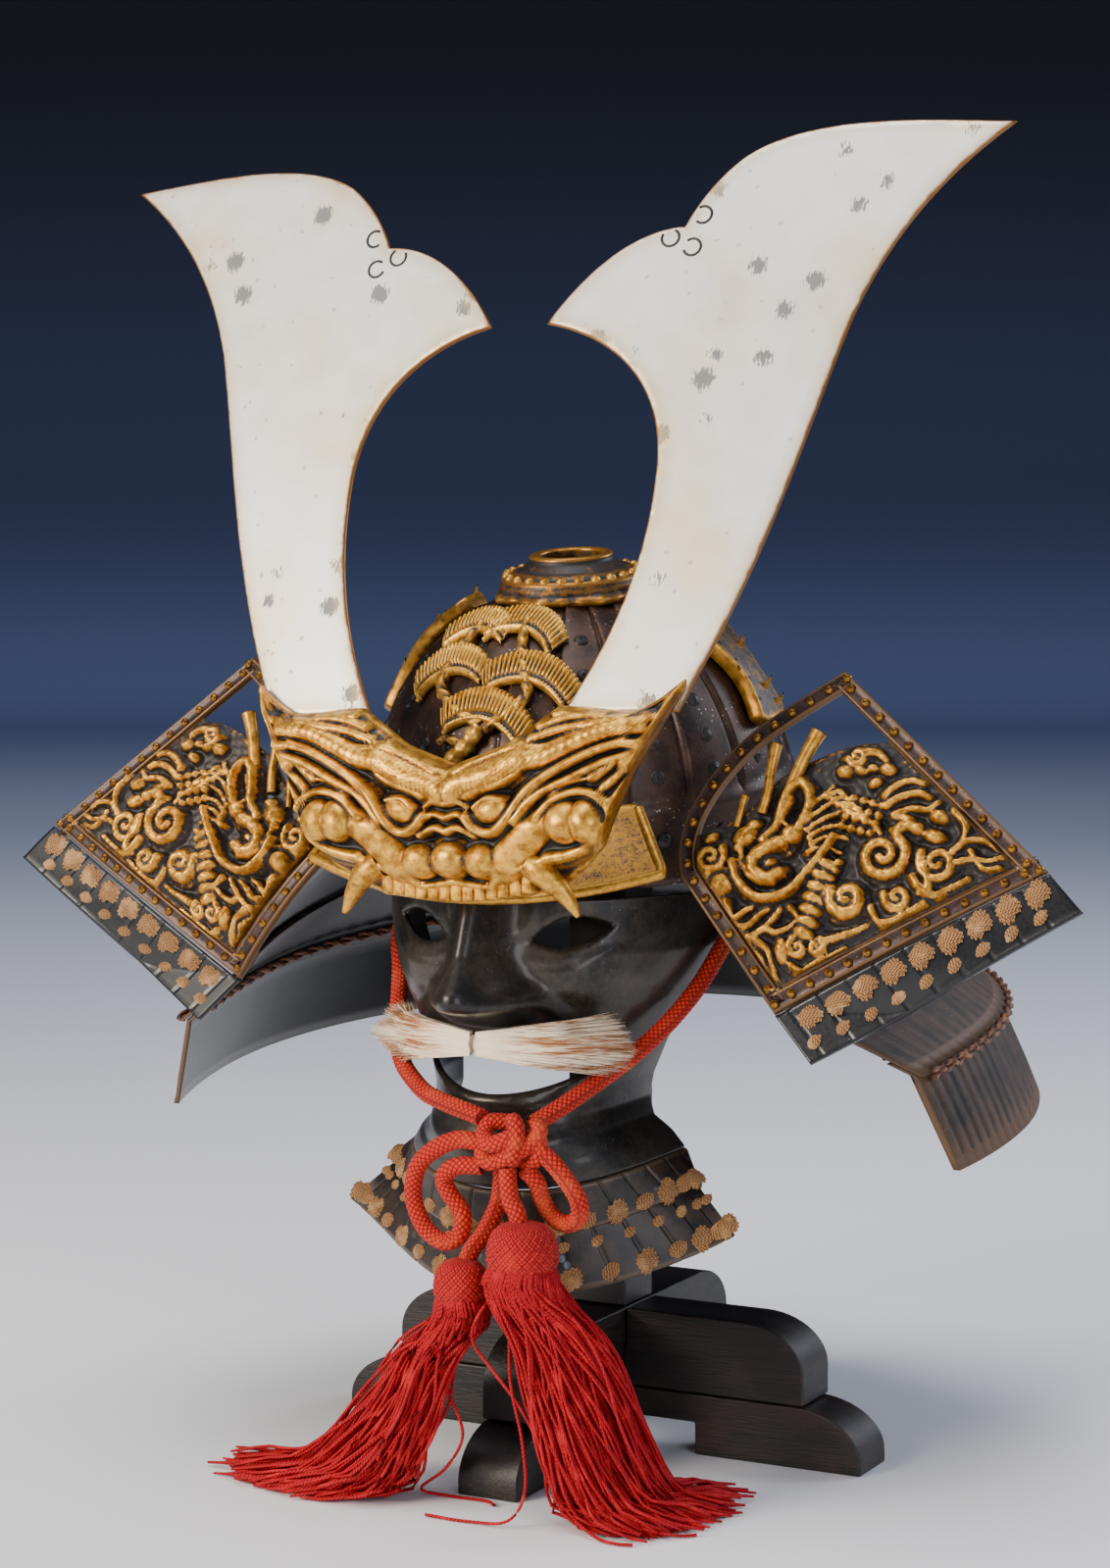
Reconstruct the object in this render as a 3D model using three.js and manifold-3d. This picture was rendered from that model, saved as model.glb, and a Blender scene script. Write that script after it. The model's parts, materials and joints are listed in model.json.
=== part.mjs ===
// A kabuto samurai helmet with its face mask, throat guard, chin cord and tassels, on a wooden stand.
// Millimetres, +Z up. The face looks along -Y, and the origin is on the floor under the middle of it all.
import * as THREE from 'three';
import { mergeVertices } from 'three/addons/utils/BufferGeometryUtils.js';
import Module from 'manifold-3d';

const wasm = await Module();
wasm.setup();

// ---------------------------------------------------------------- driving dimensions

const GAP = 0.35; // between pieces that touch
const ARC_HANDLE = 0.552; // of a quarter circle's radius, for a Bezier curve that follows it
const CENTRING = -6.4; // moves the whole model along Y, so that it is centred on the origin

// Stand of 25 mm boards.
const BOARD = 25.4;
const FOOT_HEIGHT = 24;
const FOOT_UNDERCUT = { halfLength: 43, height: 12.7 };
const STAND_PLACE = { x: 5, turn: -2.5 }; // degrees, clockwise from above
const FOOT_HALF_LENGTH = { x: 113, y: 103 };
const ARM_TOP = 55;
const ARM_HALF_LENGTH = { x: 89, y: 84 };
const END_ROUNDING = { foot: { along: 28, down: 19 }, arm: { along: 26, down: 19 } };
const POST = 25;
const PAD = { radius: 24, bottom: 290 };

// Helmet bowl: a hemisphere on a short cylinder, leaning forward.
const RIM = { y: -11, z: 238 };
const HELMET_LEAN = 8; // degrees
const BOWL_RADIUS = 80.5;
const BOWL_CENTRE_HEIGHT = 22; // above the rim
const BOWL_WALL = 3;
const BOWL_PLATES = 20;
const PLATE_STEP = 1.2;
const BAND_HEIGHT = 29;
const CROWN_HOLE = 13;

// Neck guard: half width, depth at the back and place of the front edge at four heights below the rim.
const NECK_LEVELS = [
  { height: -103, halfWidth: 172, depth: 147, endX: 164, endY: -53.5 },
  { height: -66, halfWidth: 157, depth: 137, endX: 151, endY: -60 },
  { height: -34, halfWidth: 117, depth: 109, endX: 103, endY: -84.8 },
  { height: 3, halfWidth: 75.6, depth: 75.6, endX: 79.2, endY: -78 },
];
const NECK_LAMES = [
  { name: 'neck_lame_1', rows: [3, -32], outward: 6.9 },
  { name: 'neck_lame_2', rows: [-28, -34, -66], outward: 3.3 },
  { name: 'neck_lame_3', rows: [-61, -66, -103], outward: 0 },
];
const LAME_WALL = 1.8;
const LAME_RIB = 1.1;

// Crest and horns, which sit a little crooked on their hook.
const CREST_ROLL = -2.05; // degrees, about the Y axis
const CREST_PIVOT = 280;
const HORN_WALL = 2.4;
const HORN_LEAN = 21.8; // degrees back from upright
const HORN_TOE = 3; // degrees, outer edge turned back
const HORN_FOOT = { x: 11, y: -61, z: 437 }; // a point of the middle plane of each horn

// Wings at the temples.
const WING = { x: 127.75, y: -76.25, z: 245, lean: 21, yaw: 6.7 };
const WING_RAIL = 6.5;
const WING_FOLD = { depth: 12.3, width: 48 };

// ---------------------------------------------------------------- finishes

const FINISHES = {
  wood: { color: 0x1c1715, roughness: 0.6, metalness: 0 },
  darkBronze: { color: 0x3a2e26, roughness: 0.5, metalness: 0.7 },
  gilt: { color: 0xc89a45, roughness: 0.4, metalness: 0.9 },
  silver: { color: 0xdedad0, roughness: 0.35, metalness: 0.9 },
  lacquer: { color: 0x24262a, roughness: 0.35, metalness: 0.2 },
  maskMetal: { color: 0x33322f, roughness: 0.4, metalness: 0.6 },
  hair: { color: 0xd9bfa0, roughness: 0.8, metalness: 0 },
  redCord: { color: 0xc23a22, roughness: 0.8, metalness: 0 },
  redThread: { color: 0xb01d28, roughness: 0.8, metalness: 0 },
};

const materials = Object.fromEntries(
  Object.entries(FINISHES).map(([name, values]) => [name, new THREE.MeshStandardMaterial(values)]),
);

// ---------------------------------------------------------------- small helpers

const { lerp, degToRad: radians } = THREE.MathUtils;
const point = (x, y, z) => new THREE.Vector3(x, y, z);
const range = (count) => Array.from({ length: count }, (_, index) => index);
const fractions = (steps) => range(steps + 1).map((index) => index / steps);

// Reads a column of a table along a straight line between its rows, which are sorted by their key.
function read(table, key, column, value) {
  let upper = table.findIndex((row) => row[key] >= value);
  if (upper < 0) upper = table.length - 1;
  const lower = Math.max(upper - 1, 0);
  upper = Math.max(upper, 1);
  const [a, b] = [table[lower], table[upper]];
  const share = THREE.MathUtils.clamp((value - a[key]) / (b[key] - a[key]), 0, 1);
  return lerp(a[column], b[column], share);
}

// The point at a share of the whole length of a polyline.
function along(polyline, share) {
  const lengths = polyline.slice(1).map((p, index) => p.distanceTo(polyline[index]));
  let left = share * lengths.reduce((sum, length) => sum + length, 0);
  for (let index = 0; index < lengths.length; index++) {
    const last = index === lengths.length - 1;
    if (left <= lengths[index] || last) {
      return polyline[index].clone().lerp(polyline[index + 1], Math.min(left / lengths[index], 1));
    }
    left -= lengths[index];
  }
  return polyline.at(-1).clone();
}

// A closed body from its points and triangles, with its faces turned outwards.
function body(points, faces) {
  let volume = 0;
  for (let index = 0; index < faces.length; index += 3) {
    const [a, b, c] = [points[faces[index]], points[faces[index + 1]], points[faces[index + 2]]];
    volume += a.dot(b.clone().cross(c));
  }
  const turned = volume < 0 ? faces.slice().reverse() : faces;
  const geometry = new THREE.BufferGeometry();
  const numbers = points.flatMap((p) => [p.x, p.y, p.z]);
  geometry.setAttribute('position', new THREE.Float32BufferAttribute(numbers, 3));
  geometry.setIndex(turned);
  return geometry;
}

// A wall between two grids of points, front[column][row] and back[column][row].
function wall(front, back, wrap = false) {
  const columns = front.length;
  const rows = front[0].length;
  const at = (side, i, j) => (side * columns + (i % columns)) * rows + j;
  const faces = [];
  const quad = (a, b, c, d) => faces.push(a, b, c, a, c, d);
  for (const i of range(wrap ? columns : columns - 1)) {
    for (const j of range(rows - 1)) {
      quad(at(0, i, j), at(0, i + 1, j), at(0, i + 1, j + 1), at(0, i, j + 1));
      quad(at(1, i, j), at(1, i, j + 1), at(1, i + 1, j + 1), at(1, i + 1, j));
    }
    quad(at(0, i, 0), at(1, i, 0), at(1, i + 1, 0), at(0, i + 1, 0));
    quad(at(0, i, rows - 1), at(0, i + 1, rows - 1), at(1, i + 1, rows - 1), at(1, i, rows - 1));
  }
  if (!wrap) {
    const end = columns - 1;
    for (const j of range(rows - 1)) {
      quad(at(0, 0, j), at(0, 0, j + 1), at(1, 0, j + 1), at(1, 0, j));
      quad(at(0, end, j), at(1, end, j), at(1, end, j + 1), at(0, end, j + 1));
    }
  }
  return body([...front.flat(), ...back.flat()], faces);
}

// A closed body through rings with equal numbers of points, its two ends closed by fans.
function loft(rings) {
  const sides = rings[0].length;
  const points = rings.flat();
  const faces = [];
  for (const ring of range(rings.length - 1)) {
    for (const side of range(sides)) {
      const next = (side + 1) % sides;
      const [a, b] = [ring * sides + side, ring * sides + next];
      faces.push(a, b, b + sides, a, b + sides, a + sides);
    }
  }
  for (const [ring, turned] of [[0, true], [rings.length - 1, false]]) {
    const hub = points.length;
    points.push(rings[ring].reduce((sum, p) => sum.add(p), point(0, 0, 0)).divideScalar(sides));
    for (const side of range(sides)) {
      const [a, b] = [ring * sides + side, ring * sides + ((side + 1) % sides)];
      faces.push(...(turned ? [hub, b, a] : [hub, a, b]));
    }
  }
  return body(points, faces);
}

// A strand along a smooth path, its radius given by a function of the share of its length.
function strand(path, radius, { sides = 6, steps = 8, floor = -Infinity } = {}) {
  const curve = new THREE.CatmullRomCurve3(path);
  const frames = curve.computeFrenetFrames(steps, false);
  return loft(fractions(steps).map((share, step) => {
    const centre = curve.getPointAt(share);
    return range(sides).map((side) => {
      const angle = (side / sides) * 2 * Math.PI;
      const rim = centre.clone()
        .addScaledVector(frames.normals[step], radius(share) * Math.cos(angle))
        .addScaledVector(frames.binormals[step], radius(share) * Math.sin(angle));
      return rim.setZ(Math.max(rim.z, floor));
    });
  }));
}

// A cord of round section along a smooth path.
function cord(path, diameter, steps, sides = 7) {
  const section = new THREE.Shape();
  range(sides).forEach((side) => {
    const angle = (side / sides) * 2 * Math.PI;
    const [x, y] = [Math.cos(angle) * diameter / 2, Math.sin(angle) * diameter / 2];
    if (side === 0) section.moveTo(x, y);
    else section.lineTo(x, y);
  });
  section.closePath();
  return new THREE.ExtrudeGeometry(section, { steps, extrudePath: new THREE.CatmullRomCurve3(path) });
}

function ball(x, y, z, radiusX, radiusY, radiusZ, sides = 7) {
  return new THREE.SphereGeometry(1, sides, Math.ceil(sides / 2))
    .scale(radiusX, radiusY, radiusZ)
    .translate(x, y, z);
}

function mirrored(geometry) {
  const copy = geometry.index ? geometry.toNonIndexed() : geometry.clone();
  copy.scale(-1, 1, 1);
  const position = copy.attributes.position;
  for (let index = 0; index < position.count; index += 3) {
    const [a, b] = [index + 1, index + 2].map((at) => point(0, 0, 0).fromBufferAttribute(position, at));
    position.setXYZ(index + 1, b.x, b.y, b.z);
    position.setXYZ(index + 2, a.x, a.y, a.z);
  }
  return copy;
}

function solid(geometry) {
  const plain = geometry.clone();
  plain.deleteAttribute('normal');
  plain.deleteAttribute('uv');
  const merged = mergeVertices(plain);
  const mesh = new wasm.Mesh({
    numProp: 3,
    vertProperties: new Float32Array(merged.attributes.position.array),
    triVerts: new Uint32Array(merged.index.array),
  });
  return new wasm.Manifold(mesh);
}

function geometryOf(manifold) {
  const mesh = manifold.getMesh();
  const geometry = new THREE.BufferGeometry();
  geometry.setAttribute('position', new THREE.BufferAttribute(mesh.vertProperties, 3));
  geometry.setIndex(new THREE.BufferAttribute(mesh.triVerts, 1));
  return geometry;
}

const fused = (geometries) => geometryOf(geometries.map(solid).reduce((sum, next) => sum.add(next)));
const cutAway = (geometry, tools) => geometryOf(tools.map(solid).reduce((rest, tool) => rest.subtract(tool),
  solid(geometry)));

function piece(name, finish, geometry) {
  const mesh = new THREE.Mesh(geometry, materials[finish]);
  mesh.name = name;
  return mesh;
}

// Left and right pieces from the one made for the +X side.
function pair(name, finish, geometry, place = () => {}) {
  return [1, -1].map((side) => {
    const mesh = piece(`${name}_${side > 0 ? 'left' : 'right'}`, finish, side > 0 ? geometry : mirrored(geometry));
    place(mesh, side);
    return mesh;
  });
}

function group(...members) {
  const holder = new THREE.Group();
  holder.add(...members);
  return holder;
}

// ---------------------------------------------------------------- stand

// Side outline of a board whose two upper ends are rounded, with an undercut or with a halving notch that
// is open upwards or downwards.
function boardOutline({ halfLength, bottom, top, rounding, undercut, notch }) {
  const half = BOARD / 2 + GAP;
  const { along, down } = rounding;
  const [reach, rise] = [along * ARC_HANDLE, down * ARC_HANDLE];
  const outline = new THREE.Shape();
  const step = (width, from, to) => {
    outline.lineTo(-width, from);
    outline.lineTo(-width, to);
    outline.lineTo(width, to);
    outline.lineTo(width, from);
  };
  outline.moveTo(-halfLength, bottom);
  if (undercut) step(undercut.halfLength, bottom, undercut.height);
  if (notch?.opens === 'down') step(half, bottom, notch.height);
  outline.lineTo(halfLength, bottom);
  outline.lineTo(halfLength, top - down);
  outline.bezierCurveTo(halfLength, top - down + rise, halfLength - along + reach, top, halfLength - along, top);
  if (notch?.opens === 'up') step(-half, top, notch.height);
  outline.lineTo(-halfLength + along, top);
  outline.bezierCurveTo(-halfLength + along - reach, top, -halfLength, top - down + rise, -halfLength, top - down);
  outline.closePath();
  return outline;
}

// Outline of a block under one end of a board: its inner end is square and its outer end rounded.
function blockOutline({ from, to, top, rounding }) {
  const { along, down } = rounding;
  const outline = new THREE.Shape();
  outline.moveTo(from, 0);
  outline.lineTo(to, 0);
  outline.lineTo(to, top - down);
  outline.bezierCurveTo(to, top - down * (1 - ARC_HANDLE), to - along * (1 - ARC_HANDLE), top, to - along, top);
  outline.lineTo(from, top);
  outline.closePath();
  return outline;
}

function board(name, outline, turn) {
  const geometry = new THREE.ExtrudeGeometry(outline, {
    depth: BOARD,
    bevelEnabled: false,
    curveSegments: 4,
  });
  geometry.translate(0, 0, -BOARD / 2).rotateX(Math.PI / 2);
  const mesh = piece(name, 'wood', geometry);
  mesh.rotation.z = radians(turn);
  return mesh;
}

function makeStand() {
  const armBottom = FOOT_HEIGHT + GAP;
  const armMiddle = (armBottom + ARM_TOP) / 2;
  const foot = boardOutline({
    halfLength: FOOT_HALF_LENGTH.x,
    bottom: 0,
    top: FOOT_HEIGHT,
    rounding: END_ROUNDING.foot,
    undercut: FOOT_UNDERCUT,
  });
  const block = blockOutline({
    from: FOOT_UNDERCUT.halfLength,
    to: FOOT_HALF_LENGTH.y,
    top: FOOT_HEIGHT,
    rounding: END_ROUNDING.foot,
  });
  const arm = (halfLength, notch) => boardOutline({
    halfLength,
    bottom: armBottom,
    top: ARM_TOP,
    rounding: END_ROUNDING.arm,
    notch,
  });
  const postBottom = ARM_TOP + GAP;
  const post = new THREE.BoxGeometry(POST, POST, PAD.bottom - postBottom)
    .translate(0, 0, (PAD.bottom + postBottom) / 2);
  const boards = group(
    board('stand_foot_sides', foot, 0),
    board('stand_foot_front', block, -90),
    board('stand_foot_back', block, 90),
    board('stand_arm_x', arm(ARM_HALF_LENGTH.x, { opens: 'up', height: armMiddle }), 0),
    board('stand_arm_y', arm(ARM_HALF_LENGTH.y, { opens: 'down', height: armMiddle + GAP }), 90),
    piece('stand_post', 'wood', post),
  );
  boards.position.x = STAND_PLACE.x;
  boards.rotation.z = radians(STAND_PLACE.turn);
  return group(boards, piece('stand_head_pad', 'wood', makeHeadPad()));
}

// The round pad on the post, its top hollowed to nothing but the inside of the bowl that rests on it.
function makeHeadPad() {
  const height = 70;
  const disc = new THREE.CylinderGeometry(PAD.radius, PAD.radius, height, 16)
    .rotateX(Math.PI / 2)
    .translate(STAND_PLACE.x, 0, PAD.bottom + GAP + height / 2);
  const inside = bowlInside(BOWL_WALL + GAP)
    .rotateX(radians(HELMET_LEAN))
    .translate(0, RIM.y, RIM.z);
  return geometryOf(solid(disc).intersect(solid(inside)));
}

// ---------------------------------------------------------------- bowl and what is on it

// A point of the bowl: azimuth from the front towards +X, polar angle from the crown, lift off the surface.
function onBowl(azimuth, polar, lift) {
  const [a, b] = [radians(azimuth), radians(polar)];
  const radius = BOWL_RADIUS + lift;
  return point(
    radius * Math.sin(b) * Math.sin(a),
    -radius * Math.sin(b) * Math.cos(a),
    BOWL_CENTRE_HEIGHT + radius * Math.cos(b),
  );
}

// A point at (across, up) millimetres from a place on the bowl, turned by an angle, and lifted off it.
function besideOnBowl({ azimuth, polar, turn }, across, up, lift) {
  const centre = point(0, 0, BOWL_CENTRE_HEIGHT);
  const out = onBowl(azimuth, polar, 0).sub(centre).normalize();
  const sideways = point(Math.cos(radians(azimuth)), Math.sin(radians(azimuth)), 0);
  const upwards = out.clone().cross(sideways);
  const [c, s] = [Math.cos(radians(turn)), Math.sin(radians(turn))];
  return out.multiplyScalar(BOWL_RADIUS)
    .addScaledVector(sideways, across * c - up * s)
    .addScaledVector(upwards, across * s + up * c)
    .setLength(BOWL_RADIUS + lift)
    .add(centre);
}

// The space inside the bowl, taken in from its outer surface by an inset.
function bowlInside(inset) {
  const radius = BOWL_RADIUS - inset;
  const arc = fractions(5).map((share) => {
    const angle = share * Math.PI / 2;
    return new THREE.Vector2(radius * Math.cos(angle), BOWL_CENTRE_HEIGHT + radius * Math.sin(angle));
  });
  arc[arc.length - 1].x = 0;
  const profile = [new THREE.Vector2(0, -30), new THREE.Vector2(radius, -30), ...arc];
  return new THREE.LatheGeometry(profile, 16).rotateX(Math.PI / 2);
}

function makeBowl() {
  const rows = [
    { radius: BOWL_RADIUS + 1.5, height: 0, step: 0 },
    { radius: BOWL_RADIUS + 1.5, height: BAND_HEIGHT, step: 0 },
    ...[8, 28, 50, 70].map((angle) => ({
      radius: BOWL_RADIUS * Math.cos(radians(angle)),
      height: BOWL_CENTRE_HEIGHT + BOWL_RADIUS * Math.sin(radians(angle)),
      step: PLATE_STEP,
    })),
    { radius: 8, height: BOWL_CENTRE_HEIGHT + BOWL_RADIUS, step: 0 },
  ];
  const rings = rows.map(({ radius, height, step }) => range(BOWL_PLATES * 2).map((index) => {
    const starts = index % 2 === 0;
    const angle = 2 * Math.PI * (Math.floor(index / 2) + (starts ? 0 : 0.82)) / BOWL_PLATES;
    const out = radius + (starts ? step : 0);
    return point(out * Math.sin(angle), -out * Math.cos(angle), height);
  }));
  const hole = new THREE.CylinderGeometry(CROWN_HOLE, CROWN_HOLE, 60, 12)
    .rotateX(Math.PI / 2)
    .translate(0, 0, BOWL_CENTRE_HEIGHT + BOWL_RADIUS);
  return cutAway(loft(rings), [bowlInside(BOWL_WALL), hole]);
}

// Open ring of turned and scalloped work round the hole in the crown.
function makeCrownRing() {
  const seat = BOWL_CENTRE_HEIGHT + BOWL_RADIUS + GAP;
  const profile = [
    [13.4, seat - 0.5], [30.5, seat - 4.8], [32, seat - 2.4], [26, seat + 4.2], [16, seat + 9.2],
    [15.2, seat + 12], [11.6, seat + 12], [13.4, seat - 0.5],
  ];
  const ring = new THREE.LatheGeometry(profile.map(([x, y]) => new THREE.Vector2(x, y)), 16)
    .rotateX(Math.PI / 2);
  const position = ring.attributes.position;
  for (const index of range(position.count)) {
    const vertex = point(0, 0, 0).fromBufferAttribute(position, index);
    const radius = Math.hypot(vertex.x, vertex.y);
    const scallop = radius > 29 ? 1 - 0.09 * Math.sin(4 * Math.atan2(vertex.y, vertex.x)) ** 2 : 1;
    position.setXYZ(index, vertex.x * scallop, vertex.y * scallop, vertex.z);
  }
  const beads = range(8).map((index) => {
    const angle = index / 8 * 2 * Math.PI;
    return new THREE.OctahedronGeometry(2).translate(25 * Math.cos(angle), 25 * Math.sin(angle), seat + 5.6);
  });
  return fused([ring, ...beads]);
}

// Five fans of pine needles on one bent branch, standing on the front of the bowl.
const PINE_FANS = [
  { azimuth: -1, polar: 32, turn: -12, halfWidth: 16 },
  { azimuth: -29, polar: 34, turn: 22, halfWidth: 15 },
  { azimuth: -27, polar: 48, turn: 24, halfWidth: 16.5 },
  { azimuth: 9, polar: 49, turn: -16, halfWidth: 18.5 },
  { azimuth: -4, polar: 60, turn: -10, halfWidth: 19 },
];
const PINE_BRANCHES = [
  [[-14, 73], [-9, 68], [-5, 62]],
  [[-4, 63], [6, 56], [8, 51], [2, 38], [-1, 28]],
  [[-5, 62], [-20, 56], [-27, 50], [-27, 29]],
];

function makePineBranch() {
  const fans = PINE_FANS.map((fan) => {
    const columns = fractions(6).map((share, index) => {
      const side = share * 2 - 1;
      const stem = -0.42 * fan.halfWidth * side * side;
      const needle = (index % 2 ? 11.5 : 9.5) * (1 - 0.25 * side * side);
      const spread = 1 + 0.12 * (index % 2);
      return { side: side * fan.halfWidth, tip: side * fan.halfWidth * spread, stem, crown: stem + needle };
    });
    const face = (lift, tipLift) => columns.map(({ side, tip, stem, crown }) => [
      besideOnBowl(fan, side, stem - 1.5, lift),
      besideOnBowl(fan, tip, crown, tipLift),
    ]);
    return wall(face(4.6, 6), face(1.8, 1.8));
  });
  const branches = PINE_BRANCHES.map((stops, index) => strand(
    stops.map(([azimuth, polar]) => onBowl(azimuth, polar, index === 0 ? 4.6 : 3.9)),
    () => (index === 0 ? 2.9 : 2.1),
    { sides: 3, steps: stops.length },
  ));
  return fused([...branches, ...fans]);
}

// A raised spiny band down one side of the bowl.
function makeSideRidge() {
  const across = [-13, -5, 4, 12];
  const columns = fractions(5).map((share) => lerp(29, 70, share));
  const crest = [2.6, 6.2, 6.2, 2.6];
  const face = (lifts) => columns.map((polar, index) => across.map((offset, row) => (
    besideOnBowl({ azimuth: 90, polar, turn: 0 }, offset * (0.75 + 0.25 * Math.sin(index * 1.4)), 0, lifts[row])
  )));
  const spines = range(4).map((index) => {
    const polar = lerp(33, 66, index / 3);
    const side = index % 2 ? 3 : -3;
    const stops = [4.5, 8, 11].map((lift) => besideOnBowl({ azimuth: 90, polar, turn: 0 }, side, lift * 0.3, lift));
    return strand(stops, (share) => lerp(2.6, 0.4, share), { sides: 4, steps: 1 });
  });
  return fused([wall(face(crest), face([1.8, 1.8, 1.8, 1.8])), ...spines]);
}

// Visor: a pan that slopes from the bowl out to a raised rim, its ends turned up.
function makeBrim() {
  const halfAngle = 38;
  const place = (share, down, lift) => {
    const angle = radians(lerp(-halfAngle, halfAngle, share));
    const side = (share * 2 - 1) ** 2;
    const radius = lerp(BOWL_RADIUS + 1.5 + GAP, 107 + 9 * side, down) + lift * 0.7;
    const height = lerp(31, 3.5 + 9 * side, down) + lift * 0.7;
    return point(radius * Math.sin(angle), -radius * Math.cos(angle), height);
  };
  const face = (lift) => fractions(10).map((share) => fractions(1).map((down) => place(share, down, lift)));
  const rimPath = [
    ...fractions(2).map((down) => place(0, lerp(0.2, 0.9, down), 1.4)),
    ...fractions(10).map((share) => place(share, 1, 1.4)),
    ...fractions(2).map((down) => place(1, lerp(0.9, 0.2, down), 1.4)),
  ];
  return fused([wall(face(2.2), face(0)), strand(rimPath, () => 1.9, { sides: 4, steps: 15 })]);
}

// ---------------------------------------------------------------- neck guard

// A point of the neck guard. The turn goes from -1, the front edge at -X, round the back to 1 at +X.
function onNeckGuard(height, turn, outward) {
  const value = (column) => read(NECK_LEVELS, 'height', column, height);
  const [halfWidth, depth, endX, endY] = ['halfWidth', 'depth', 'endX', 'endY'].map(value);
  const backShare = 0.76;
  const reach = Math.abs(turn);
  const side = Math.sign(turn);
  if (reach <= backShare) {
    const angle = reach / backShare * Math.PI / 2;
    return point(side * (halfWidth + outward) * Math.sin(angle), (depth + outward) * Math.cos(angle), height);
  }
  const share = (reach - backShare) / (1 - backShare);
  return point(side * (lerp(halfWidth, endX, share * share) + outward), endY * share, height);
}

function makeNeckLame({ rows, outward }) {
  const columns = fractions(26).map((share) => share * 2 - 1);
  const face = (lift, rib) => columns.map((turn, index) => rows.map((height) => (
    onNeckGuard(height, turn, outward + lift + (index % 2 ? rib : 0))
  )));
  return wall(face(LAME_WALL, LAME_RIB), face(0, 0));
}

// ---------------------------------------------------------------- crest and horns

// Half outline of the crest, from the middle to the tip of the ear.
const CREST_OUTLINE = [
  { x: 0, bottom: 228, top: 277 },
  { x: 20, bottom: 228, top: 284 },
  { x: 32, bottom: 229, top: 292 },
  { x: 40, bottom: 233, top: 297.5 },
  { x: 50, bottom: 240, top: 297 },
  { x: 58, bottom: 248, top: 296 },
  { x: 64, bottom: 262, top: 295.5 },
  { x: 70, bottom: 275, top: 295.5 },
  { x: 78, bottom: 290, top: 300 },
  { x: 86, bottom: 303, top: 306 },
];
const CREST_PROFILE = [
  { z: 226, y: -120.2 },
  { z: 233, y: -121.8 },
  { z: 240, y: -126.5 },
  { z: 256, y: -129 },
  { z: 272, y: -127 },
  { z: 286, y: -123 },
  { z: 300, y: -120.5 },
  { z: 308, y: -119.5 },
];
const CREST_WALL = 3.2;

// Swells of the lion's face on the +X side: nose, eye, cheeks and brow, by place, size and height.
const CREST_SWELLS = [
  { x: 5, z: 241, width: 6, height: 6, rise: 7 },
  { x: 16, z: 240, width: 5.5, height: 5, rise: 6.5 },
  { x: 17, z: 262, width: 7.5, height: 5, rise: 6 },
  { x: 33, z: 247, width: 8, height: 6.5, rise: 6.5 },
  { x: 48, z: 256, width: 9, height: 8, rise: 8 },
  { x: 14, z: 272, width: 8, height: 3.5, rise: 5 },
  { x: 33, z: 281, width: 11, height: 4.5, rise: 5.5 },
  { x: 56, z: 288, width: 12, height: 5, rise: 4.5 },
];

function crestDepth(x, z) {
  return read(CREST_PROFILE, 'z', 'y', z) + 6 * (x / 86) ** 2;
}

function crestRelief(x, z) {
  const rises = CREST_SWELLS.map((swell) => (
    swell.rise * Math.exp(-(((Math.abs(x) - swell.x) / swell.width) ** 2) - (((z - swell.z) / swell.height) ** 2))
  ));
  return Math.max(...rises);
}

function makeCrest() {
  const columns = fractions(20).map((share) => lerp(-86, 86, share));
  const face = (front) => columns.map((x) => {
    const bottom = read(CREST_OUTLINE, 'x', 'bottom', Math.abs(x));
    const top = read(CREST_OUTLINE, 'x', 'top', Math.abs(x));
    return fractions(7).map((share) => {
      const z = lerp(bottom, top, share);
      return point(x, crestDepth(x, z) - (front ? CREST_WALL + crestRelief(x, z) : 0), z);
    });
  });
  const fangs = [-1, 1].map((side) => {
    const stops = [[41, 240, 2], [44, 231, 5], [47.5, 221.5, 6]].map(([x, z, out]) => (
      point(side * x, crestDepth(x, z) - CREST_WALL - out, z)
    ));
    return strand(stops, (share) => lerp(4.2, 0.8, share ** 1.5), { sides: 5, steps: 3 });
  });
  const teeth = (lift) => range(17).map((index) => {
    const x = (index - 8) * 3.6;
    const front = crestDepth(x, 230) - lift - (lift > 1 && index % 2 ? 1.6 : 0);
    return [point(x, front, 227.8 + 0.004 * x * x), point(x, front, 234 + 0.004 * x * x)];
  });
  return fused([wall(face(true), face(false)), wall(teeth(CREST_WALL + 2), teeth(1)), ...fangs]);
}

// Outline of the +X horn: across from the middle of the helmet, and up as it would measure upright.
function hornOutline() {
  const up = (z) => (z - HORN_FOOT.z) / Math.cos(radians(HORN_LEAN));
  const outline = new THREE.Shape();
  outline.moveTo(36, up(294.5));
  outline.lineTo(80, up(294.5));
  outline.lineTo(85, up(305.5));
  outline.bezierCurveTo(110, up(355), 118, up(395), 131, up(433));
  outline.bezierCurveTo(143, up(464), 163, up(486), 186, up(501.5));
  outline.bezierCurveTo(160, up(503.5), 110, up(511.5), 84, up(496));
  outline.bezierCurveTo(74, up(489), 67, up(480), 62.5, up(470.7));
  outline.bezierCurveTo(50, up(471), 30, up(464), 11.5, up(437));
  outline.bezierCurveTo(40, up(431), 61, up(412), 61.5, up(382));
  outline.bezierCurveTo(62, up(345), 50, up(318), 36, up(294.5));
  outline.closePath();
  return outline;
}

function makeHorn() {
  return new THREE.ExtrudeGeometry(hornOutline(), {
    depth: HORN_WALL,
    bevelEnabled: false,
    curveSegments: 5,
  }).translate(-HORN_FOOT.x, 0, -HORN_WALL / 2);
}

function placeHorn(mesh, side) {
  mesh.rotation.set(radians(90 - HORN_LEAN), 0, side * radians(HORN_TOE), 'ZYX');
  mesh.position.set(side * HORN_FOOT.x, HORN_FOOT.y, HORN_FOOT.z);
}

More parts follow.
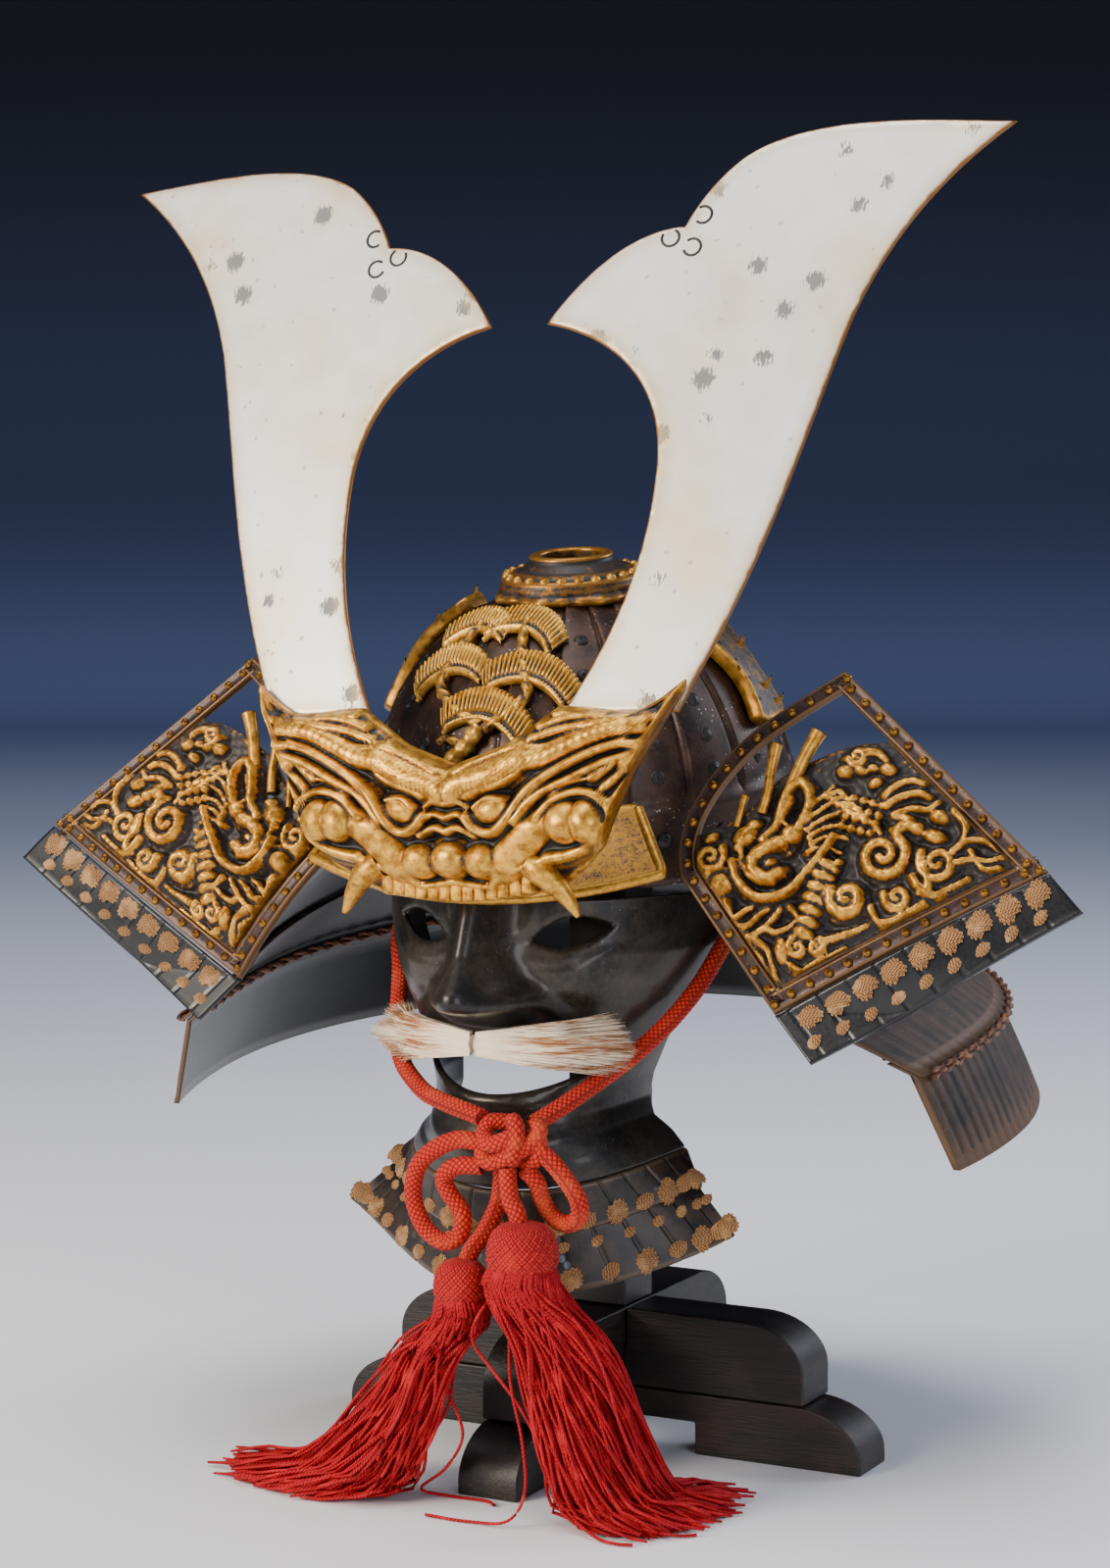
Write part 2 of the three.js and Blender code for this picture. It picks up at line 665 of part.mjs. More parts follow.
// ---------------------------------------------------------------- wings

// Corners of the wing in its own frame, from the top, clockwise seen from the front.
const WING_CORNERS = { top: [-2, 68], outer: [78, -5], bottom: [-19, -58], inner: [-56, -11] };
const WING_ARCH = [[-57.5, 0], [-54.5, 14.5], [-45.5, 31], [-31, 47]];
const RELIEF_CONTOUR = [[-49, 5], [-39, 10], [-31, 16], [-21, 27], [-9, 34], [4, 39.5], [16, 41]];

// A point of the wing, which folds back below the line from its inner to its outer corner.
function onWing([across, up], lift) {
  const below = (across - WING_CORNERS.inner[0]) * 0.0376 - (up - WING_CORNERS.inner[1]) * 0.9993;
  const share = THREE.MathUtils.clamp(below / WING_FOLD.width, 0, 1);
  return point(across, up, 3 - WING_FOLD.depth * share * share + lift);
}

function wingOutline() {
  const { top, outer, bottom, inner } = WING_CORNERS;
  const edge = (from, to, steps) => range(steps).map((step) => (
    [lerp(from[0], to[0], step / steps), lerp(from[1], to[1], step / steps)]
  ));
  return [...edge(top, outer, 6), ...edge(outer, bottom, 7), ...edge(bottom, inner, 5), inner, ...WING_ARCH];
}

// Moves a closed outline inwards by a distance.
function inset(outline, distance) {
  const count = outline.length;
  const normal = (from, to) => new THREE.Vector2(to[1] - from[1], from[0] - to[0]).normalize();
  return outline.map((corner, index) => {
    const before = normal(outline[(index + count - 1) % count], corner);
    const after = normal(corner, outline[(index + 1) % count]);
    const middle = before.clone().add(after).normalize();
    const reach = distance / Math.max(middle.dot(after), 0.5);
    return [corner[0] + middle.x * reach, corner[1] + middle.y * reach];
  });
}

// Grid over the lower field of the wing: columns from the inner to the outer corner, rows upwards.
function wingField(margin, lift, across = 9, up = 4) {
  const flat = (outline) => outline.map(([x, y]) => point(x, y, 0));
  const loop = inset(wingOutline(), WING_RAIL + margin);
  const lower = flat([...loop.slice(6, 19)]).reverse();
  const contour = flat(RELIEF_CONTOUR.map(([x, y]) => [x, y - Math.max(margin, 0)]));
  const upper = [lower[0], ...contour, ...flat(loop.slice(3, 6))];
  return fractions(across).map((share) => {
    const [low, high] = [along(lower, 0.04 + share * 0.92), along(upper, 0.07 + share * 0.87)];
    return fractions(up).map((rise) => {
      const place = low.clone().lerp(high, rise);
      return onWing([place.x, place.y], lift(place.x, place.y));
    });
  });
}

function makeWing() {
  const outer = wingOutline();
  const inner = inset(outer, WING_RAIL);
  const frame = (lift) => outer.map((corner, index) => [onWing(corner, lift), onWing(inner[index], lift)]);
  const rails = wall(frame(3.2), frame(0), true);
  const field = wall(wingField(-1.5, () => 1.6, 6, 3), wingField(-1.5, () => 0.1, 6, 3));
  return fused([rails, field]);
}

// Relief of a dragon's head, its coils and clouds: round swells on the field, given by place and size.
const RELIEF_SWELLS = [
  { x: -22, y: 4, radius: 12, rise: 6.5 },
  { x: -34, y: 7, radius: 7, rise: 5 },
  { x: -6, y: 14, radius: 13, rise: 3.5 },
  { x: -5, y: -22, radius: 9, rise: 4 },
  { x: -20, y: -34, radius: 9, rise: 3 },
  { x: 14, y: 26, radius: 9, rise: 2.5 },
  { x: 50, y: 0, radius: 9, rise: 2 },
];
const RELIEF_SPIRALS = [
  { x: 19, y: -2, radius: 8.5 },
  { x: 39, y: -5, radius: 7 },
];

function reliefLift(x, y) {
  const swell = RELIEF_SWELLS.map((s) => s.rise * Math.exp(-(((x - s.x) ** 2 + (y - s.y) ** 2) / s.radius ** 2)));
  return 4 + swell.reduce((sum, value) => sum + value, 0);
}

function makeDragon() {
  const field = wall(wingField(GAP + 0.6, reliefLift), wingField(GAP + 0.6, () => 2.4));
  const onRelief = (x, y, lift = 0.6) => onWing([x, y], reliefLift(x, y) + lift);
  const spirals = RELIEF_SPIRALS.map(({ x, y, radius }) => strand(
    fractions(6).map((share) => {
      const angle = share * 1.6 * Math.PI;
      const reach = lerp(radius, radius * 0.35, share);
      return onRelief(x + reach * Math.cos(angle), y + reach * Math.sin(angle));
    }),
    (share) => lerp(2.2, 1.3, share),
    { sides: 4, steps: 5 },
  ));
  const antlers = [
    [[-17, 22], [-14, 34], [-9, 45]],
    [[-28, 12], [-29, 26], [-25, 40]],
  ].map((stops) => strand(stops.map(([x, y]) => onWing([x, y], 5.2)), () => 2.2, { sides: 4, steps: 2 }));
  const whisker = strand(
    [[-36, 2], [-31, -12], [-20, -17], [-9, -7], [1, 7]].map(([x, y]) => onRelief(x, y)),
    () => 1.6,
    { sides: 4, steps: 5 },
  );
  return fused([field, ...spirals, ...antlers, whisker]);
}

// Laced strip under the wing's lower rail.
function makeWingStrip() {
  const { outer, bottom } = WING_CORNERS;
  const low = [[91, -19], [-4, -75.5]];
  const high = [[outer[0] + 0.4, outer[1] - 0.7], [bottom[0] + 0.4, bottom[1] - 0.7]];
  const face = (lift) => fractions(8).map((share) => fractions(1).map((down) => {
    const [a, b] = [high, low].map(([from, to]) => [lerp(from[0], to[0], share), lerp(from[1], to[1], share)]);
    return onWing([lerp(a[0], b[0], down), lerp(a[1], b[1], down)], lift);
  }));
  return wall(face(2.6), face(0.6));
}

function placeWing(mesh, side) {
  mesh.rotation.set(radians(90 - WING.lean), 0, side * radians(WING.yaw), 'ZYX');
  mesh.position.set(side * WING.x, WING.y, WING.z);
}

// ---------------------------------------------------------------- face mask and throat guard

const MASK_LEVELS = [
  { z: 116, halfWidth: 55, rear: -38, front: -95 },
  { z: 124, halfWidth: 50, rear: -39, front: -99 },
  { z: 131, halfWidth: 43, rear: -40, front: -104 },
  { z: 140, halfWidth: 41, rear: -40, front: -101 },
  { z: 150, halfWidth: 42, rear: -38, front: -99.5 },
  { z: 165, halfWidth: 46, rear: -33, front: -101 },
  { z: 185, halfWidth: 57, rear: -28, front: -103 },
  { z: 205, halfWidth: 65, rear: -24, front: -104 },
  { z: 226, halfWidth: 68.5, rear: -20, front: -102 },
];
const NOSE_PROFILE = [
  { z: 178, rise: 0, halfWidth: 14 },
  { z: 183, rise: 12, halfWidth: 17 },
  { z: 187, rise: 31, halfWidth: 15 },
  { z: 193, rise: 31, halfWidth: 13 },
  { z: 206, rise: 22, halfWidth: 9 },
  { z: 226, rise: 16, halfWidth: 8 },
];
const MASK_WALL = 2.2;
const FLANGE_RISE = 11; // of the lower edge, from the chin to the rear

const flangeRise = (angle) => FLANGE_RISE * Math.abs(Math.sin(angle)) ** 2.2;

// A point of the mask: side from -1 to 1 round the face, level from 0, the lower edge, to 1.
function onMask(side, level, inset) {
  const nominal = lerp(MASK_LEVELS[0].z, MASK_LEVELS.at(-1).z, level);
  const angle = side * radians(88);
  const z = nominal + flangeRise(angle) * (1 - level) ** 2;
  const [halfWidth, rear, front] = ['halfWidth', 'rear', 'front'].map((column) => (
    read(MASK_LEVELS, 'z', column, nominal)
  ));
  const x = (halfWidth - inset) * Math.sin(angle);
  const nose = read(NOSE_PROFILE, 'z', 'rise', z)
    * Math.exp(-(Math.abs(x / read(NOSE_PROFILE, 'z', 'halfWidth', z)) ** 2.4));
  const nostril = 7 * Math.exp(-(((Math.abs(x) - 17) / 7) ** 2) - (((z - 190) / 4.5) ** 2));
  const cheek = 4 * Math.exp(-(((Math.abs(x) - 38) / 13) ** 2) - (((z - 197) / 9) ** 2));
  const lip = 3 * Math.exp(-(((z - 150) / 4) ** 2) - ((x / 24) ** 4));
  const y = rear + (front + inset - rear) * Math.cos(angle) ** 0.9 - nose - nostril - cheek - lip;
  return point(x, y, z);
}

function makeMask() {
  const face = (inset) => fractions(14).map((share) => (
    fractions(9).map((level) => onMask(share * 2 - 1, level, inset))
  ));
  const mouth = new THREE.Shape();
  mouth.moveTo(-37, 164);
  mouth.quadraticCurveTo(0, 172, 37, 164);
  mouth.quadraticCurveTo(24, 153, 0, 152.5);
  mouth.quadraticCurveTo(-24, 153, -37, 164);
  const eye = (side) => new THREE.Shape()
    .moveTo(side * 18, 211)
    .quadraticCurveTo(side * 30, 203, side * 44, 216)
    .quadraticCurveTo(side * 30, 225, side * 18, 211);
  const punch = (shape) => new THREE.ExtrudeGeometry(shape, { depth: 110, bevelEnabled: false, curveSegments: 4 })
    .rotateX(Math.PI / 2)
    .translate(0, -50, 0);
  return cutAway(wall(face(0), face(MASK_WALL)), [mouth, eye(1), eye(-1)].map(punch));
}

// Moustache tuft: five locks fanning out from the middle of the lip, on a flat backing.
function makeMoustache() {
  const root = (rise) => point(2.4, -112, 172.8 + rise * 0.3);
  const tip = (rise) => point(54 - Math.abs(rise) * 0.25, -88, 172 + rise);
  const middle = (rise) => point(28, -105.8, 173.2 + rise * 0.55);
  const locks = [-11.5, -4, 4, 11.5].map((rise) => (
    strand([root(rise), middle(rise), tip(rise)], (share) => lerp(4, 0.7, share ** 2.5), { sides: 4, steps: 2 })
  ));
  const backing = strand([root(0), middle(0), tip(0).lerp(middle(0), 0.3)], (share) => lerp(4.6, 3.2, share), { sides: 4, steps: 2 });
  return fused([backing, ...locks]);
}

// Throat guard lames: the upper and lower edge of each, at the middle and at the ends.
const THROAT_LAMES = [
  {
    name: 'throat_lame_1',
    top: { middleY: -95, middleZ: 115.6, endX: 55, endY: -38, endZ: 126.6, bend: 0.9 },
    bottom: { middleY: -94.5, middleZ: 97, endX: 66, endY: -54, endZ: 116, bend: 2.2 },
  },
  {
    name: 'throat_lame_2',
    top: { middleY: -91.4, middleZ: 99.5, endX: 62.6, endY: -50, endZ: 115.5, bend: 2 },
    bottom: { middleY: -94, middleZ: 75.5, endX: 82, endY: -57, endZ: 98, bend: 3.6 },
  },
];

function makeThroatLame({ top, bottom }) {
  const edge = ({ middleY, middleZ, endX, endY, endZ, bend }, side, thickness) => {
    const angle = side * radians(88);
    return point(
      (endX - thickness) * Math.sin(angle),
      endY + (middleY + thickness - endY) * Math.cos(angle) ** bend,
      middleZ + (endZ - middleZ) / FLANGE_RISE * flangeRise(angle),
    );
  };
  const face = (thickness) => fractions(16).map((share) => {
    const side = share * 2 - 1;
    const [high, low] = [top, bottom].map((row) => edge(row, side, thickness));
    return [high, low];
  });
  return wall(face(0), face(2));
}

// ---------------------------------------------------------------- chin cord and tassels

const CORD = 6.7;
const KNOT = { x: 16, y: -113, z: 140 };

// Half of the loop on the +X side, from the cheek up into the helmet and round the inside of its rim.
const CORD_LOOP_SIDE = [
  [68, -40, 203], [71, -24, 218], [71, -6, 232], [66, 16, 240], [51, 39, 246], [27, 55, 250],
];
const CORD_LEFT_FRONT = [
  [23, -111, 144.5], [30, -100.5, 150], [36, -91, 155.5], [43, -81, 162], [50, -71, 169.5], [57, -60, 179],
  [63, -49.5, 190],
];
const CORD_RIGHT_FRONT = [
  [63, -49.5, 190], [58, -60, 181], [53, -71, 172], [48, -80, 165], [42, -87.5, 159], [34, -94.5, 154.5],
  [25, -101, 151], [14, -106.5, 149], [5, -110.5, 147.8], [-4, -113.6, 146.2],
];

function chinCordPath() {
  const toPoint = ([x, y, z]) => point(x, y, z);
  const mirror = ([x, y, z]) => point(-x, y, z);
  return [
    ...CORD_LEFT_FRONT.map(toPoint),
    ...CORD_LOOP_SIDE.map(toPoint),
    point(0, 60, 251),
    ...[...CORD_LOOP_SIDE].reverse().map(mirror),
    ...CORD_RIGHT_FRONT.map(mirror),
  ];
}

const BOW_LOOP_RIGHT = [
  [4.6, -114, 137], [-5, -115, 137.5], [-15, -115, 133], [-22.5, -114, 125.5], [-25, -112.5, 114],
  [-21, -111.5, 103], [-13, -111.5, 98], [-6.2, -111.5, 101.5], [-5, -112, 109.5], [-9.5, -113, 116.5],
  [-11.5, -114, 122.5], [-6, -115, 127.5], [4.5, -114.5, 128.5],
];
const BOW_LOOP_LEFT = [
  [27, -113.5, 136], [32.5, -114, 132], [37.5, -113, 126], [41.5, -110.5, 118], [40.5, -108, 111],
  [34.5, -106.5, 108], [28.5, -106.5, 111], [26, -109, 117.5], [25.5, -112.5, 124], [22.5, -115.5, 128.8],
];
const TAIL_LEFT = [[16, -117, 128.5], [17, -118.5, 123], [18.5, -119.5, 117.5], [21.2, -120, 113]];
const TAIL_RIGHT = [[10, -110, 129], [9.5, -108.5, 121], [7.5, -108.5, 112], [3.5, -110.5, 103], [-0.6, -114.3, 95.4]];

// The knot: three short turns of cord over one another, with a round heart.
function makeKnot() {
  const { x, y, z } = KNOT;
  return fused([
    ball(x, y, z - 2, 9.5, 6, 8),
    strand([point(x - 10, y, z + 1), point(x - 2, y - 4, z + 4), point(x + 6, y - 1, z + 4)], () => 3.6, { sides: 5, steps: 2 }),
    strand([point(x + 1, y - 3, z + 3), point(x + 6, y - 5, z - 2), point(x + 4, y - 2, z - 8)], () => 3.4, { sides: 5, steps: 2 }),
    strand([point(x - 8, y - 2, z - 3), point(x - 5, y - 4, z - 7), point(x, y - 2, z - 8)], () => 3.2, { sides: 5, steps: 2 }),
  ]);
}

// Knitted head of a tassel, a dome that closes over the top of the threads.
function makeTasselHead(x, y, bottom, radius, height) {
  const profile = [[0, 0], [0.8, 0], [1, 0.25], [1, 0.5], [0.86, 0.78], [0.5, 0.97], [0, 1]];
  return new THREE.LatheGeometry(profile.map(([r, h]) => new THREE.Vector2(r * radius, h * height)), 8)
    .rotateX(Math.PI / 2)
    .translate(x, y, bottom);
}

// Threads of a tassel in thick locks, which drop from the head and spread on the floor.
const SKIRT_LEFT = {
  head: { x: 23.5, y: -120, z: 92 },
  locks: [
    { x: 80, y: -60, bendX: 58, bendY: -102, bendZ: 54 },
    { x: 88, y: -84, bendX: 60, bendY: -112, bendZ: 46 },
    { x: 84, y: -110, bendX: 54, bendY: -121, bendZ: 38 },
    { x: 70, y: -127, bendX: 44, bendY: -128, bendZ: 33 },
    { x: 48, y: -119, bendX: 32, bendY: -127, bendZ: 34 },
  ],
};
const SKIRT_RIGHT = {
  head: { x: -2.5, y: -118, z: 78 },
  locks: [
    { x: -108, y: -92, bendX: -38, bendY: -112, bendZ: 44 },
    { x: -103, y: -111, bendX: -40, bendY: -118, bendZ: 36 },
    { x: -82, y: -126, bendX: -33, bendY: -124, bendZ: 29 },
    { x: -56, y: -129, bendX: -23, bendY: -126, bendZ: 29 },
    { x: -38, y: -113, bendX: -13, bendY: -121, bendZ: 32 },
  ],
};
const FLOOR_CLEARANCE = 0.4;

function makeSkirt({ head, locks }, headRadius) {
  const neck = ball(head.x, head.y, head.z - 5.5, headRadius * 0.92, headRadius * 0.9, 5.2);
  const strands = locks.map(({ x, y, bendX, bendY, bendZ }, index) => {
    const turn = (index / (locks.length - 1) - 0.5) * headRadius;
    const stops = [
      point(head.x - turn * 0.5, head.y + 1, head.z - 4.5),
      point(lerp(head.x, bendX, 0.4) - turn * 0.3, lerp(head.y, bendY, 0.5), lerp(head.z, bendZ, 0.55)),
      point(bendX, bendY, bendZ),
      point(lerp(bendX, x, 0.5), lerp(bendY, y, 0.5), 11),
      point(lerp(bendX, x, 0.8), lerp(bendY, y, 0.8), 6),
      point(x, y, 3.6),
    ];
    const radius = (share) => lerp(6, 10, Math.min(share * 2.2, 1)) * (share > 0.85 ? 0.65 : 1);
    return strand(stops, radius, { sides: 5, steps: 4, floor: FLOOR_CLEARANCE });
  });
  return fused([neck, ...strands]);
}

// ---------------------------------------------------------------- assembly

const helmet = group(
  piece('bowl', 'darkBronze', makeBowl()),
  piece('crown_ring', 'darkBronze', makeCrownRing()),
  piece('pine_branch', 'gilt', makePineBranch()),
  ...pair('side_ridge', 'gilt', makeSideRidge()),
  piece('brim', 'gilt', makeBrim()),
  ...NECK_LAMES.map((lame) => piece(lame.name, 'lacquer', makeNeckLame(lame))),
);
helmet.position.set(0, RIM.y, RIM.z);
helmet.rotation.x = radians(HELMET_LEAN);

const crestParts = group(
  piece('lion_crest', 'gilt', makeCrest()),
  ...pair('horn', 'silver', makeHorn(), placeHorn),
);
crestParts.position.z = -CREST_PIVOT;
const crest = group(crestParts);
crest.position.z = CREST_PIVOT;
crest.rotation.y = radians(CREST_ROLL);

const wings = group(
  ...pair('wing', 'darkBronze', makeWing(), placeWing),
  ...pair('dragon', 'gilt', makeDragon(), placeWing),
  ...pair('wing_strip', 'lacquer', makeWingStrip(), placeWing),
);

const face = group(
  piece('mask', 'maskMetal', makeMask()),
  ...pair('moustache', 'hair', makeMoustache()),
  ...THROAT_LAMES.map((lame) => piece(lame.name, 'lacquer', makeThroatLame(lame))),
);

const route = (stops) => stops.map(([x, y, z]) => point(x, y, z));
const cords = group(
  piece('chin_cord', 'redCord', cord(chinCordPath(), CORD, 29)),
  piece('cord_knot', 'redCord', makeKnot()),
  piece('bow_loop_left', 'redCord', cord(route(BOW_LOOP_LEFT), CORD, 9)),
  piece('bow_loop_right', 'redCord', cord(route(BOW_LOOP_RIGHT), CORD, 12)),
  piece('cord_tail_left', 'redCord', cord(route(TAIL_LEFT), CORD, 3)),
  piece('cord_tail_right', 'redCord', cord(route(TAIL_RIGHT), CORD, 4)),
  piece('tassel_head_left', 'redThread', makeTasselHead(23.5, -120, 92.4, 13.2, 18.2)),
  piece('tassel_head_right', 'redThread', makeTasselHead(-2.5, -118, 78.4, 10.2, 15.6)),
  piece('tassel_skirt_left', 'redThread', makeSkirt(SKIRT_LEFT, 12.5)),
  piece('tassel_skirt_right', 'redThread', makeSkirt(SKIRT_RIGHT, 9.8)),
);

const model = group(makeStand(), helmet, crest, wings, face, cords);
model.position.y = CENTRING;

export default model;
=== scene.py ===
"""A kabuto samurai helmet with its face mask, throat guard, chin cord and tassels, on a wooden stand.

Shapes are worked out in millimetres, with the face looking along -Y, and turned into metres when a mesh
is made.
"""

import json
import logging
from dataclasses import dataclass, field
from enum import Enum
from typing import Callable, Optional, Sequence

import bpy
import numpy as np
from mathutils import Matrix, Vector
from mathutils.geometry import delaunay_2d_cdt

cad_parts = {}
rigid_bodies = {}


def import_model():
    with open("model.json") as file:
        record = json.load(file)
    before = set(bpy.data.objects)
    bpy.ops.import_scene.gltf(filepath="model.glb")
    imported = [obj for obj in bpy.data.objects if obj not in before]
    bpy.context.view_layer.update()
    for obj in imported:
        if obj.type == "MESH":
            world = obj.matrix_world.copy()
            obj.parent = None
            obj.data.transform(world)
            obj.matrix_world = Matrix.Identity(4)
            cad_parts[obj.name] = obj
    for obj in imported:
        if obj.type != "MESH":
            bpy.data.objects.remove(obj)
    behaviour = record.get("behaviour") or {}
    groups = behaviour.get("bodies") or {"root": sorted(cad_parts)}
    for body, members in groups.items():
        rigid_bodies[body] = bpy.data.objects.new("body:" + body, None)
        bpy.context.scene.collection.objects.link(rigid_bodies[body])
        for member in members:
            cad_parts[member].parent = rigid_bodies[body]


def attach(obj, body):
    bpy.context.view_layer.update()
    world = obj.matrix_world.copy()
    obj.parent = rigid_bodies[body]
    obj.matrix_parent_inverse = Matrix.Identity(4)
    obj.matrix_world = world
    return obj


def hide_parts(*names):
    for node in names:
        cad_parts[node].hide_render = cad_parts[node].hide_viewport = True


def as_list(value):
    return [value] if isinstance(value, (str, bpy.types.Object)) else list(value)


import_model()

logging.basicConfig(level=logging.INFO, format="%(message)s")
LOG = logging.getLogger("kabuto")

Array = np.ndarray
Outline = Sequence[tuple[float, float]]

MM = 0.001
CENTRING = np.array([0.0, -6.4, 0.0])  # the whole model is moved along Y to stand centred
CAD_BODY = "root"


# ---------------------------------------------------------------------------- numbers and placing


def linear(colour: str) -> tuple[float, float, float, float]:
    """Turns an sRGB hex colour into linear light.

    Args:
        colour: Six hexadecimal digits.

    Returns:
        Red, green, blue and alpha for a shader socket.
    """
    parts = np.array([int(colour[i : i + 2], 16) for i in (0, 2, 4)]) / 255
    light = np.where(parts <= 0.04045, parts / 12.92, ((parts + 0.055) / 1.055) ** 2.4)
    return (*(float(part) for part in light), 1.0)


def turned(axis: str, degrees: float) -> Array:
    """Gives the matrix of a turn about a coordinate axis.

    Args:
        axis: "x", "y" or "z".
        degrees: Angle, anticlockwise as seen looking back along the axis.

    Returns:
        A 3 by 3 matrix.
    """
    c, s = np.cos(np.radians(degrees)), np.sin(np.radians(degrees))
    rows = {
        "x": [[1, 0, 0], [0, c, -s], [0, s, c]],
        "y": [[c, 0, s], [0, 1, 0], [-s, 0, c]],
        "z": [[c, -s, 0], [s, c, 0], [0, 0, 1]],
    }
    return np.array(rows[axis])


@dataclass(frozen=True)
class Place:
    """A turn, then a move in millimetres, and a mirror image for the wearer's right side."""

    matrix: Array = field(default_factory=lambda: np.eye(3))
    offset: tuple[float, float, float] = (0.0, 0.0, 0.0)
    mirrored: bool = False

    def __call__(self, points: Array) -> Array:
        """Puts points in their place.

        Args:
            points: Any array whose last axis is x, y, z.

        Returns:
            The placed points, in an array of the same shape.
        """
        placed = points @ self.matrix.T + np.array(self.offset)
        return placed * (-1, 1, 1) if self.mirrored else placed


def smooth(values: Array, low: float, high: float) -> Array:
    """Rises from 0 at low to 1 at high along a smooth step.

    Args:
        values: Numbers to map.
        low: Where the step starts.
        high: Where it ends, above or below low.

    Returns:
        Numbers from 0 to 1.
    """
    share = np.clip((values - low) / (high - low), 0, 1)
    return share * share * (3 - 2 * share)


def curve_through(points: Array, count: int) -> Array:
    """Runs a smooth curve through points.

    Each stretch between two points is a cubic whose slope at a point is half the step between its
    neighbours, and the result is spaced evenly by length.

    Args:
        points: Control points, shape (n, 2) or (n, 3).
        count: Number of points wanted.

    Returns:
        Evenly spaced points.
    """
    stops = np.asarray(points, float)
    padded = np.vstack([2 * stops[0] - stops[1], stops, 2 * stops[-1] - stops[-2]])
    t = np.linspace(0, 1, 12, endpoint=False)[:, None]
    pieces = []
    for a, b, c, d in zip(padded, padded[1:], padded[2:], padded[3:]):
        pieces.append(
            b + 0.5 * t * (c - a + t * (2 * a - 5 * b + 4 * c - d + t * (3 * (b - c) + d - a)))
        )
    fine = np.vstack([*pieces, stops[-1:]])
    return resampled(fine, count)


def resampled(line: Array, count: int) -> Array:
    """Spaces points evenly along a polyline.

    Args:
        line: Polyline points.
        count: Number of points wanted.

    Returns:
        Points at equal steps of length.
    """
    steps = np.linalg.norm(np.diff(line, axis=0), axis=1)
    at = np.concatenate([[0], np.cumsum(steps)])
    wanted = np.linspace(0, at[-1], count)
    return np.stack([np.interp(wanted, at, line[:, axis]) for axis in range(line.shape[1])], axis=1)


def distance_to_line(x: Array, y: Array, line: Array) -> tuple[Array, Array]:
    """Measures how far places lie from a polyline.

    Args:
        x: First coordinate of each place.
        y: Second coordinate of each place.
        line: Polyline, shape (n, 2).

    Returns:
        The distance of each place, and the share of the line's length at its nearest point.
    """
    best = np.full(x.shape, 1e9)
    share = np.zeros(x.shape)
    steps = np.linalg.norm(np.diff(line, axis=0), axis=1)
    at = np.concatenate([[0], np.cumsum(steps)])
    for index, ((ax, ay), (bx, by)) in enumerate(zip(line, line[1:])):
        span = (bx - ax) ** 2 + (by - ay) ** 2 + 1e-12
        t = np.clip(((x - ax) * (bx - ax) + (y - ay) * (by - ay)) / span, 0, 1)
        gap = np.hypot(x - ax - t * (bx - ax), y - ay - t * (by - ay))
        nearer = gap < best
        best = np.where(nearer, gap, best)
        share = np.where(nearer, (at[index] + t * steps[index]) / at[-1], share)
    return best, share


def across_lines(directions: Array) -> tuple[Array, Array]:
    """Finds two directions square to each step of a path, carried along it without twisting.

    Args:
        directions: Unit directions along the path, shape (n, 3).

    Returns:
        Two arrays of unit directions.
    """
    first = np.cross(directions[0], (0.0, 0.0, 1.0))
    if np.linalg.norm(first) < 0.2:
        first = np.cross(directions[0], (1.0, 0.0, 0.0))
    sides = []
    for direction in directions:
        first = first - direction * np.dot(first, direction)
        first = first / np.linalg.norm(first)
        sides.append(first)
    side = np.array(sides)
    return side, np.cross(directions, side)


# ---------------------------------------------------------------------------- meshes


@dataclass
class Skin:
    """Points and faces on their way to becoming a mesh, in millimetres.

    Attributes:
        points: Shape (n, 3).
        faces: Lists of corner numbers, one array for each number of corners.
        uv: Two numbers a point, shape (n, 2), in millimetres over the surface.
        tone: How much brighter than its wear a point is rubbed, shape (n,), or nothing for 0.
    """

    points: Array
    faces: list[Array]
    uv: Array
    tone: Optional[Array] = None

    @staticmethod
    def joined(skins: Sequence["Skin"]) -> "Skin":
        """Puts several skins into one.

        Args:
            skins: What to join.

        Returns:
            One skin with all points and faces.
        """
        skins = [skin.outward() for skin in skins]
        starts = np.cumsum([0, *(len(skin.points) for skin in skins[:-1])])
        faces = [group + start for skin, start in zip(skins, starts) for group in skin.faces]
        tones = [np.zeros(len(skin.points)) if skin.tone is None else skin.tone for skin in skins]
        points, uv = (np.vstack([getattr(skin, name) for skin in skins]) for name in ("points", "uv"))
        return Skin(points, faces, uv, np.concatenate(tones))

    def outward(self) -> "Skin":
        """Turns the faces outwards.

        The volume inside is the sum over triangles of corner . (corner x corner) / 6; where it is negative,
        the faces look inwards.

        Returns:
            The skin, with its faces turned over if they looked inwards.
        """
        middle = self.points - self.points.mean(axis=0)
        volume = 0.0
        for group in self.faces:
            for k in range(1, group.shape[1] - 1):
                a, b, c = (middle[group[:, n]] for n in (0, k, k + 1))
                volume += float(np.einsum("ij,ij->", a, np.cross(b, c)))
        faces = self.faces if volume >= 0 else [group[:, ::-1] for group in self.faces]
        return Skin(self.points, faces, self.uv, self.tone)

    def toned(self, tone: Array | float) -> "Skin":
        """Sets how brightly the points are rubbed: one number, or one for each point."""
        return Skin(
            self.points, self.faces, self.uv, np.broadcast_to(tone, (len(self.points),)).astype(float)
        )

    def placed(self, place: Callable[[Array], Array]) -> "Skin":
        """Moves the points.

        Args:
            place: Function from points to points.

        Returns:
            A new skin.
        """
        return Skin(place(self.points), self.faces, self.uv, self.tone)


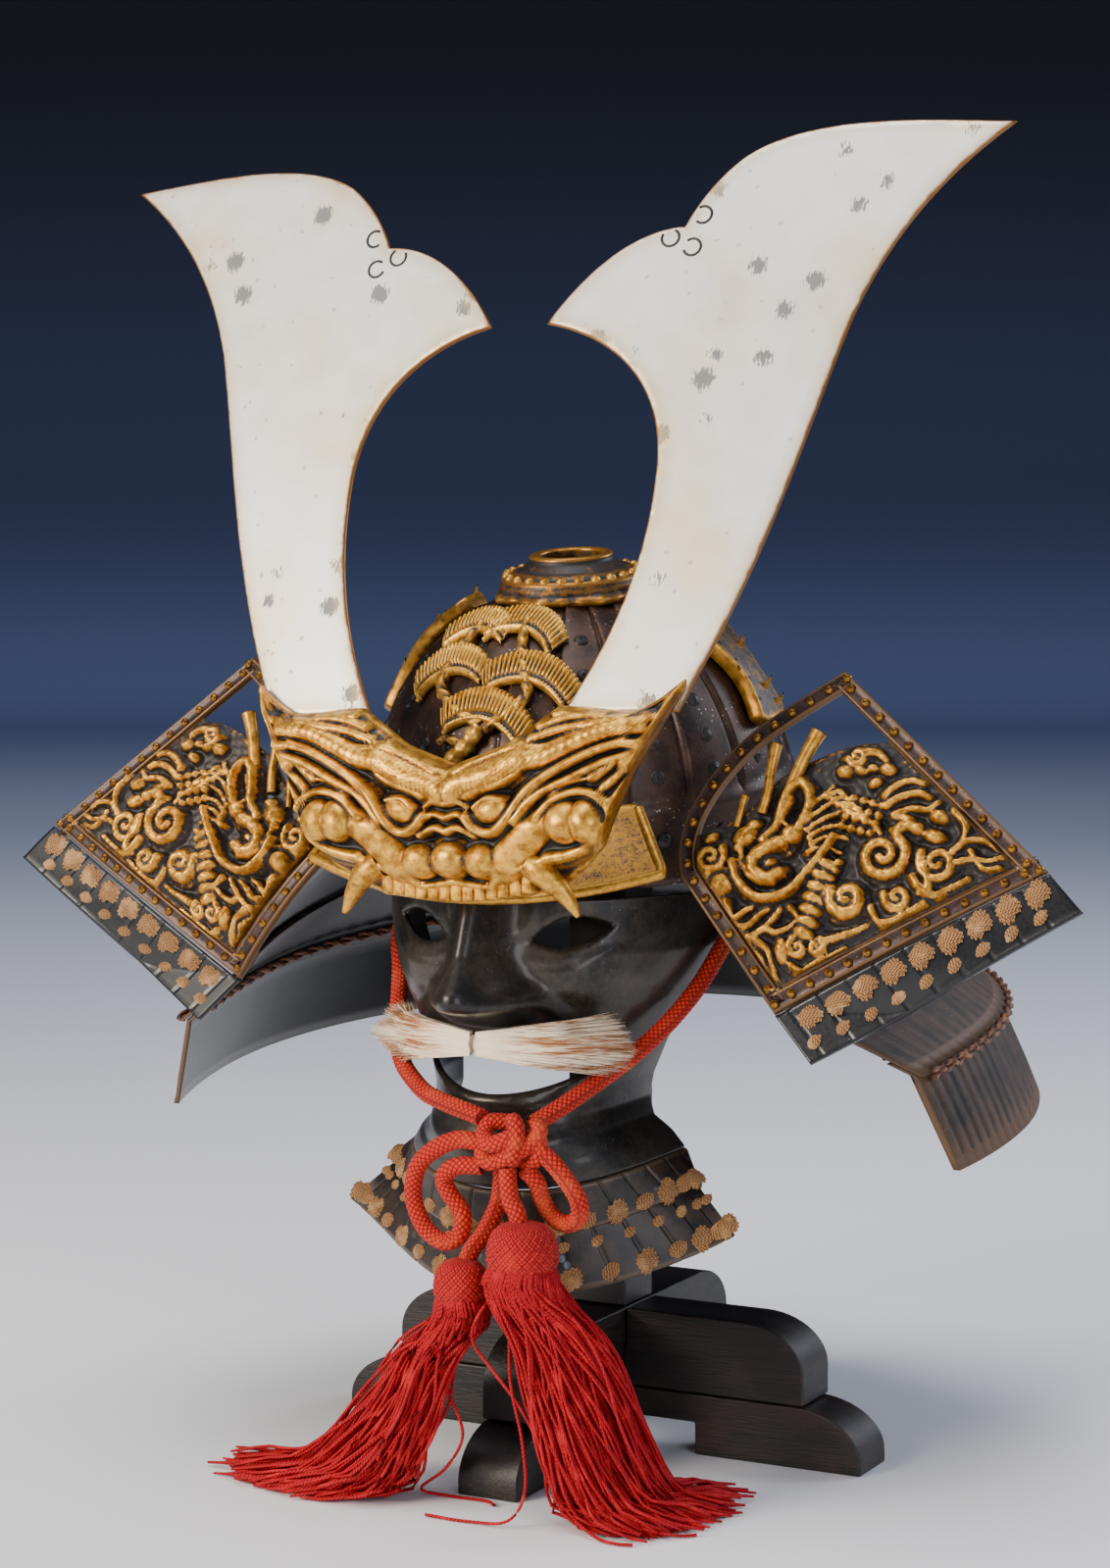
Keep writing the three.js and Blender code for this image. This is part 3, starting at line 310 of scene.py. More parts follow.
def grid_faces(rows: int, columns: int, wrap_rows: bool = False, wrap_columns: bool = False) -> Array:
    """Numbers the four-cornered faces of a grid of points.

    Args:
        rows: Points along the first axis.
        columns: Points along the second axis.
        wrap_rows: Whether the last row meets the first.
        wrap_columns: Whether the last column meets the first.

    Returns:
        Corner numbers, shape (n, 4).
    """
    i = np.arange(rows if wrap_rows else rows - 1)[:, None]
    j = np.arange(columns if wrap_columns else columns - 1)[None, :]
    after, beside = (i + 1) % rows, (j + 1) % columns
    corners = [i * columns + j, after * columns + j, after * columns + beside, i * columns + beside]
    return np.stack([np.broadcast_to(c, (i.size, j.size)) for c in corners], axis=-1).reshape(-1, 4)


def grid_uv(points: Array) -> Array:
    """Measures a grid of points along its two directions.

    Args:
        points: Shape (rows, columns, 3).

    Returns:
        Millimetres along the middle column and the middle row for each point, shape (n, 2).
    """
    rows, columns = points.shape[:2]
    down, beside = points[:, columns // 2], points[rows // 2]
    u = np.concatenate([[0], np.cumsum(np.linalg.norm(np.diff(down, axis=0), axis=1))])
    v = np.concatenate([[0], np.cumsum(np.linalg.norm(np.diff(beside, axis=0), axis=1))])
    return np.stack(np.meshgrid(u, v, indexing="ij"), axis=-1).reshape(-1, 2)


def sheet(points: Array, wrap_rows: bool = False, wrap_columns: bool = False) -> Skin:
    """Covers a grid of points with one layer.

    Args:
        points: Shape (rows, columns, 3).
        wrap_rows: Whether the last row meets the first.
        wrap_columns: Whether the last column meets the first.

    Returns:
        The skin.
    """
    rows, columns = points.shape[:2]
    faces = [grid_faces(rows, columns, wrap_rows, wrap_columns)]
    return Skin(points.reshape(-1, 3), faces, grid_uv(points))


def wall(front: Array, back: Array, wrap_rows: bool = False) -> Skin:
    """Makes a closed wall between two grids of points.

    Args:
        front: Shape (rows, columns, 3).
        back: The same shape.
        wrap_rows: Whether the last row meets the first.

    Returns:
        The skin, with its rims closed.
    """
    rows, columns = front.shape[:2]
    size = rows * columns
    number = np.arange(size).reshape(rows, columns)
    rims = [number[:, 0][::-1], number[:, -1]]
    if not wrap_rows:
        rims += [number[0], number[-1][::-1]]
    faces = [grid_faces(rows, columns, wrap_rows), grid_faces(rows, columns, wrap_rows)[:, ::-1] + size]
    for rim in rims:
        start, end = rim, np.roll(rim, -1)
        if not (wrap_rows and len(rim) == rows):
            start, end = start[:-1], end[:-1]
        faces.append(np.stack([start, end, end + size, start + size], axis=1))
    points = np.vstack([front.reshape(-1, 3), back.reshape(-1, 3)])
    return Skin(points, faces, np.vstack([grid_uv(front), grid_uv(back)]))


def tube(
    path: Array,
    radius: Array | float,
    sides: int = 12,
    shape: Optional[Callable[[Array, Array], Array]] = None,
    squash: float = 1.0,
) -> Skin:
    """Runs a round tube with closed ends along a path.

    Args:
        path: Centre points, shape (n, 3).
        radius: One radius, or one for each point.
        sides: Points round the tube.
        shape: Gives a factor on the radius from the length along and the angle round.
        squash: Factor on the second direction across the tube.

    Returns:
        The skin, whose second surface coordinate is the distance round it.
    """
    count = len(path)
    radii = np.broadcast_to(np.asarray(radius, float), (count,))
    steps = np.gradient(path, axis=0)
    directions = steps / np.linalg.norm(steps, axis=1, keepdims=True)
    side, other = across_lines(directions)
    angle = np.linspace(0, 2 * np.pi, sides, endpoint=False)
    along = np.concatenate([[0], np.cumsum(np.linalg.norm(np.diff(path, axis=0), axis=1))])
    factor = np.ones((count, sides)) if shape is None else shape(along[:, None], angle[None, :])
    out = (radii[:, None] * factor)[..., None]
    ring = (
        np.cos(angle)[None, :, None] * side[:, None]
        + squash * np.sin(angle)[None, :, None] * other[:, None]
    )
    points = path[:, None] + out * ring
    number = np.arange(count * sides).reshape(count, sides)
    ends = np.stack([number[0][::-1], number[-1]])
    faces = [grid_faces(count, sides, wrap_columns=True), ends]
    u, v = np.meshgrid(along, angle * float(radii.mean()), indexing="ij")
    return Skin(points.reshape(-1, 3), faces, np.stack([u, v], axis=-1).reshape(-1, 2))


def tubes(paths: Array, radii: Array, sides: int = 5) -> Skin:
    """Runs many thin tubes at once, each with open ends drawn to its last radius.

    Args:
        paths: Centre points, shape (tubes, points, 3).
        radii: Radius at each point, shape (tubes, points).
        sides: Points round a tube.

    Returns:
        One skin, whose first surface coordinate is the length along each tube.
    """
    count, length = paths.shape[:2]
    steps = np.gradient(paths, axis=1)
    directions = steps / (np.linalg.norm(steps, axis=2, keepdims=True) + 1e-9)
    reference = np.where(np.abs(directions[..., 2:3]) > 0.8, (1.0, 0.0, 0.0), (0.0, 0.0, 1.0))
    side = np.cross(directions, reference)
    side = side / (np.linalg.norm(side, axis=2, keepdims=True) + 1e-9)
    other = np.cross(directions, side)
    angle = np.linspace(0, 2 * np.pi, sides, endpoint=False)
    ring = (
        np.cos(angle)[None, None, :, None] * side[:, :, None]
        + np.sin(angle)[None, None, :, None] * other[:, :, None]
    )
    points = paths[:, :, None] + radii[:, :, None, None] * ring
    one = grid_faces(length, sides, wrap_columns=True)
    faces = (one[None] + (np.arange(count) * length * sides)[:, None, None]).reshape(-1, 4)
    gaps = np.linalg.norm(np.diff(paths, axis=1), axis=2)
    along = np.concatenate([np.zeros((count, 1)), np.cumsum(gaps, axis=1)], axis=1)
    u = np.repeat(along[:, :, None], sides, axis=2)
    v = np.broadcast_to(angle, u.shape) + np.arange(count)[:, None, None]
    return Skin(points.reshape(-1, 3), [faces], np.stack([u, v], axis=-1).reshape(-1, 2))


def lathe(profile: Array, segments: int, shape: Optional[Callable[[Array, Array], Array]] = None) -> Skin:
    """Turns a profile about the Z axis.

    Args:
        profile: Radius and height of each point, shape (n, 2).
        segments: Points round the axis.
        shape: Gives a factor on the radius from the angle and the radius.

    Returns:
        The skin.
    """
    angle = np.linspace(0, 2 * np.pi, segments, endpoint=False)[:, None]
    radius, height = profile[:, 0][None, :], profile[:, 1][None, :]
    out = radius * (1 if shape is None else shape(angle, radius))
    points = np.stack([out * np.cos(angle), out * np.sin(angle), height + 0 * angle], axis=-1)
    return sheet(points, wrap_rows=True)


def domes(centres: Array, outs: Array, radius: float, rise: float, sides: int = 12) -> Skin:
    """Sets round rivet heads on a surface.

    Each head is part of a squashed ball: its rim lies on the surface and its top stands rise above it.

    Args:
        centres: Shape (n, 3).
        outs: Unit directions off the surface, shape (n, 3).
        radius: Radius of a head.
        rise: Height of a head.
        sides: Points round a head.

    Returns:
        The skin of all heads.
    """
    side = np.cross(outs, (0.31, 0.17, 0.93))
    side = side / np.linalg.norm(side, axis=1, keepdims=True)
    other = np.cross(outs, side)
    slope = np.radians([0, 12, 35, 60, 84])
    reach, height = radius * np.cos(slope), rise * np.sin(slope)
    angle = np.linspace(0, 2 * np.pi, sides, endpoint=False)
    ring = np.cos(angle)[None, :, None] * side[:, None] + np.sin(angle)[None, :, None] * other[:, None]
    points = (
        centres[:, None, None]
        + reach[None, :, None, None] * ring[:, None]
        + height[None, :, None, None] * outs[:, None, None]
    )
    count, size = len(centres), len(slope) * sides
    one = grid_faces(len(slope), sides, wrap_columns=True)
    starts = (np.arange(count) * size)[:, None]
    faces = (one[None] + starts[:, :, None]).reshape(-1, 4)
    lids = starts + np.arange(size - sides, size)[None, :]
    flat = points.reshape(-1, 3)
    return Skin(flat, [faces, lids], np.zeros((len(flat), 2)))


@dataclass(frozen=True)
class Plate:
    """A flat field of small triangles inside an outline.

    Attributes:
        x: First coordinate of each point.
        y: Second coordinate of each point.
        edge: Distance of each point from the outline and the holes.
        triangles: Corner numbers, shape (n, 3).
    """

    x: Array
    y: Array
    edge: Array
    triangles: Array

    @staticmethod
    def inside(
        outline: Outline, spacing: float, holes: Sequence[Outline] = (), rounding: float = 0.0
    ) -> "Plate":
        """Fills an outline with a lattice of points, closer together along a rounded edge.

        Args:
            outline: Corners in order.
            spacing: Distance between points.
            holes: Outlines of what is cut out.
            rounding: Width of the edge that gets rings of points of its own.

        Returns:
            The plate.
        """
        loops = [dense(np.asarray(loop, float), spacing) for loop in (outline, *holes)]
        low, high = loops[0].min(axis=0), loops[0].max(axis=0)
        rows = np.arange(low[1], high[1], spacing * 0.87)
        lattice = []
        for index, row in enumerate(rows):
            xs = np.arange(low[0] + (index % 2) * spacing / 2, high[0], spacing)
            lattice.append(np.stack([xs, np.full(xs.shape, row)], axis=1))
        points = np.vstack(lattice)
        edge, within = depth_inside(points, loops)
        keep = within & (edge > (rounding * 1.15 if rounding else spacing * 0.45))
        extra = [points[keep]]
        for share in (0.12, 0.4, 0.85) if rounding else ():
            for loop in loops:
                ring = pulled_in(loop, share * rounding)
                away, inside = depth_inside(ring, loops)
                extra.append(ring[inside & (away > share * rounding * 0.8)])
        corners = np.vstack([*loops, *extra])
        edges, start = [], 0
        for loop in loops:
            numbers = np.arange(len(loop)) + start
            edges += list(zip(numbers.tolist(), np.roll(numbers, -1).tolist()))
            start += len(loop)
        found = delaunay_2d_cdt([Vector(p) for p in corners.tolist()], edges, [], 0, 1e-4)
        flat = np.array([tuple(p) for p in found[0]])
        triangles = np.array(found[2])
        middle = flat[triangles].mean(axis=1)
        triangles = triangles[depth_inside(middle, loops)[1]]
        used = np.unique(triangles)
        renumbered = np.full(len(flat), -1)
        renumbered[used] = np.arange(len(used))
        flat = flat[used]
        return Plate(flat[:, 0], flat[:, 1], depth_inside(flat, loops)[0], renumbered[triangles])

    def solid(self, place: Callable[[Array], Array], front: Array, back: Array) -> Skin:
        """Makes a closed body of the plate.

        Args:
            place: Takes points (x, y, lift) to their places.
            front: Lift of the front at each point.
            back: Lift of the back at each point.

        Returns:
            The skin, front first.
        """
        size = len(self.x)
        faces = [self.triangles, self.triangles[:, ::-1] + size]
        pairs = np.vstack([self.triangles[:, [a, b]] for a, b in ((0, 1), (1, 2), (2, 0))])
        key = pairs[:, 0].astype(np.int64) * size + pairs[:, 1]
        opposite = pairs[:, 1].astype(np.int64) * size + pairs[:, 0]
        rim = pairs[~np.isin(key, opposite)]
        faces.append(np.stack([rim[:, 1], rim[:, 0], rim[:, 0] + size, rim[:, 1] + size], axis=1))
        both = [np.stack([self.x, self.y, lift + 0 * self.x], axis=1) for lift in (front, back)]
        uv = np.stack([self.x, self.y], axis=1)
        return Skin(np.vstack([place(layer) for layer in both]), faces, np.vstack([uv, uv]))


def dense(loop: Array, spacing: float) -> Array:
    """Adds points to a closed outline so that none are further apart than a spacing.

    Args:
        loop: Corners, shape (n, 2).
        spacing: Largest distance wanted.

    Returns:
        The corners with points between them.
    """
    pieces = []
    for start, end in zip(loop, np.roll(loop, -1, axis=0)):
        steps = max(int(np.ceil(np.linalg.norm(end - start) / spacing)), 1)
        share = np.arange(steps)[:, None] / steps
        pieces.append(start + (end - start) * share)
    return np.vstack(pieces)


def pulled_in(loop: Array, distance: float) -> Array:
    """Moves each point of a closed outline square to its neighbours, to the left of its direction.

    Args:
        loop: Points, shape (n, 2).
        distance: How far.

    Returns:
        The moved points.
    """
    along = np.roll(loop, -1, axis=0) - np.roll(loop, 1, axis=0)
    along = along / (np.linalg.norm(along, axis=1, keepdims=True) + 1e-9)
    area = np.sum(loop[:, 0] * np.roll(loop[:, 1], -1) - loop[:, 1] * np.roll(loop[:, 0], -1))
    normal = np.stack([-along[:, 1], along[:, 0]], axis=1) * np.sign(area)
    return loop + normal * distance


def depth_inside(points: Array, loops: Sequence[Array]) -> tuple[Array, Array]:
    """Measures how far points lie from outlines, and whether they lie inside the first and no other.

    Args:
        points: Shape (n, 2).
        loops: Closed outlines, the outer one first.

    Returns:
        Distances, and true where a point is in the material.
    """
    x, y = points[:, 0], points[:, 1]
    distance = np.full(len(points), 1e9)
    crossings = np.zeros(len(points), int)
    for loop in loops:
        closed = np.vstack([loop, loop[:1]])
        distance = np.minimum(distance, distance_to_line(x, y, closed)[0])
        for (ax, ay), (bx, by) in zip(closed, closed[1:]):
            spans = (ay > y) != (by > y)
            if spans.any() and ay != by:
                crossings += spans & (x < (bx - ax) * (y - ay) / (by - ay) + ax)
    return distance, crossings % 2 == 1


def rounded_edge(edge: Array, radius: float) -> Array:
    """Gives how far a surface drops towards a rounded edge: a quarter circle of the radius.

    Args:
        edge: Distance from the edge.
        radius: Radius of the rounding.

    Returns:
        The drop at each place, 0 further in than the radius.
    """
    reach = np.clip(radius - edge, 0, radius)
    return radius - np.sqrt(np.maximum(radius**2 - reach**2, 0))


def wear_of(points: Array, faces: Sequence[Array], normals: Array, steps: int) -> Array:
    """Finds ridges and hollows: how far each point stands out from the average of its surroundings.

    Args:
        points: Shape (n, 3).
        faces: Arrays of corner numbers.
        normals: Unit directions outwards, shape (n, 3).
        steps: How many times neighbours are averaged, which sets the size of the surroundings.

    Returns:
        Millimetres above (more than 0) or below the surroundings.
    """
    pairs = [
        group[:, [k, (k + 1) % group.shape[1]]]
        for group in faces
        if group.shape[1] <= 4
        for k in range(group.shape[1])
    ]
    start, end = np.vstack(pairs).T
    start, end = np.concatenate([start, end]), np.concatenate([end, start])
    degree = np.maximum(np.bincount(start, minlength=len(points)), 1)[:, None]
    calm = points
    for _ in range(steps):
        sums = np.stack([np.bincount(start, calm[end, axis], len(points)) for axis in range(3)], axis=1)
        calm = sums / degree
    return np.einsum("ij,ij->i", points - calm, normals)


@dataclass(frozen=True)
class Look:
    """How a piece is shaded and what it stands for.

    Attributes:
        material: The material.
        slot: Name of the record's material slot; not used.
        replaces: CAD nodes that the piece stands for.
        wear_steps: Surroundings used for the wear attribute, or 0 for none.
    """

    material: bpy.types.Material
    slot: str
    replaces: tuple[str, ...] = ()
    wear_steps: int = 0


def piece(name: str, skin: Skin, look: Look) -> bpy.types.Object:
    """Makes a Blender object of a skin and lets it ride on the CAD body.

    Args:
        name: Name of the object.
        skin: Points and faces in millimetres.
        look: Material and other settings.

    Returns:
        The object, whose own place is the origin.
    """
    skin = skin.outward()
    points = (skin.points + CENTRING) * MM
    mesh = bpy.data.meshes.new(name)
    faces = [row for group in skin.faces for row in group.tolist()]
    mesh.from_pydata(points.tolist(), [], faces)
    layer = mesh.uv_layers.new(name="surface")
    corners = np.concatenate([group.reshape(-1) for group in skin.faces])
    layer.data.foreach_set("uv", (skin.uv[corners] * MM).astype(np.float32).reshape(-1))
    mesh.polygons.foreach_set("use_smooth", [True] * len(mesh.polygons))
    mesh.update()
    if look.wear_steps:
        normals = np.empty(len(points) * 3, np.float32)
        mesh.vertices.foreach_get("normal", normals)
        values = wear_of(skin.points, skin.faces, normals.reshape(-1, 3), look.wear_steps)
        values = values if skin.tone is None else values + skin.tone
        mesh.attributes.new("wear", "FLOAT", "POINT").data.foreach_set("value", values.astype(np.float32))
    thing = bpy.data.objects.new(name, mesh)
    bpy.context.scene.collection.objects.link(thing)
    mesh.materials.append(look.material)
    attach(thing, CAD_BODY)
    if look.replaces:
        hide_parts(*look.replaces)
    return thing


# ---------------------------------------------------------------------------- materials


class Shading:
    """A node material being built on one principled shader."""

    def __init__(self, name: str) -> None:
        """Starts an empty material.

        Args:
            name: What the material really is and how it was made.
        """
        self.material = bpy.data.materials.new(name)
        self.material.use_nodes = True
        self.tree = self.material.node_tree
        self.tree.nodes.clear()
        self.shader = self.add("ShaderNodeBsdfPrincipled", {})
        self.add("ShaderNodeOutputMaterial", {"Surface": self.shader.outputs["BSDF"]})
        self.objects = self.add("ShaderNodeTexCoord", {}).outputs["Object"]
        self.surface = self.add("ShaderNodeUVMap", {}, uv_map="surface").outputs["UV"]

    def add(self, kind: str, inputs: dict, **settings: object) -> bpy.types.Node:
        """Adds one node.

        Args:
            kind: Node type.
            inputs: Values or sockets for its inputs, by name or number.
            **settings: The node's own properties.

        Returns:
            The node.
        """
        node = self.tree.nodes.new(kind)
        for key, value in settings.items():
            setattr(node, key, value)
        for key, value in inputs.items():
            if isinstance(value, bpy.types.NodeSocket):
                self.tree.links.new(value, node.inputs[key])
            else:
                node.inputs[key].default_value = value
        return node

    def link(self, **inputs: object) -> None:
        """Joins values or sockets to the shader.

        Args:
            **inputs: Shader inputs by name, with _ for a space.
        """
        for key, value in inputs.items():
            socket = self.shader.inputs[key.replace("_", " ")]
            if isinstance(value, bpy.types.NodeSocket):
                self.tree.links.new(value, socket)
            else:
                socket.default_value = value

    def stretched(
        self, source: bpy.types.NodeSocket, stretch: tuple[float, float, float]
    ) -> bpy.types.NodeSocket:
        """Scales coordinates along each axis.

        Args:
            source: Coordinates.
            stretch: Three factors.

        Returns:
            The scaled coordinates.
        """
        return self.add("ShaderNodeMapping", {"Vector": source, "Scale": stretch}).outputs["Vector"]

    def noise(
        self, size: float, detail: float = 4, roughness: float = 0.6,
        source: Optional[bpy.types.NodeSocket] = None
    ) -> bpy.types.NodeSocket:
        """Makes cloudy noise.

        Args:
            size: Size of its patches in millimetres.
            detail: Number of finer layers.
            roughness: Strength of the finer layers.
            source: Coordinates, the object's own when left out.

        Returns:
            Values about 0.5.
        """
        inputs = {
            "Vector": source or self.objects, "Scale": 1 / (size * MM), "Detail": detail,
            "Roughness": roughness
        }
        return self.add("ShaderNodeTexNoise", inputs).outputs["Fac"]

    def cells(self, size: float, source: Optional[bpy.types.NodeSocket] = None) -> bpy.types.NodeSocket:
        """Measures the distance to the middle of scattered cells.

        Args:
            size: Distance between cells in millimetres.
            source: Coordinates, the object's own when left out.

        Returns:
            The distance, as a share of the cell size.
        """
        inputs = {"Vector": source or self.objects, "Scale": 1 / (size * MM)}
        return self.add("ShaderNodeTexVoronoi", inputs).outputs["Distance"]

    def attribute(self, name: str) -> bpy.types.NodeSocket:
        """Reads a number stored on the mesh.

        Args:
            name: The attribute.

        Returns:
            Its value.
        """
        return self.add("ShaderNodeAttribute", {}, attribute_name=name).outputs["Fac"]

    def maths(self, operation: str, first: object, second: object = 0.0) -> bpy.types.NodeSocket:
        """Does arithmetic on values.

        Args:
            operation: Name of the operation.
            first: Value or socket.
            second: Value or socket.

        Returns:
            The result.
        """
        return self.add("ShaderNodeMath", {0: first, 1: second}, operation=operation).outputs[0]

    def step(self, value: bpy.types.NodeSocket, low: float, high: float) -> bpy.types.NodeSocket:
        """Maps a value smoothly from 0 at low to 1 at high.

        Args:
            value: What to map.
            low: Where the step starts.
            high: Where it ends.

        Returns:
            The mapped value.
        """
        inputs = {"Value": value, "From Min": low, "From Max": high}
        return self.add("ShaderNodeMapRange", inputs, interpolation_type="SMOOTHSTEP").outputs["Result"]

    def blend(self, share: bpy.types.NodeSocket, first: object, second: object) -> bpy.types.NodeSocket:
        """Mixes two colours.

        Args:
            share: How much of the second.
            first: Hex colour or socket.
            second: Hex colour or socket.

        Returns:
            The mixed colour.
        """
        colours = [linear(c) if isinstance(c, str) else c for c in (first, second)]
        node = self.add("ShaderNodeMix", {"Factor": share}, data_type="RGBA")
        for number, colour in zip((6, 7), colours):
            if isinstance(colour, bpy.types.NodeSocket):
                self.tree.links.new(colour, node.inputs[number])
            else:
                node.inputs[number].default_value = colour
        return node.outputs[2]

    def bump(self, height: bpy.types.NodeSocket, depth: float, strength: float = 1.0) -> None:
        """Adds a bump over what bump is there.

        Args:
            height: Values from 0 to 1.
            depth: How deep 1 stands over 0, in millimetres.
            strength: Share of the effect.
        """
        node = self.add("ShaderNodeBump", {"Height": height, "Distance": depth * MM, "Strength": strength})
        socket = self.shader.inputs["Normal"]
        if socket.is_linked:
            self.tree.links.new(socket.links[0].from_socket, node.inputs["Normal"])
        self.tree.links.new(node.outputs["Normal"], socket)


@dataclass(frozen=True)
class DryBrushed:
    """Metallic paint brushed over a dark ground, so that ridges are bright and hollows stay dark; a painted
    highlight also makes the gold paler on the highest ridges.
    """

    name: str
    ground: str
    shade: str
    bright: str
    low: float  # millimetres of wear where the paint starts
    high: float  # and where it covers
    grain: float = 0.9
    metallic: float = 0.85
    speckle: float = 0.5  # share of the noise in the cover

    def build(self) -> bpy.types.Material:
        """Makes the material.

        Returns:
            The material, which reads the mesh attribute "wear".
        """
        shading = Shading(self.name)
        wear = shading.attribute("wear")
        patch = shading.noise(self.grain * 5, 5, 0.65)
        dust = shading.noise(self.grain, 3, 0.7)
        uneven = shading.maths("MULTIPLY", shading.maths("SUBTRACT", dust, 0.5), self.speckle * 2)
        uneven = shading.maths(
            "ADD", uneven, shading.maths("MULTIPLY", shading.maths("SUBTRACT", patch, 0.5), 1.3)
        )
        covered = shading.step(shading.maths("ADD", wear, uneven), self.low, self.high)
        # painted highlight: the brushed gold is paler on the highest ridges, over the real cover of the brush
        gold = shading.blend(
            shading.step(wear, self.high * 0.5, self.high * 2.5 + 0.2), self.shade, self.bright
        )
        gold = shading.blend(shading.step(patch, 0.35, 0.7), gold, self.shade)
        shading.link(Base_Color=shading.blend(covered, self.ground, gold))
        shading.link(Metallic=shading.maths("MULTIPLY", covered, self.metallic))
        rough = shading.maths("MULTIPLY", dust, 0.25)
        shading.link(Roughness=shading.maths(
            "ADD", shading.maths("MULTIPLY", covered, -0.12), shading.maths("ADD", rough, 0.38)
        ))
        shading.bump(dust, 0.12, 0.55)
        return shading.material


@dataclass(frozen=True)
class Mottled:
    """A surface of two cloudy tones with grain and a few specks."""

    name: str
    dark: str
    light: str
    patch: float  # size of the clouds in millimetres
    grain: float  # size of the grain in millimetres
    roughness: float
    metallic: float = 0.0
    relief: float = 0.05
    speck: str = ""
    speck_share: float = 0.12
    speck_size: float = 2.0
    edge: str = ""  # colour that shows where ridges are worn
    stretch: tuple[float, float, float] = (1, 1, 1)
    coat: float = 0.0

    def build(self) -> bpy.types.Material:
        """Makes the material.

        Returns:
            The material.
        """
        shading = Shading(self.name)
        where = shading.stretched(shading.objects, self.stretch)
        cloud = shading.noise(self.patch, 5, 0.6, where)
        fine = shading.noise(self.grain, 3, 0.65, where)
        tone = shading.maths(
            "ADD", shading.maths("MULTIPLY", cloud, 0.7), shading.maths("MULTIPLY", fine, 0.3)
        )
        colour = shading.blend(shading.step(tone, 0.36, 0.64), self.dark, self.light)
        if self.speck:
            spot = shading.cells(self.speck_size)
            where_specks = shading.step(shading.noise(self.speck_size * 9, 2), 0.45, 0.62)
            spots = shading.maths(
                "MULTIPLY", shading.step(spot, self.speck_share + 0.06, self.speck_share), where_specks
            )
            colour = shading.blend(spots, colour, self.speck)
        if self.edge:
            worn = shading.step(
                shading.maths("ADD", shading.attribute("wear"), shading.maths("MULTIPLY", fine, 0.2)), 0.16,
                0.5
            )
            colour = shading.blend(worn, colour, self.edge)
        shading.link(Base_Color=colour, Metallic=self.metallic, Coat_Weight=self.coat)
        shading.link(Roughness=shading.maths(
            "ADD", shading.maths("MULTIPLY", fine, 0.24), self.roughness - 0.12
        ))
        shading.bump(fine, self.relief, 0.7)
        return shading.material


@dataclass(frozen=True)
class Silvered:
    """Silver-washed sheet with scratched grey spots and golden tarnish along its edges."""

    name: str = "silver-washed brass sheet with tarnished edges"
    silver: str = "faf8f1"
    warm: str = "f4e6c6"
    spot: str = "7f7e7a"
    glow: str = "d9b87c"
    tarnish: str = "8a5a22"

    def build(self) -> bpy.types.Material:
        """Makes the material.

        Returns:
            The material, which reads the mesh attribute "edge" in millimetres from the outline.
        """
        shading = Shading(self.name)
        cloud = shading.noise(55, 3, 0.5)
        colour = shading.blend(shading.step(cloud, 0.42, 0.68), self.silver, self.warm)
        scratch = shading.noise(2.2, 2, 0.5, shading.stretched(shading.objects, (3.2, 1.0, 0.8)))
        spot = shading.step(
            shading.maths("ADD", shading.cells(21), shading.maths("MULTIPLY", scratch, 0.34)), 0.39, 0.33
        )
        tiny = shading.step(
            shading.maths("ADD", shading.cells(8), shading.maths("MULTIPLY", scratch, 0.3)), 0.27, 0.22
        )
        spots = shading.maths("MAXIMUM", spot, shading.maths("MULTIPLY", tiny, 0.6))
        colour = shading.blend(spots, colour, self.spot)
        ragged = shading.maths(
            "ADD", shading.attribute("edge"), shading.maths("MULTIPLY", shading.noise(6, 4), -1.4)
        )
        glow = shading.maths("MULTIPLY", shading.step(ragged, 7.0, 0.0), 0.45)
        colour = shading.blend(glow, colour, self.glow)
        rim = shading.step(ragged, 0.7, -0.4)
        colour = shading.blend(rim, colour, self.tarnish)
        shading.link(Base_Color=colour, Metallic=0.5)
        rough = shading.maths("ADD", shading.maths("MULTIPLY", shading.noise(14, 5), 0.16), 0.28)
        shading.link(Roughness=shading.maths("ADD", rough, shading.maths("MULTIPLY", spots, 0.2)))
        brushed = shading.noise(0.7, 2, 0.5, shading.stretched(shading.objects, (1, 1, 0.05)))
        shading.bump(brushed, 0.02, 0.4)
        shading.bump(cloud, 0.6, 0.3)
        return shading.material


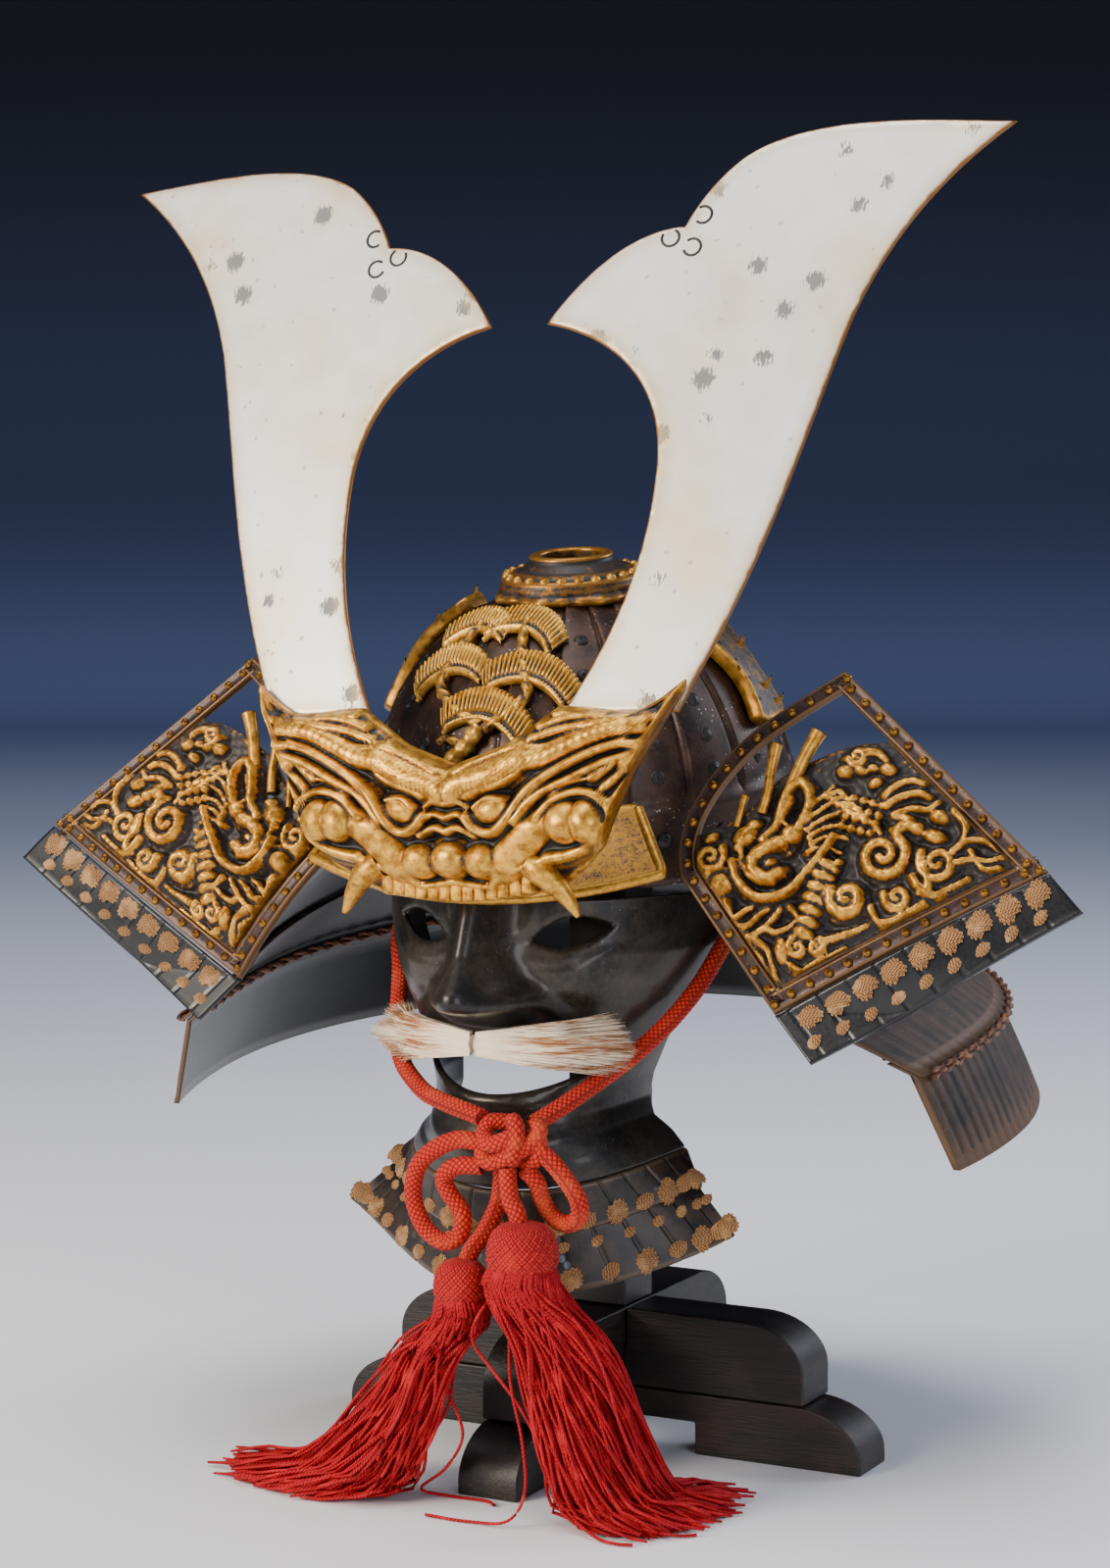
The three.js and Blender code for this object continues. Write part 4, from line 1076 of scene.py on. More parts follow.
@dataclass(frozen=True)
class Braided:
    """Cord braided of many threads, over and under each other along both diagonals, with painted shade in the
    sunken parts of the braid.
    """

    name: str
    dark: str
    light: str
    pitch: float  # of one crossing along the cord, in millimetres
    round_count: float  # crossings round the cord's girth in millimetres each
    faded: str

    def build(self) -> bpy.types.Material:
        """Makes the material, whose pattern follows the length and girth in the surface coordinates.

        Returns:
            The material.
        """
        shading = Shading(self.name)
        parts = shading.add("ShaderNodeSeparateXYZ", {"Vector": shading.surface})
        along = shading.maths("DIVIDE", parts.outputs[0], self.pitch * MM)
        across = shading.maths("DIVIDE", parts.outputs[1], self.round_count * MM)
        waves = []
        for sign in ("ADD", "SUBTRACT"):
            lean = shading.maths(sign, along, across)
            waves.append(shading.maths(
                "ABSOLUTE", shading.maths("SINE", shading.maths("MULTIPLY", lean, np.pi))
            ))
        weave = shading.maths("MULTIPLY", waves[0], waves[1])
        thread = shading.noise(0.35, 2, 0.5)
        tone = shading.maths(
            "ADD", shading.maths("MULTIPLY", weave, 0.75), shading.maths("MULTIPLY", thread, 0.25)
        )
        # painted shade: the colour is dark where the weave sinks between crossings and light on the raised
        # crossings, mixed with the threads' own grain
        colour = shading.blend(shading.step(tone, 0.1, 0.6), self.dark, self.light)
        colour = shading.blend(
            shading.maths("MULTIPLY", shading.step(shading.noise(16, 3), 0.48, 0.66), 0.6), colour,
            self.faded
        )
        shading.link(Base_Color=colour, Roughness=0.75, Specular_IOR_Level=0.25, Sheen_Weight=0.05)
        shading.bump(weave, 0.55, 0.8)
        shading.bump(thread, 0.1, 0.5)
        return shading.material


@dataclass(frozen=True)
class Twisted:
    """Threads of a few plies twisted together, with painted shade in the grooves between the plies."""

    name: str
    dark: str
    light: str
    pale: str
    turn: float  # length of one turn of the twist in millimetres
    girth: float = 3.0
    sheen: float = 0.4

    def build(self) -> bpy.types.Material:
        """Makes the material, whose twist follows the surface coordinates.

        Returns:
            The material.
        """
        shading = Shading(self.name)
        parts = shading.add("ShaderNodeSeparateXYZ", {"Vector": shading.surface})
        along = shading.maths("DIVIDE", parts.outputs[0], self.turn * MM)
        across = shading.maths("DIVIDE", parts.outputs[1], self.girth * MM)
        ply = shading.maths("SINE", shading.maths("MULTIPLY", shading.maths("ADD", along, across), 2 * np.pi))
        ply = shading.step(ply, -1, 1)
        # painted shade: the colour darkens into the groove between plies and is light on each ply's crown
        colour = shading.blend(ply, self.dark, self.light)
        lock = shading.noise(9, 3, 0.6)
        colour = shading.blend(
            shading.maths("MULTIPLY", shading.step(lock, 0.5, 0.68), 0.7), colour, self.pale
        )
        shading.link(Base_Color=colour, Roughness=0.7, Specular_IOR_Level=0.25, Sheen_Weight=self.sheen)
        shading.bump(ply, 0.18, 0.8)
        return shading.material


@dataclass(frozen=True)
class Haired:
    """Loose animal hair, pale at the root and streaked with brown further out."""

    name: str
    pale: str
    brown: str
    dark: str

    def build(self) -> bpy.types.Material:
        """Makes the material, whose streaks run across the face.

        Returns:
            The material.
        """
        shading = Shading(self.name)
        way = shading.stretched(shading.objects, (0.05, 0.08, 1))
        strand = shading.noise(0.8, 3, 0.6, way)
        lock = shading.noise(3.5, 2, 0.5, way)
        parts = shading.add("ShaderNodeSeparateXYZ", {"Vector": shading.surface})
        out = shading.step(parts.outputs[0], 4 * MM, 26 * MM)
        mixed = shading.maths(
            "ADD", shading.maths("MULTIPLY", strand, 0.6), shading.maths("MULTIPLY", lock, 0.4)
        )
        streak = shading.maths("MULTIPLY", shading.step(mixed, 0.44, 0.58), out)
        colour = shading.blend(streak, self.pale, self.brown)
        deep = shading.maths("MULTIPLY", shading.step(strand, 0.58, 0.72), out)
        colour = shading.blend(shading.maths("MULTIPLY", deep, 0.75), colour, self.dark)
        shading.link(Base_Color=colour, Roughness=0.55, Specular_IOR_Level=0.35, Sheen_Weight=0.15)
        return shading.material


@dataclass(frozen=True)
class Grained:
    """Stained wood with fine pores along the grain."""

    name: str
    dark: str
    light: str
    along: tuple[float, float, float]  # stretch of the grain, small along its length

    def build(self) -> bpy.types.Material:
        """Makes the material.

        Returns:
            The material.
        """
        shading = Shading(self.name)
        where = shading.stretched(shading.objects, self.along)
        bands = shading.noise(7, 4, 0.6, where)
        pores = shading.noise(0.9, 3, 0.6, where)
        tone = shading.maths(
            "ADD", shading.maths("MULTIPLY", bands, 0.6), shading.maths("MULTIPLY", pores, 0.4)
        )
        colour = shading.blend(shading.step(tone, 0.4, 0.66), self.dark, self.light)
        worn = shading.step(shading.noise(38, 3), 0.56, 0.72)
        colour = shading.blend(shading.maths("MULTIPLY", worn, 0.35), colour, "4a3128")
        shading.link(Base_Color=colour, Coat_Weight=0.12, Coat_Roughness=0.4)
        shading.link(Roughness=shading.maths("ADD", shading.maths("MULTIPLY", pores, 0.3), 0.32))
        shading.bump(shading.step(pores, 0.35, 0.6), 0.12, 0.5)
        return shading.material


@dataclass(frozen=True)
class PaintedShadeBackdrop:
    """Paper backdrop, white on the floor, with painted shade that darkens it the further it runs back and up.
    """

    name: str = "matt paper backdrop graded from white to near black"
    near: str = "f4f5f8"
    stops: tuple[tuple[float, float, str], ...] = (
        # where the next colour of painted shade starts and covers, in millimetres along the paper
        (300, 1300, "dfe4f0"),
        (1300, 2600, "c0cce8"),
        (2600, 4400, "8496c6"),
        (4400, 5050, "465273"),
        (5050, 5900, "202229"),
    )

    def build(self) -> bpy.types.Material:
        """Makes the material.

        Returns:
            The material, which reads the mesh attribute "run".
        """
        shading = Shading(self.name)
        run = shading.attribute("run")
        # painted shade: the paper's colour darkens stop by stop as it runs back and up, away from the lamps
        colour: object = self.near
        for start, end, hex_colour in self.stops:
            colour = shading.blend(shading.step(run, start, end), colour, hex_colour)
        shading.link(Base_Color=colour, Roughness=0.8)
        return shading.material


class Finish(Enum):
    """The finishes of the helmet, each made once."""

    # the bright colour of each DryBrushed finish is a painted highlight on the highest ridges
    GILT = DryBrushed(
        "cast lion crest, antique gold dry-brushed over black", "0b0807", "946118", "f0b648", -0.3, 0.1,
        0.9, 0.75
    )
    GILT_FIELD = DryBrushed(
        "cast relief, antique gold brushed over dark bronze", "1a1310", "946118", "ecb047", -0.04, 0.16,
        0.9, 0.75
    )
    GILT_PINE = DryBrushed(
        "pine branch, antique gold over black", "0d0a08", "a87522", "f0bb52", -0.2, 0.12, 0.6, 0.72
    )
    GILT_PAN = DryBrushed(
        "brim pan, gold powder speckled on black", "1d1208", "a8741e", "e0a843", 0.02, 0.3, 0.45, 0.72, 1.0
    )
    RIDGE = DryBrushed(
        "side ridge, gilt edges over black", "0f0c0a", "855a1d", "dda23c", -0.1, 0.3, 0.8, 0.75
    )
    BRONZE_CROWN = DryBrushed(
        "crown ring, dark bronze with gilt ridges", "1a130e", "8a5c20", "dba140", -0.04, 0.3, 0.8, 0.75
    )
    BOWL = Mottled(
        "riveted iron plates, brown-black patina", "241812", "4c3324", 12, 1.1, 0.42, 0.45, 0.1, "b5ada4",
        0.12, 2.0
    )
    RIVET_DARK = Mottled("blackened iron rivet heads", "0d0a09", "211815", 5, 0.8, 0.5, 0.1, 0.06)
    WING_FRAME = Mottled(
        "cast wing frame, purple-brown bronze", "251a18", "4a3530", 8, 0.9, 0.38, 0.4, 0.08, "8a6430", 0.15,
        1.6, "6f5030"
    )
    RIVET_GILT = Mottled("bronze rivet heads, gold rubbed", "5a3c1c", "b5802f", 2.2, 0.5, 0.32, 0.75, 0.04)
    LACQUER = Mottled("black lacquered iron lame", "0c0d0f", "1b1d21", 24, 1.0, 0.33, 0.1, 0.04, coat=0.15)
    LACQUER_RIBBED = Mottled(
        "ribbed lame, worn brown-black lacquer", "1a120c", "443022", 10, 1.2, 0.6, 0.0, 0.08, "86663f", 0.1,
        2.0, "5e442c"
    )
    THROAT = Mottled(
        "throat guard scales, black lacquer worn to brown", "121113", "3a2c21", 7.5, 0.8, 0.4, 0.15, 0.08,
        "4d5a66", 0.2, 6.0,
        "5a4a3a",
    )
    MASK = Mottled(
        "iron mask, smoked brown-black patina", "252423", "494239", 30, 2.0, 0.36, 0.6, 0.03, "77736c",
        0.06, 2.6, coat=0.12
    )
    SILVER = Silvered()
    # painted shade: the dark colour of CORD and KNIT fills the sunken parts of the braid
    CORD = Braided("red silk cord, round braid", "7a0d05", "d8301a", 2.3, 2.65, "d8572f")
    KNIT = Braided("tassel head of knotted red thread", "6a060a", "cf1a1c", 2.0, 2.0, "d42f22")
    # painted shade: the dark colour of TASSEL, LACING and LACE_BROWN fills the grooves between the plies
    TASSEL = Twisted("twisted red rayon tassel thread", "7a0610", "cf1020", "d8262c", 1.6, 3.0, 0.0)
    LACING = Twisted("beige flat braid lacing", "6a4526", "bd8c57", "cfa470", 1.3, 1.4, 0.12)
    LACE_BROWN = Twisted("brown lacing cord", "2b1710", "86502c", "a06a3e", 5.0, 6.0, 0.15)
    HAIR = Haired("horse hair, cream streaked with brown", "ffeed2", "bf7f45", "4a2a18")
    WOOD_X = Grained("stained hardwood, grain along X", "0d0908", "2a1c17", (0.06, 1, 1))
    WOOD_Y = Grained("stained hardwood, grain along Y", "0c0908", "281b16", (1, 0.06, 1))
    WOOD_Z = Grained("stained hardwood, grain upright", "0d0908", "271a15", (1, 1, 0.06))

    def material(self) -> bpy.types.Material:
        """Gives the material, made on first use.

        Returns:
            The material.
        """
        return bpy.data.materials.get(self.value.name) or self.value.build()


# ---------------------------------------------------------------------------- camera, light and floor


@dataclass(frozen=True)
class Studio:
    """Camera in front of the helmet's left side, soft lights, and a pale floor with painted shade where it
    runs back and up.
    """

    camera_at: tuple[float, float, float] = (561.7, -1252.6, 375.5)
    azimuth: float = 25.0  # degrees from straight ahead, towards the wearer's left
    pitch: float = 4.82  # degrees downwards
    lens: float = 79.9  # millimetres, on a sensor 36 mm along the picture's long side
    floor_size: float = 14000.0
    bend_at: float = 4200.0  # where the paper starts to curve up
    bend_radius: float = 800.0

    def build(self) -> None:
        """Makes the camera, the lights, the world and the floor."""
        camera = bpy.data.cameras.new("camera")
        camera.sensor_fit = "VERTICAL"
        camera.sensor_height = 36
        camera.lens = self.lens
        camera.clip_end = 30
        holder = bpy.data.objects.new("camera", camera)
        holder.location = np.array(self.camera_at) * MM
        holder.rotation_euler = (np.radians(90 - self.pitch), 0, np.radians(self.azimuth))
        bpy.context.scene.collection.objects.link(holder)
        bpy.context.scene.camera = holder
        self.light("key", (-0.95, -1.6, 0.85), 0.8, 44, "fff3e2")
        self.light("fill", (1.7, -1.5, 0.7), 1.0, 15, "eef2ff")
        self.light("top", (-0.1, -0.3, 1.9), 1.2, 24, "fbfaff")
        self.light("rim", (1.1, 1.2, 1.0), 0.8, 14, "e9efff")
        world = bpy.data.worlds.new("studio")
        world.use_nodes = True
        sky = world.node_tree.nodes["Background"]
        sky.inputs["Color"].default_value = linear("b9c2d8")
        sky.inputs["Strength"].default_value = 0.34
        bpy.context.scene.world = world
        self.floor()

    def light(
        self, name: str, at: tuple[float, float, float], size: float, power: float, colour: str
    ) -> None:
        """Adds a square soft light aimed at the mask.

        Args:
            name: Its name.
            at: Its place in metres.
            size: Length of its sides in metres.
            power: Watts.
            colour: Hex colour.
        """
        lamp = bpy.data.lights.new(name, "AREA")
        lamp.size, lamp.energy, lamp.color = size, power, linear(colour)[:3]
        holder = bpy.data.objects.new(name, lamp)
        holder.location = at
        aim = Vector((0.0, -0.05, 0.24)) - Vector(at)
        holder.rotation_euler = aim.to_track_quat("-Z", "Y").to_euler()
        bpy.context.scene.collection.objects.link(holder)

    def floor(self) -> None:
        """Adds the floor, which curves up into a backdrop and carries its painted shade along the paper."""
        across = np.linspace(-1, 1, 7) * self.floor_size / 2
        bend = np.linspace(0, np.pi / 2, 24)
        flat = np.array([-self.floor_size / 2, *np.arange(-200, self.bend_at, 200)])
        upright = self.bend_radius + np.array([60, 200, 500, 5200])
        depth = [
            *flat, *(self.bend_at + self.bend_radius * np.sin(bend)),
            *(0 * upright + self.bend_at + self.bend_radius)
        ]
        height = [*(0 * flat), *(self.bend_radius * (1 - np.cos(bend))), *upright]
        run = [
            *flat, *(self.bend_at + self.bend_radius * bend),
            *(self.bend_at + self.bend_radius * (np.pi / 2 - 1) + upright)
        ]
        x, y = np.meshgrid(across, depth, indexing="ij")
        z = np.broadcast_to(np.array(height, float), x.shape)
        lean = turned("z", self.azimuth)
        points = np.stack([x, y, z - 0.05], axis=-1) @ lean.T - CENTRING
        skin = sheet(points)
        mesh = bpy.data.meshes.new("floor")
        mesh.from_pydata(((skin.points + CENTRING) * MM).tolist(), [], skin.faces[0].tolist())
        mesh.polygons.foreach_set("use_smooth", [True] * len(mesh.polygons))
        shade = mesh.attributes.new("run", "FLOAT", "POINT")
        shade.data.foreach_set("value", np.tile(np.array(run), len(across)).astype(np.float32))
        # the backdrop's darkening is painted shade
        mesh.materials.append(PaintedShadeBackdrop().build())
        thing = bpy.data.objects.new("floor", mesh)
        bpy.context.scene.collection.objects.link(thing)


# ---------------------------------------------------------------------------- chin cord and tassels


def cord_ripple(along: Array, angle: Array) -> Array:
    """Gives a braided cord's swellings: crossings along both diagonals.

    Args:
        along: Millimetres along the cord.
        angle: Angle round it.

    Returns:
        Factor on the radius.
    """
    lean = angle * 8 / (2 * np.pi)
    weave = np.abs(np.sin(np.pi * (along / 2.3 + lean))) * np.abs(np.sin(np.pi * (along / 2.3 - lean)))
    return 0.95 + 0.1 * weave


@dataclass(frozen=True)
class Cords:
    """The chin cord, its bow and its two tassels, along the same routes as their CAD solids."""

    diameter: float = 6.7
    step: float = 0.72  # millimetres between rings
    sides: int = 20
    left_front: Outline = (
        (23, -111, 144.5), (30, -100.5, 150), (36, -91, 155.5), (43, -81, 162), (50, -71, 169.5),
        (57, -60, 179),
        (63, -49.5, 190),
    )
    loop_side: Outline = (
        (68, -40, 203), (71, -24, 218), (71, -6, 232), (66, 16, 240), (51, 39, 246), (27, 55, 250),
    )
    right_front: Outline = (
        (63, -49.5, 190), (58, -60, 181), (53, -71, 172), (48, -80, 165), (42, -87.5, 159),
        (34, -94.5, 154.5),
        (25, -101, 151), (14, -106.5, 149), (5, -110.5, 147.8), (-4, -113.6, 146.2),
    )
    bow_right: Outline = (
        (4.6, -114, 137), (-5, -115, 137.5), (-15, -115, 133), (-22.5, -114, 125.5), (-25, -112.5, 114),
        (-21, -111.5, 103), (-13, -111.5, 98), (-6.2, -111.5, 101.5), (-5, -112, 109.5), (-9.5, -113, 116.5),
        (-11.5, -114, 122.5), (-6, -115, 127.5), (4.5, -114.5, 128.5),
    )
    bow_left: Outline = (
        (27, -113.5, 136), (32.5, -114, 132), (37.5, -113, 126), (41.5, -110.5, 118), (40.5, -108, 111),
        (34.5, -106.5, 108), (28.5, -106.5, 111), (26, -109, 117.5), (25.5, -112.5, 124),
        (22.5, -115.5, 128.8),
    )
    tail_left: Outline = (
        (16, -117, 128.5), (17, -118.5, 123), (18.5, -119.5, 117.5), (21.2, -120, 113), (23, -120, 104),
        (23.5, -120, 94), (23.5, -120, 84),
    )
    tail_right: Outline = (
        (10, -110, 129), (9.5, -108.5, 121), (7.5, -108.5, 112), (3.5, -110.5, 103), (-0.6, -114.3, 95.4),
        (-2.5, -117.5, 86), (-2.5, -118, 76),
    )

    def build(self) -> None:
        """Makes the cords, the knot and the tassels."""
        heads = {side: self.tassel(side) for side in ("left", "right")}
        knot = self.knot()
        mirror = (-1, 1, 1)
        loop = np.array(self.loop_side, float)
        chin = np.vstack(
            [self.left_front, loop, [[0, 60, 251]], loop[::-1] * mirror, np.array(self.right_front) * mirror]
        )
        self.run("chin_cord", chin, "knot", [knot])
        self.run("bow_loop_left", self.bow_left, "knot", [])
        self.run("bow_loop_right", self.bow_right, "knot", [])
        self.run("cord_tail_left", self.tail_left, "fitting", heads["left"])
        self.run("cord_tail_right", self.tail_right, "fitting", heads["right"])
        self.stray_threads()

    def run(self, name: str, stops: Array, far_end: str, with_pieces: list[bpy.types.Object]) -> None:
        """Args:
            name: CAD node that it stands for.
            stops: Points of its route.
            far_end: What its far end is; not used.
            with_pieces: Pieces on it.
        """
        rough = curve_through(np.array(stops, float), 400)
        length = float(np.linalg.norm(np.diff(rough, axis=0), axis=1).sum())
        path = curve_through(np.array(stops, float), int(length / self.step))
        skin = tube(path, self.diameter / 2, self.sides, cord_ripple)
        thing = piece(name + "_braid", skin, Look(Finish.CORD.material(), "red_cord", (name,)))
        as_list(with_pieces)
        LOG.info("%s: %.0f mm of cord", name, length)

    def knot(self) -> bpy.types.Object:
        """Makes the knot of short turns of cord over one another.

        Returns:
            The knot.
        """
        turns = (
            ((-2, 3, 5), (-9.5, 0, 5), (-10.5, -3, 0), (-6, -6, -2.5), (1, -6.5, 0), (7, -4, 3)),
            ((9, 2, 6), (12, -1, 2.5), (9, -4, -2), (3, -6, -5.5), (-3, -4.5, -9), (-4, 0, -8)),
            ((-11, 1, -2), (-12, -2, -6.5), (-8, -4.5, -10), (-2, -4, -8.5), (4, -2.5, -5)),
            ((1, -2, 7), (4, -5, 5), (5, -7.5, 0), (3.5, -6.5, -6), (1, -3, -9)),
            ((2, 2, -9), (8, 0, -9.5), (12, -1.5, -6), (12, -1, -1), (8, 1, 2)),
        )
        middle = np.array((16.0, -113.0, 140.0))
        skins = []
        for stops in turns:
            path = curve_through(middle + np.array(stops, float) * 0.93, 46)
            skins.append(tube(path, 3.25, 18, cord_ripple))
        look = Look(Finish.CORD.material(), "red_cord", ("cord_knot",))
        return piece("cord_knot_turns", Skin.joined(skins), look)

    def tassel(self, side: str) -> list[bpy.types.Object]:
        """Makes one tassel: its knitted head and its skirt of threads.

        Args:
            side: "left" or "right", the wearer's.

        Returns:
            The head, which the tail of the cord runs into.
        """
        left = side == "left"
        x, y, bottom, radius, height = (
            (23.5, -120, 92.4, 13.2, 18.2) if left else (-2.5, -118, 78.4, 10.2, 15.6)
        )
        shares = np.array(
            [(0.0, 0.04), (0.72, 0.0), (0.93, 0.06), (1.0, 0.2), (1.0, 0.42), (0.95, 0.6), (0.84, 0.78),
             (0.62, 0.92),
             (0.3, 1.0), (0.0, 1.0)]
        )
        profile = resampled(shares * (radius, height), 54)
        profile[:, 0] = np.maximum(profile[:, 0], 0.05)
        knots_round = 26 if left else 20

        def knots(angle: Array, reach: Array) -> Array:
            row = np.arange(reach.size)[None, :] / 3.1
            lean = angle * knots_round / (2 * np.pi)
            pattern = np.abs(np.sin(np.pi * (lean + row / 2))) * np.abs(np.sin(np.pi * (lean - row / 2)))
            return 1 - 0.035 + 0.07 * pattern

        head = lathe(profile, 110, knots)
        head = Skin(head.points + (x, y, bottom), head.faces, head.uv)
        look = Look(Finish.KNIT.material(), "red_thread", (f"tassel_head_{side}",))
        top = piece(f"tassel_head_{side}_knitted", head, look)
        skirt = piece(
            f"tassel_skirt_{side}_threads",
            self.threads(side),
            Look(Finish.TASSEL.material(), "red_thread", (f"tassel_skirt_{side}",)),
        )
        LOG.info("%s has %d faces", skirt.name, len(skirt.data.polygons))
        return [top]

    def threads(self, side: str) -> Skin:
        """Lays out the threads of a skirt: each drops from the head, bends out and runs along the floor.

        A thread starts on a ring under the head, passes one of the places where the skirt bends, and ends
        near one of the tips, both taken between neighbours in a fan.

        Args:
            side: "left" or "right".

        Returns:
            The skin of all threads.
        """
        left = side == "left"
        chance = np.random.default_rng(41 if left else 17)
        head, radius, count = ((23.5, -120.0, 93.0), 11.6, 300) if left else ((-2.5, -118.0, 79.0), 8.9, 250)
        bends = (
            ((58, -102, 54), (60, -112, 46), (54, -121, 38), (44, -128, 33), (32, -127, 34))
            if left
            else ((-38, -112, 44), (-40, -118, 36), (-33, -124, 29), (-23, -126, 29), (-13, -121, 32))
        )
        tips = (
            ((80, -60), (88, -84), (84, -110), (70, -127), (48, -119))
            if left
            else ((-108, -92), (-103, -111), (-82, -126), (-56, -129), (-38, -113))
        )
        bend_line = curve_through(np.array(bends, float), 61)
        tip_line = curve_through(np.array(tips, float), 61)
        fan = np.clip(chance.beta(1.15, 1.15, count), 0.0, 1.0)
        layer = chance.random(count)
        at = fan * 60
        low = np.clip(np.floor(at).astype(int), 0, 59)
        part = (at - low)[:, None]
        bend = bend_line[low] * (1 - part) + bend_line[low + 1] * part
        tip = tip_line[low] * (1 - part) + tip_line[low + 1] * part
        chance.normal(0, 0.16, count)  # not used: it keeps the draws that follow as they are
        spread = np.where(layer > 0.45, 1.0, 0.75)[:, None]
        facing = np.linspace(0, 2 * np.pi, count, endpoint=False)[chance.permutation(count)]
        ring = np.stack([np.cos(facing), np.sin(facing)], axis=1) * radius * spread
        start = np.array(head) + np.concatenate([ring, np.full((count, 1), 1.5)], axis=1)
        shoulder = np.array(head) + np.concatenate([ring * 1.16, chance.normal(-8, 1.5, (count, 1))], axis=1)
        across = np.array([0.35, -0.9, 0.3]) * (9.0 if left else 8.0)
        bend = bend + (layer[:, None] - 0.35) * across + chance.normal(0, 2.0, (count, 3))
        bend = bend * 0.86 + shoulder * 0.14
        reach = 1 + chance.normal(0, 0.05, count)[:, None]
        root = np.array(head[:2])
        end_xy = root + (tip - root) * reach * 0.99 + chance.normal(0, 2.4, (count, 2))
        stack = 0.8 + 7.5 * layer**1.4
        end = np.concatenate([end_xy, (stack * 0.45 + 0.5)[:, None]], axis=1)
        land_xy = bend[:, :2] + (end_xy - bend[:, :2]) * 0.42 + chance.normal(0, 1.6, (count, 2))
        land = np.concatenate([land_xy, (stack + 6.5)[:, None]], axis=1)
        lie_xy = bend[:, :2] + (end_xy - bend[:, :2]) * 0.72 + chance.normal(0, 2.0, (count, 2))
        lie = np.concatenate([lie_xy, (stack + 1.2)[:, None]], axis=1)
        middle = shoulder * 0.45 + bend * 0.55 + (0, 0, 4)
        paths = np.stack(
            [curve_through(np.stack(stops), 21) for stops in zip(
                start, shoulder, middle, bend, land, lie, end
            )]
        )
        share = np.linspace(0, 1, 21)[None, :, None]
        wave = chance.random((count, 1, 3)) * 2 * np.pi
        swing = np.sin(
            share * np.array([13, 11, 9]) + wave
        ) * np.array([1.1, 1.1, 0.5]) * smooth(share, 0.08, 0.6)
        paths = paths + swing
        paths[..., 2] = np.maximum(paths[..., 2], 0.75)
        radii = np.full((count, 21), 0.68)
        radii[:, -1] = 0.45
        return tubes(paths, radii, 4)

    def stray_threads(self) -> None:
        """Lays single threads that have come out of the tassels, some of them on the floor."""
        routes = (
            (
                (18, -126, 88), (9, -127, 76), (6, -126, 66), (14, -126, 56), (26, -128, 44),
                (36, -131, 30), (43, -133, 12)
            ),
            ((-12, -121, 60), (-6, -121, 44), (-2, -118, 28), (-10, -116, 14), (-22, -113, 4),
             (-14, -108, 1), (2, -108, 1),
             (8, -112, 1)),
            (
                (20, -124, 72), (22, -127, 52), (28, -130, 32), (30, -132, 14), (24, -134, 3),
                (8, -134, 0.9), (-10, -133, 0.9)
            ),
            ((-58, -112, 12), (-72, -107, 6), (-84, -103, 2), (-94, -99, 1), (-103, -99, 1), (-109, -103, 1)),
            ((56, -127, 9), (70, -125, 4), (80, -119, 1.2), (86, -117, 0.9), (90, -114, 0.9)),
            ((44, -127, 8), (52, -131, 4), (60, -134, 1.2), (68, -136, 0.9), (74, -135, 0.9)),
        )
        paths = np.stack([curve_through(np.array(route, float), 60) for route in routes])
        skin = tubes(paths, np.full(paths.shape[:2], 0.6), 6)
        piece("tassel_stray_threads", skin, Look(Finish.TASSEL.material(), "red_thread"))


# ---------------------------------------------------------------------------- stand


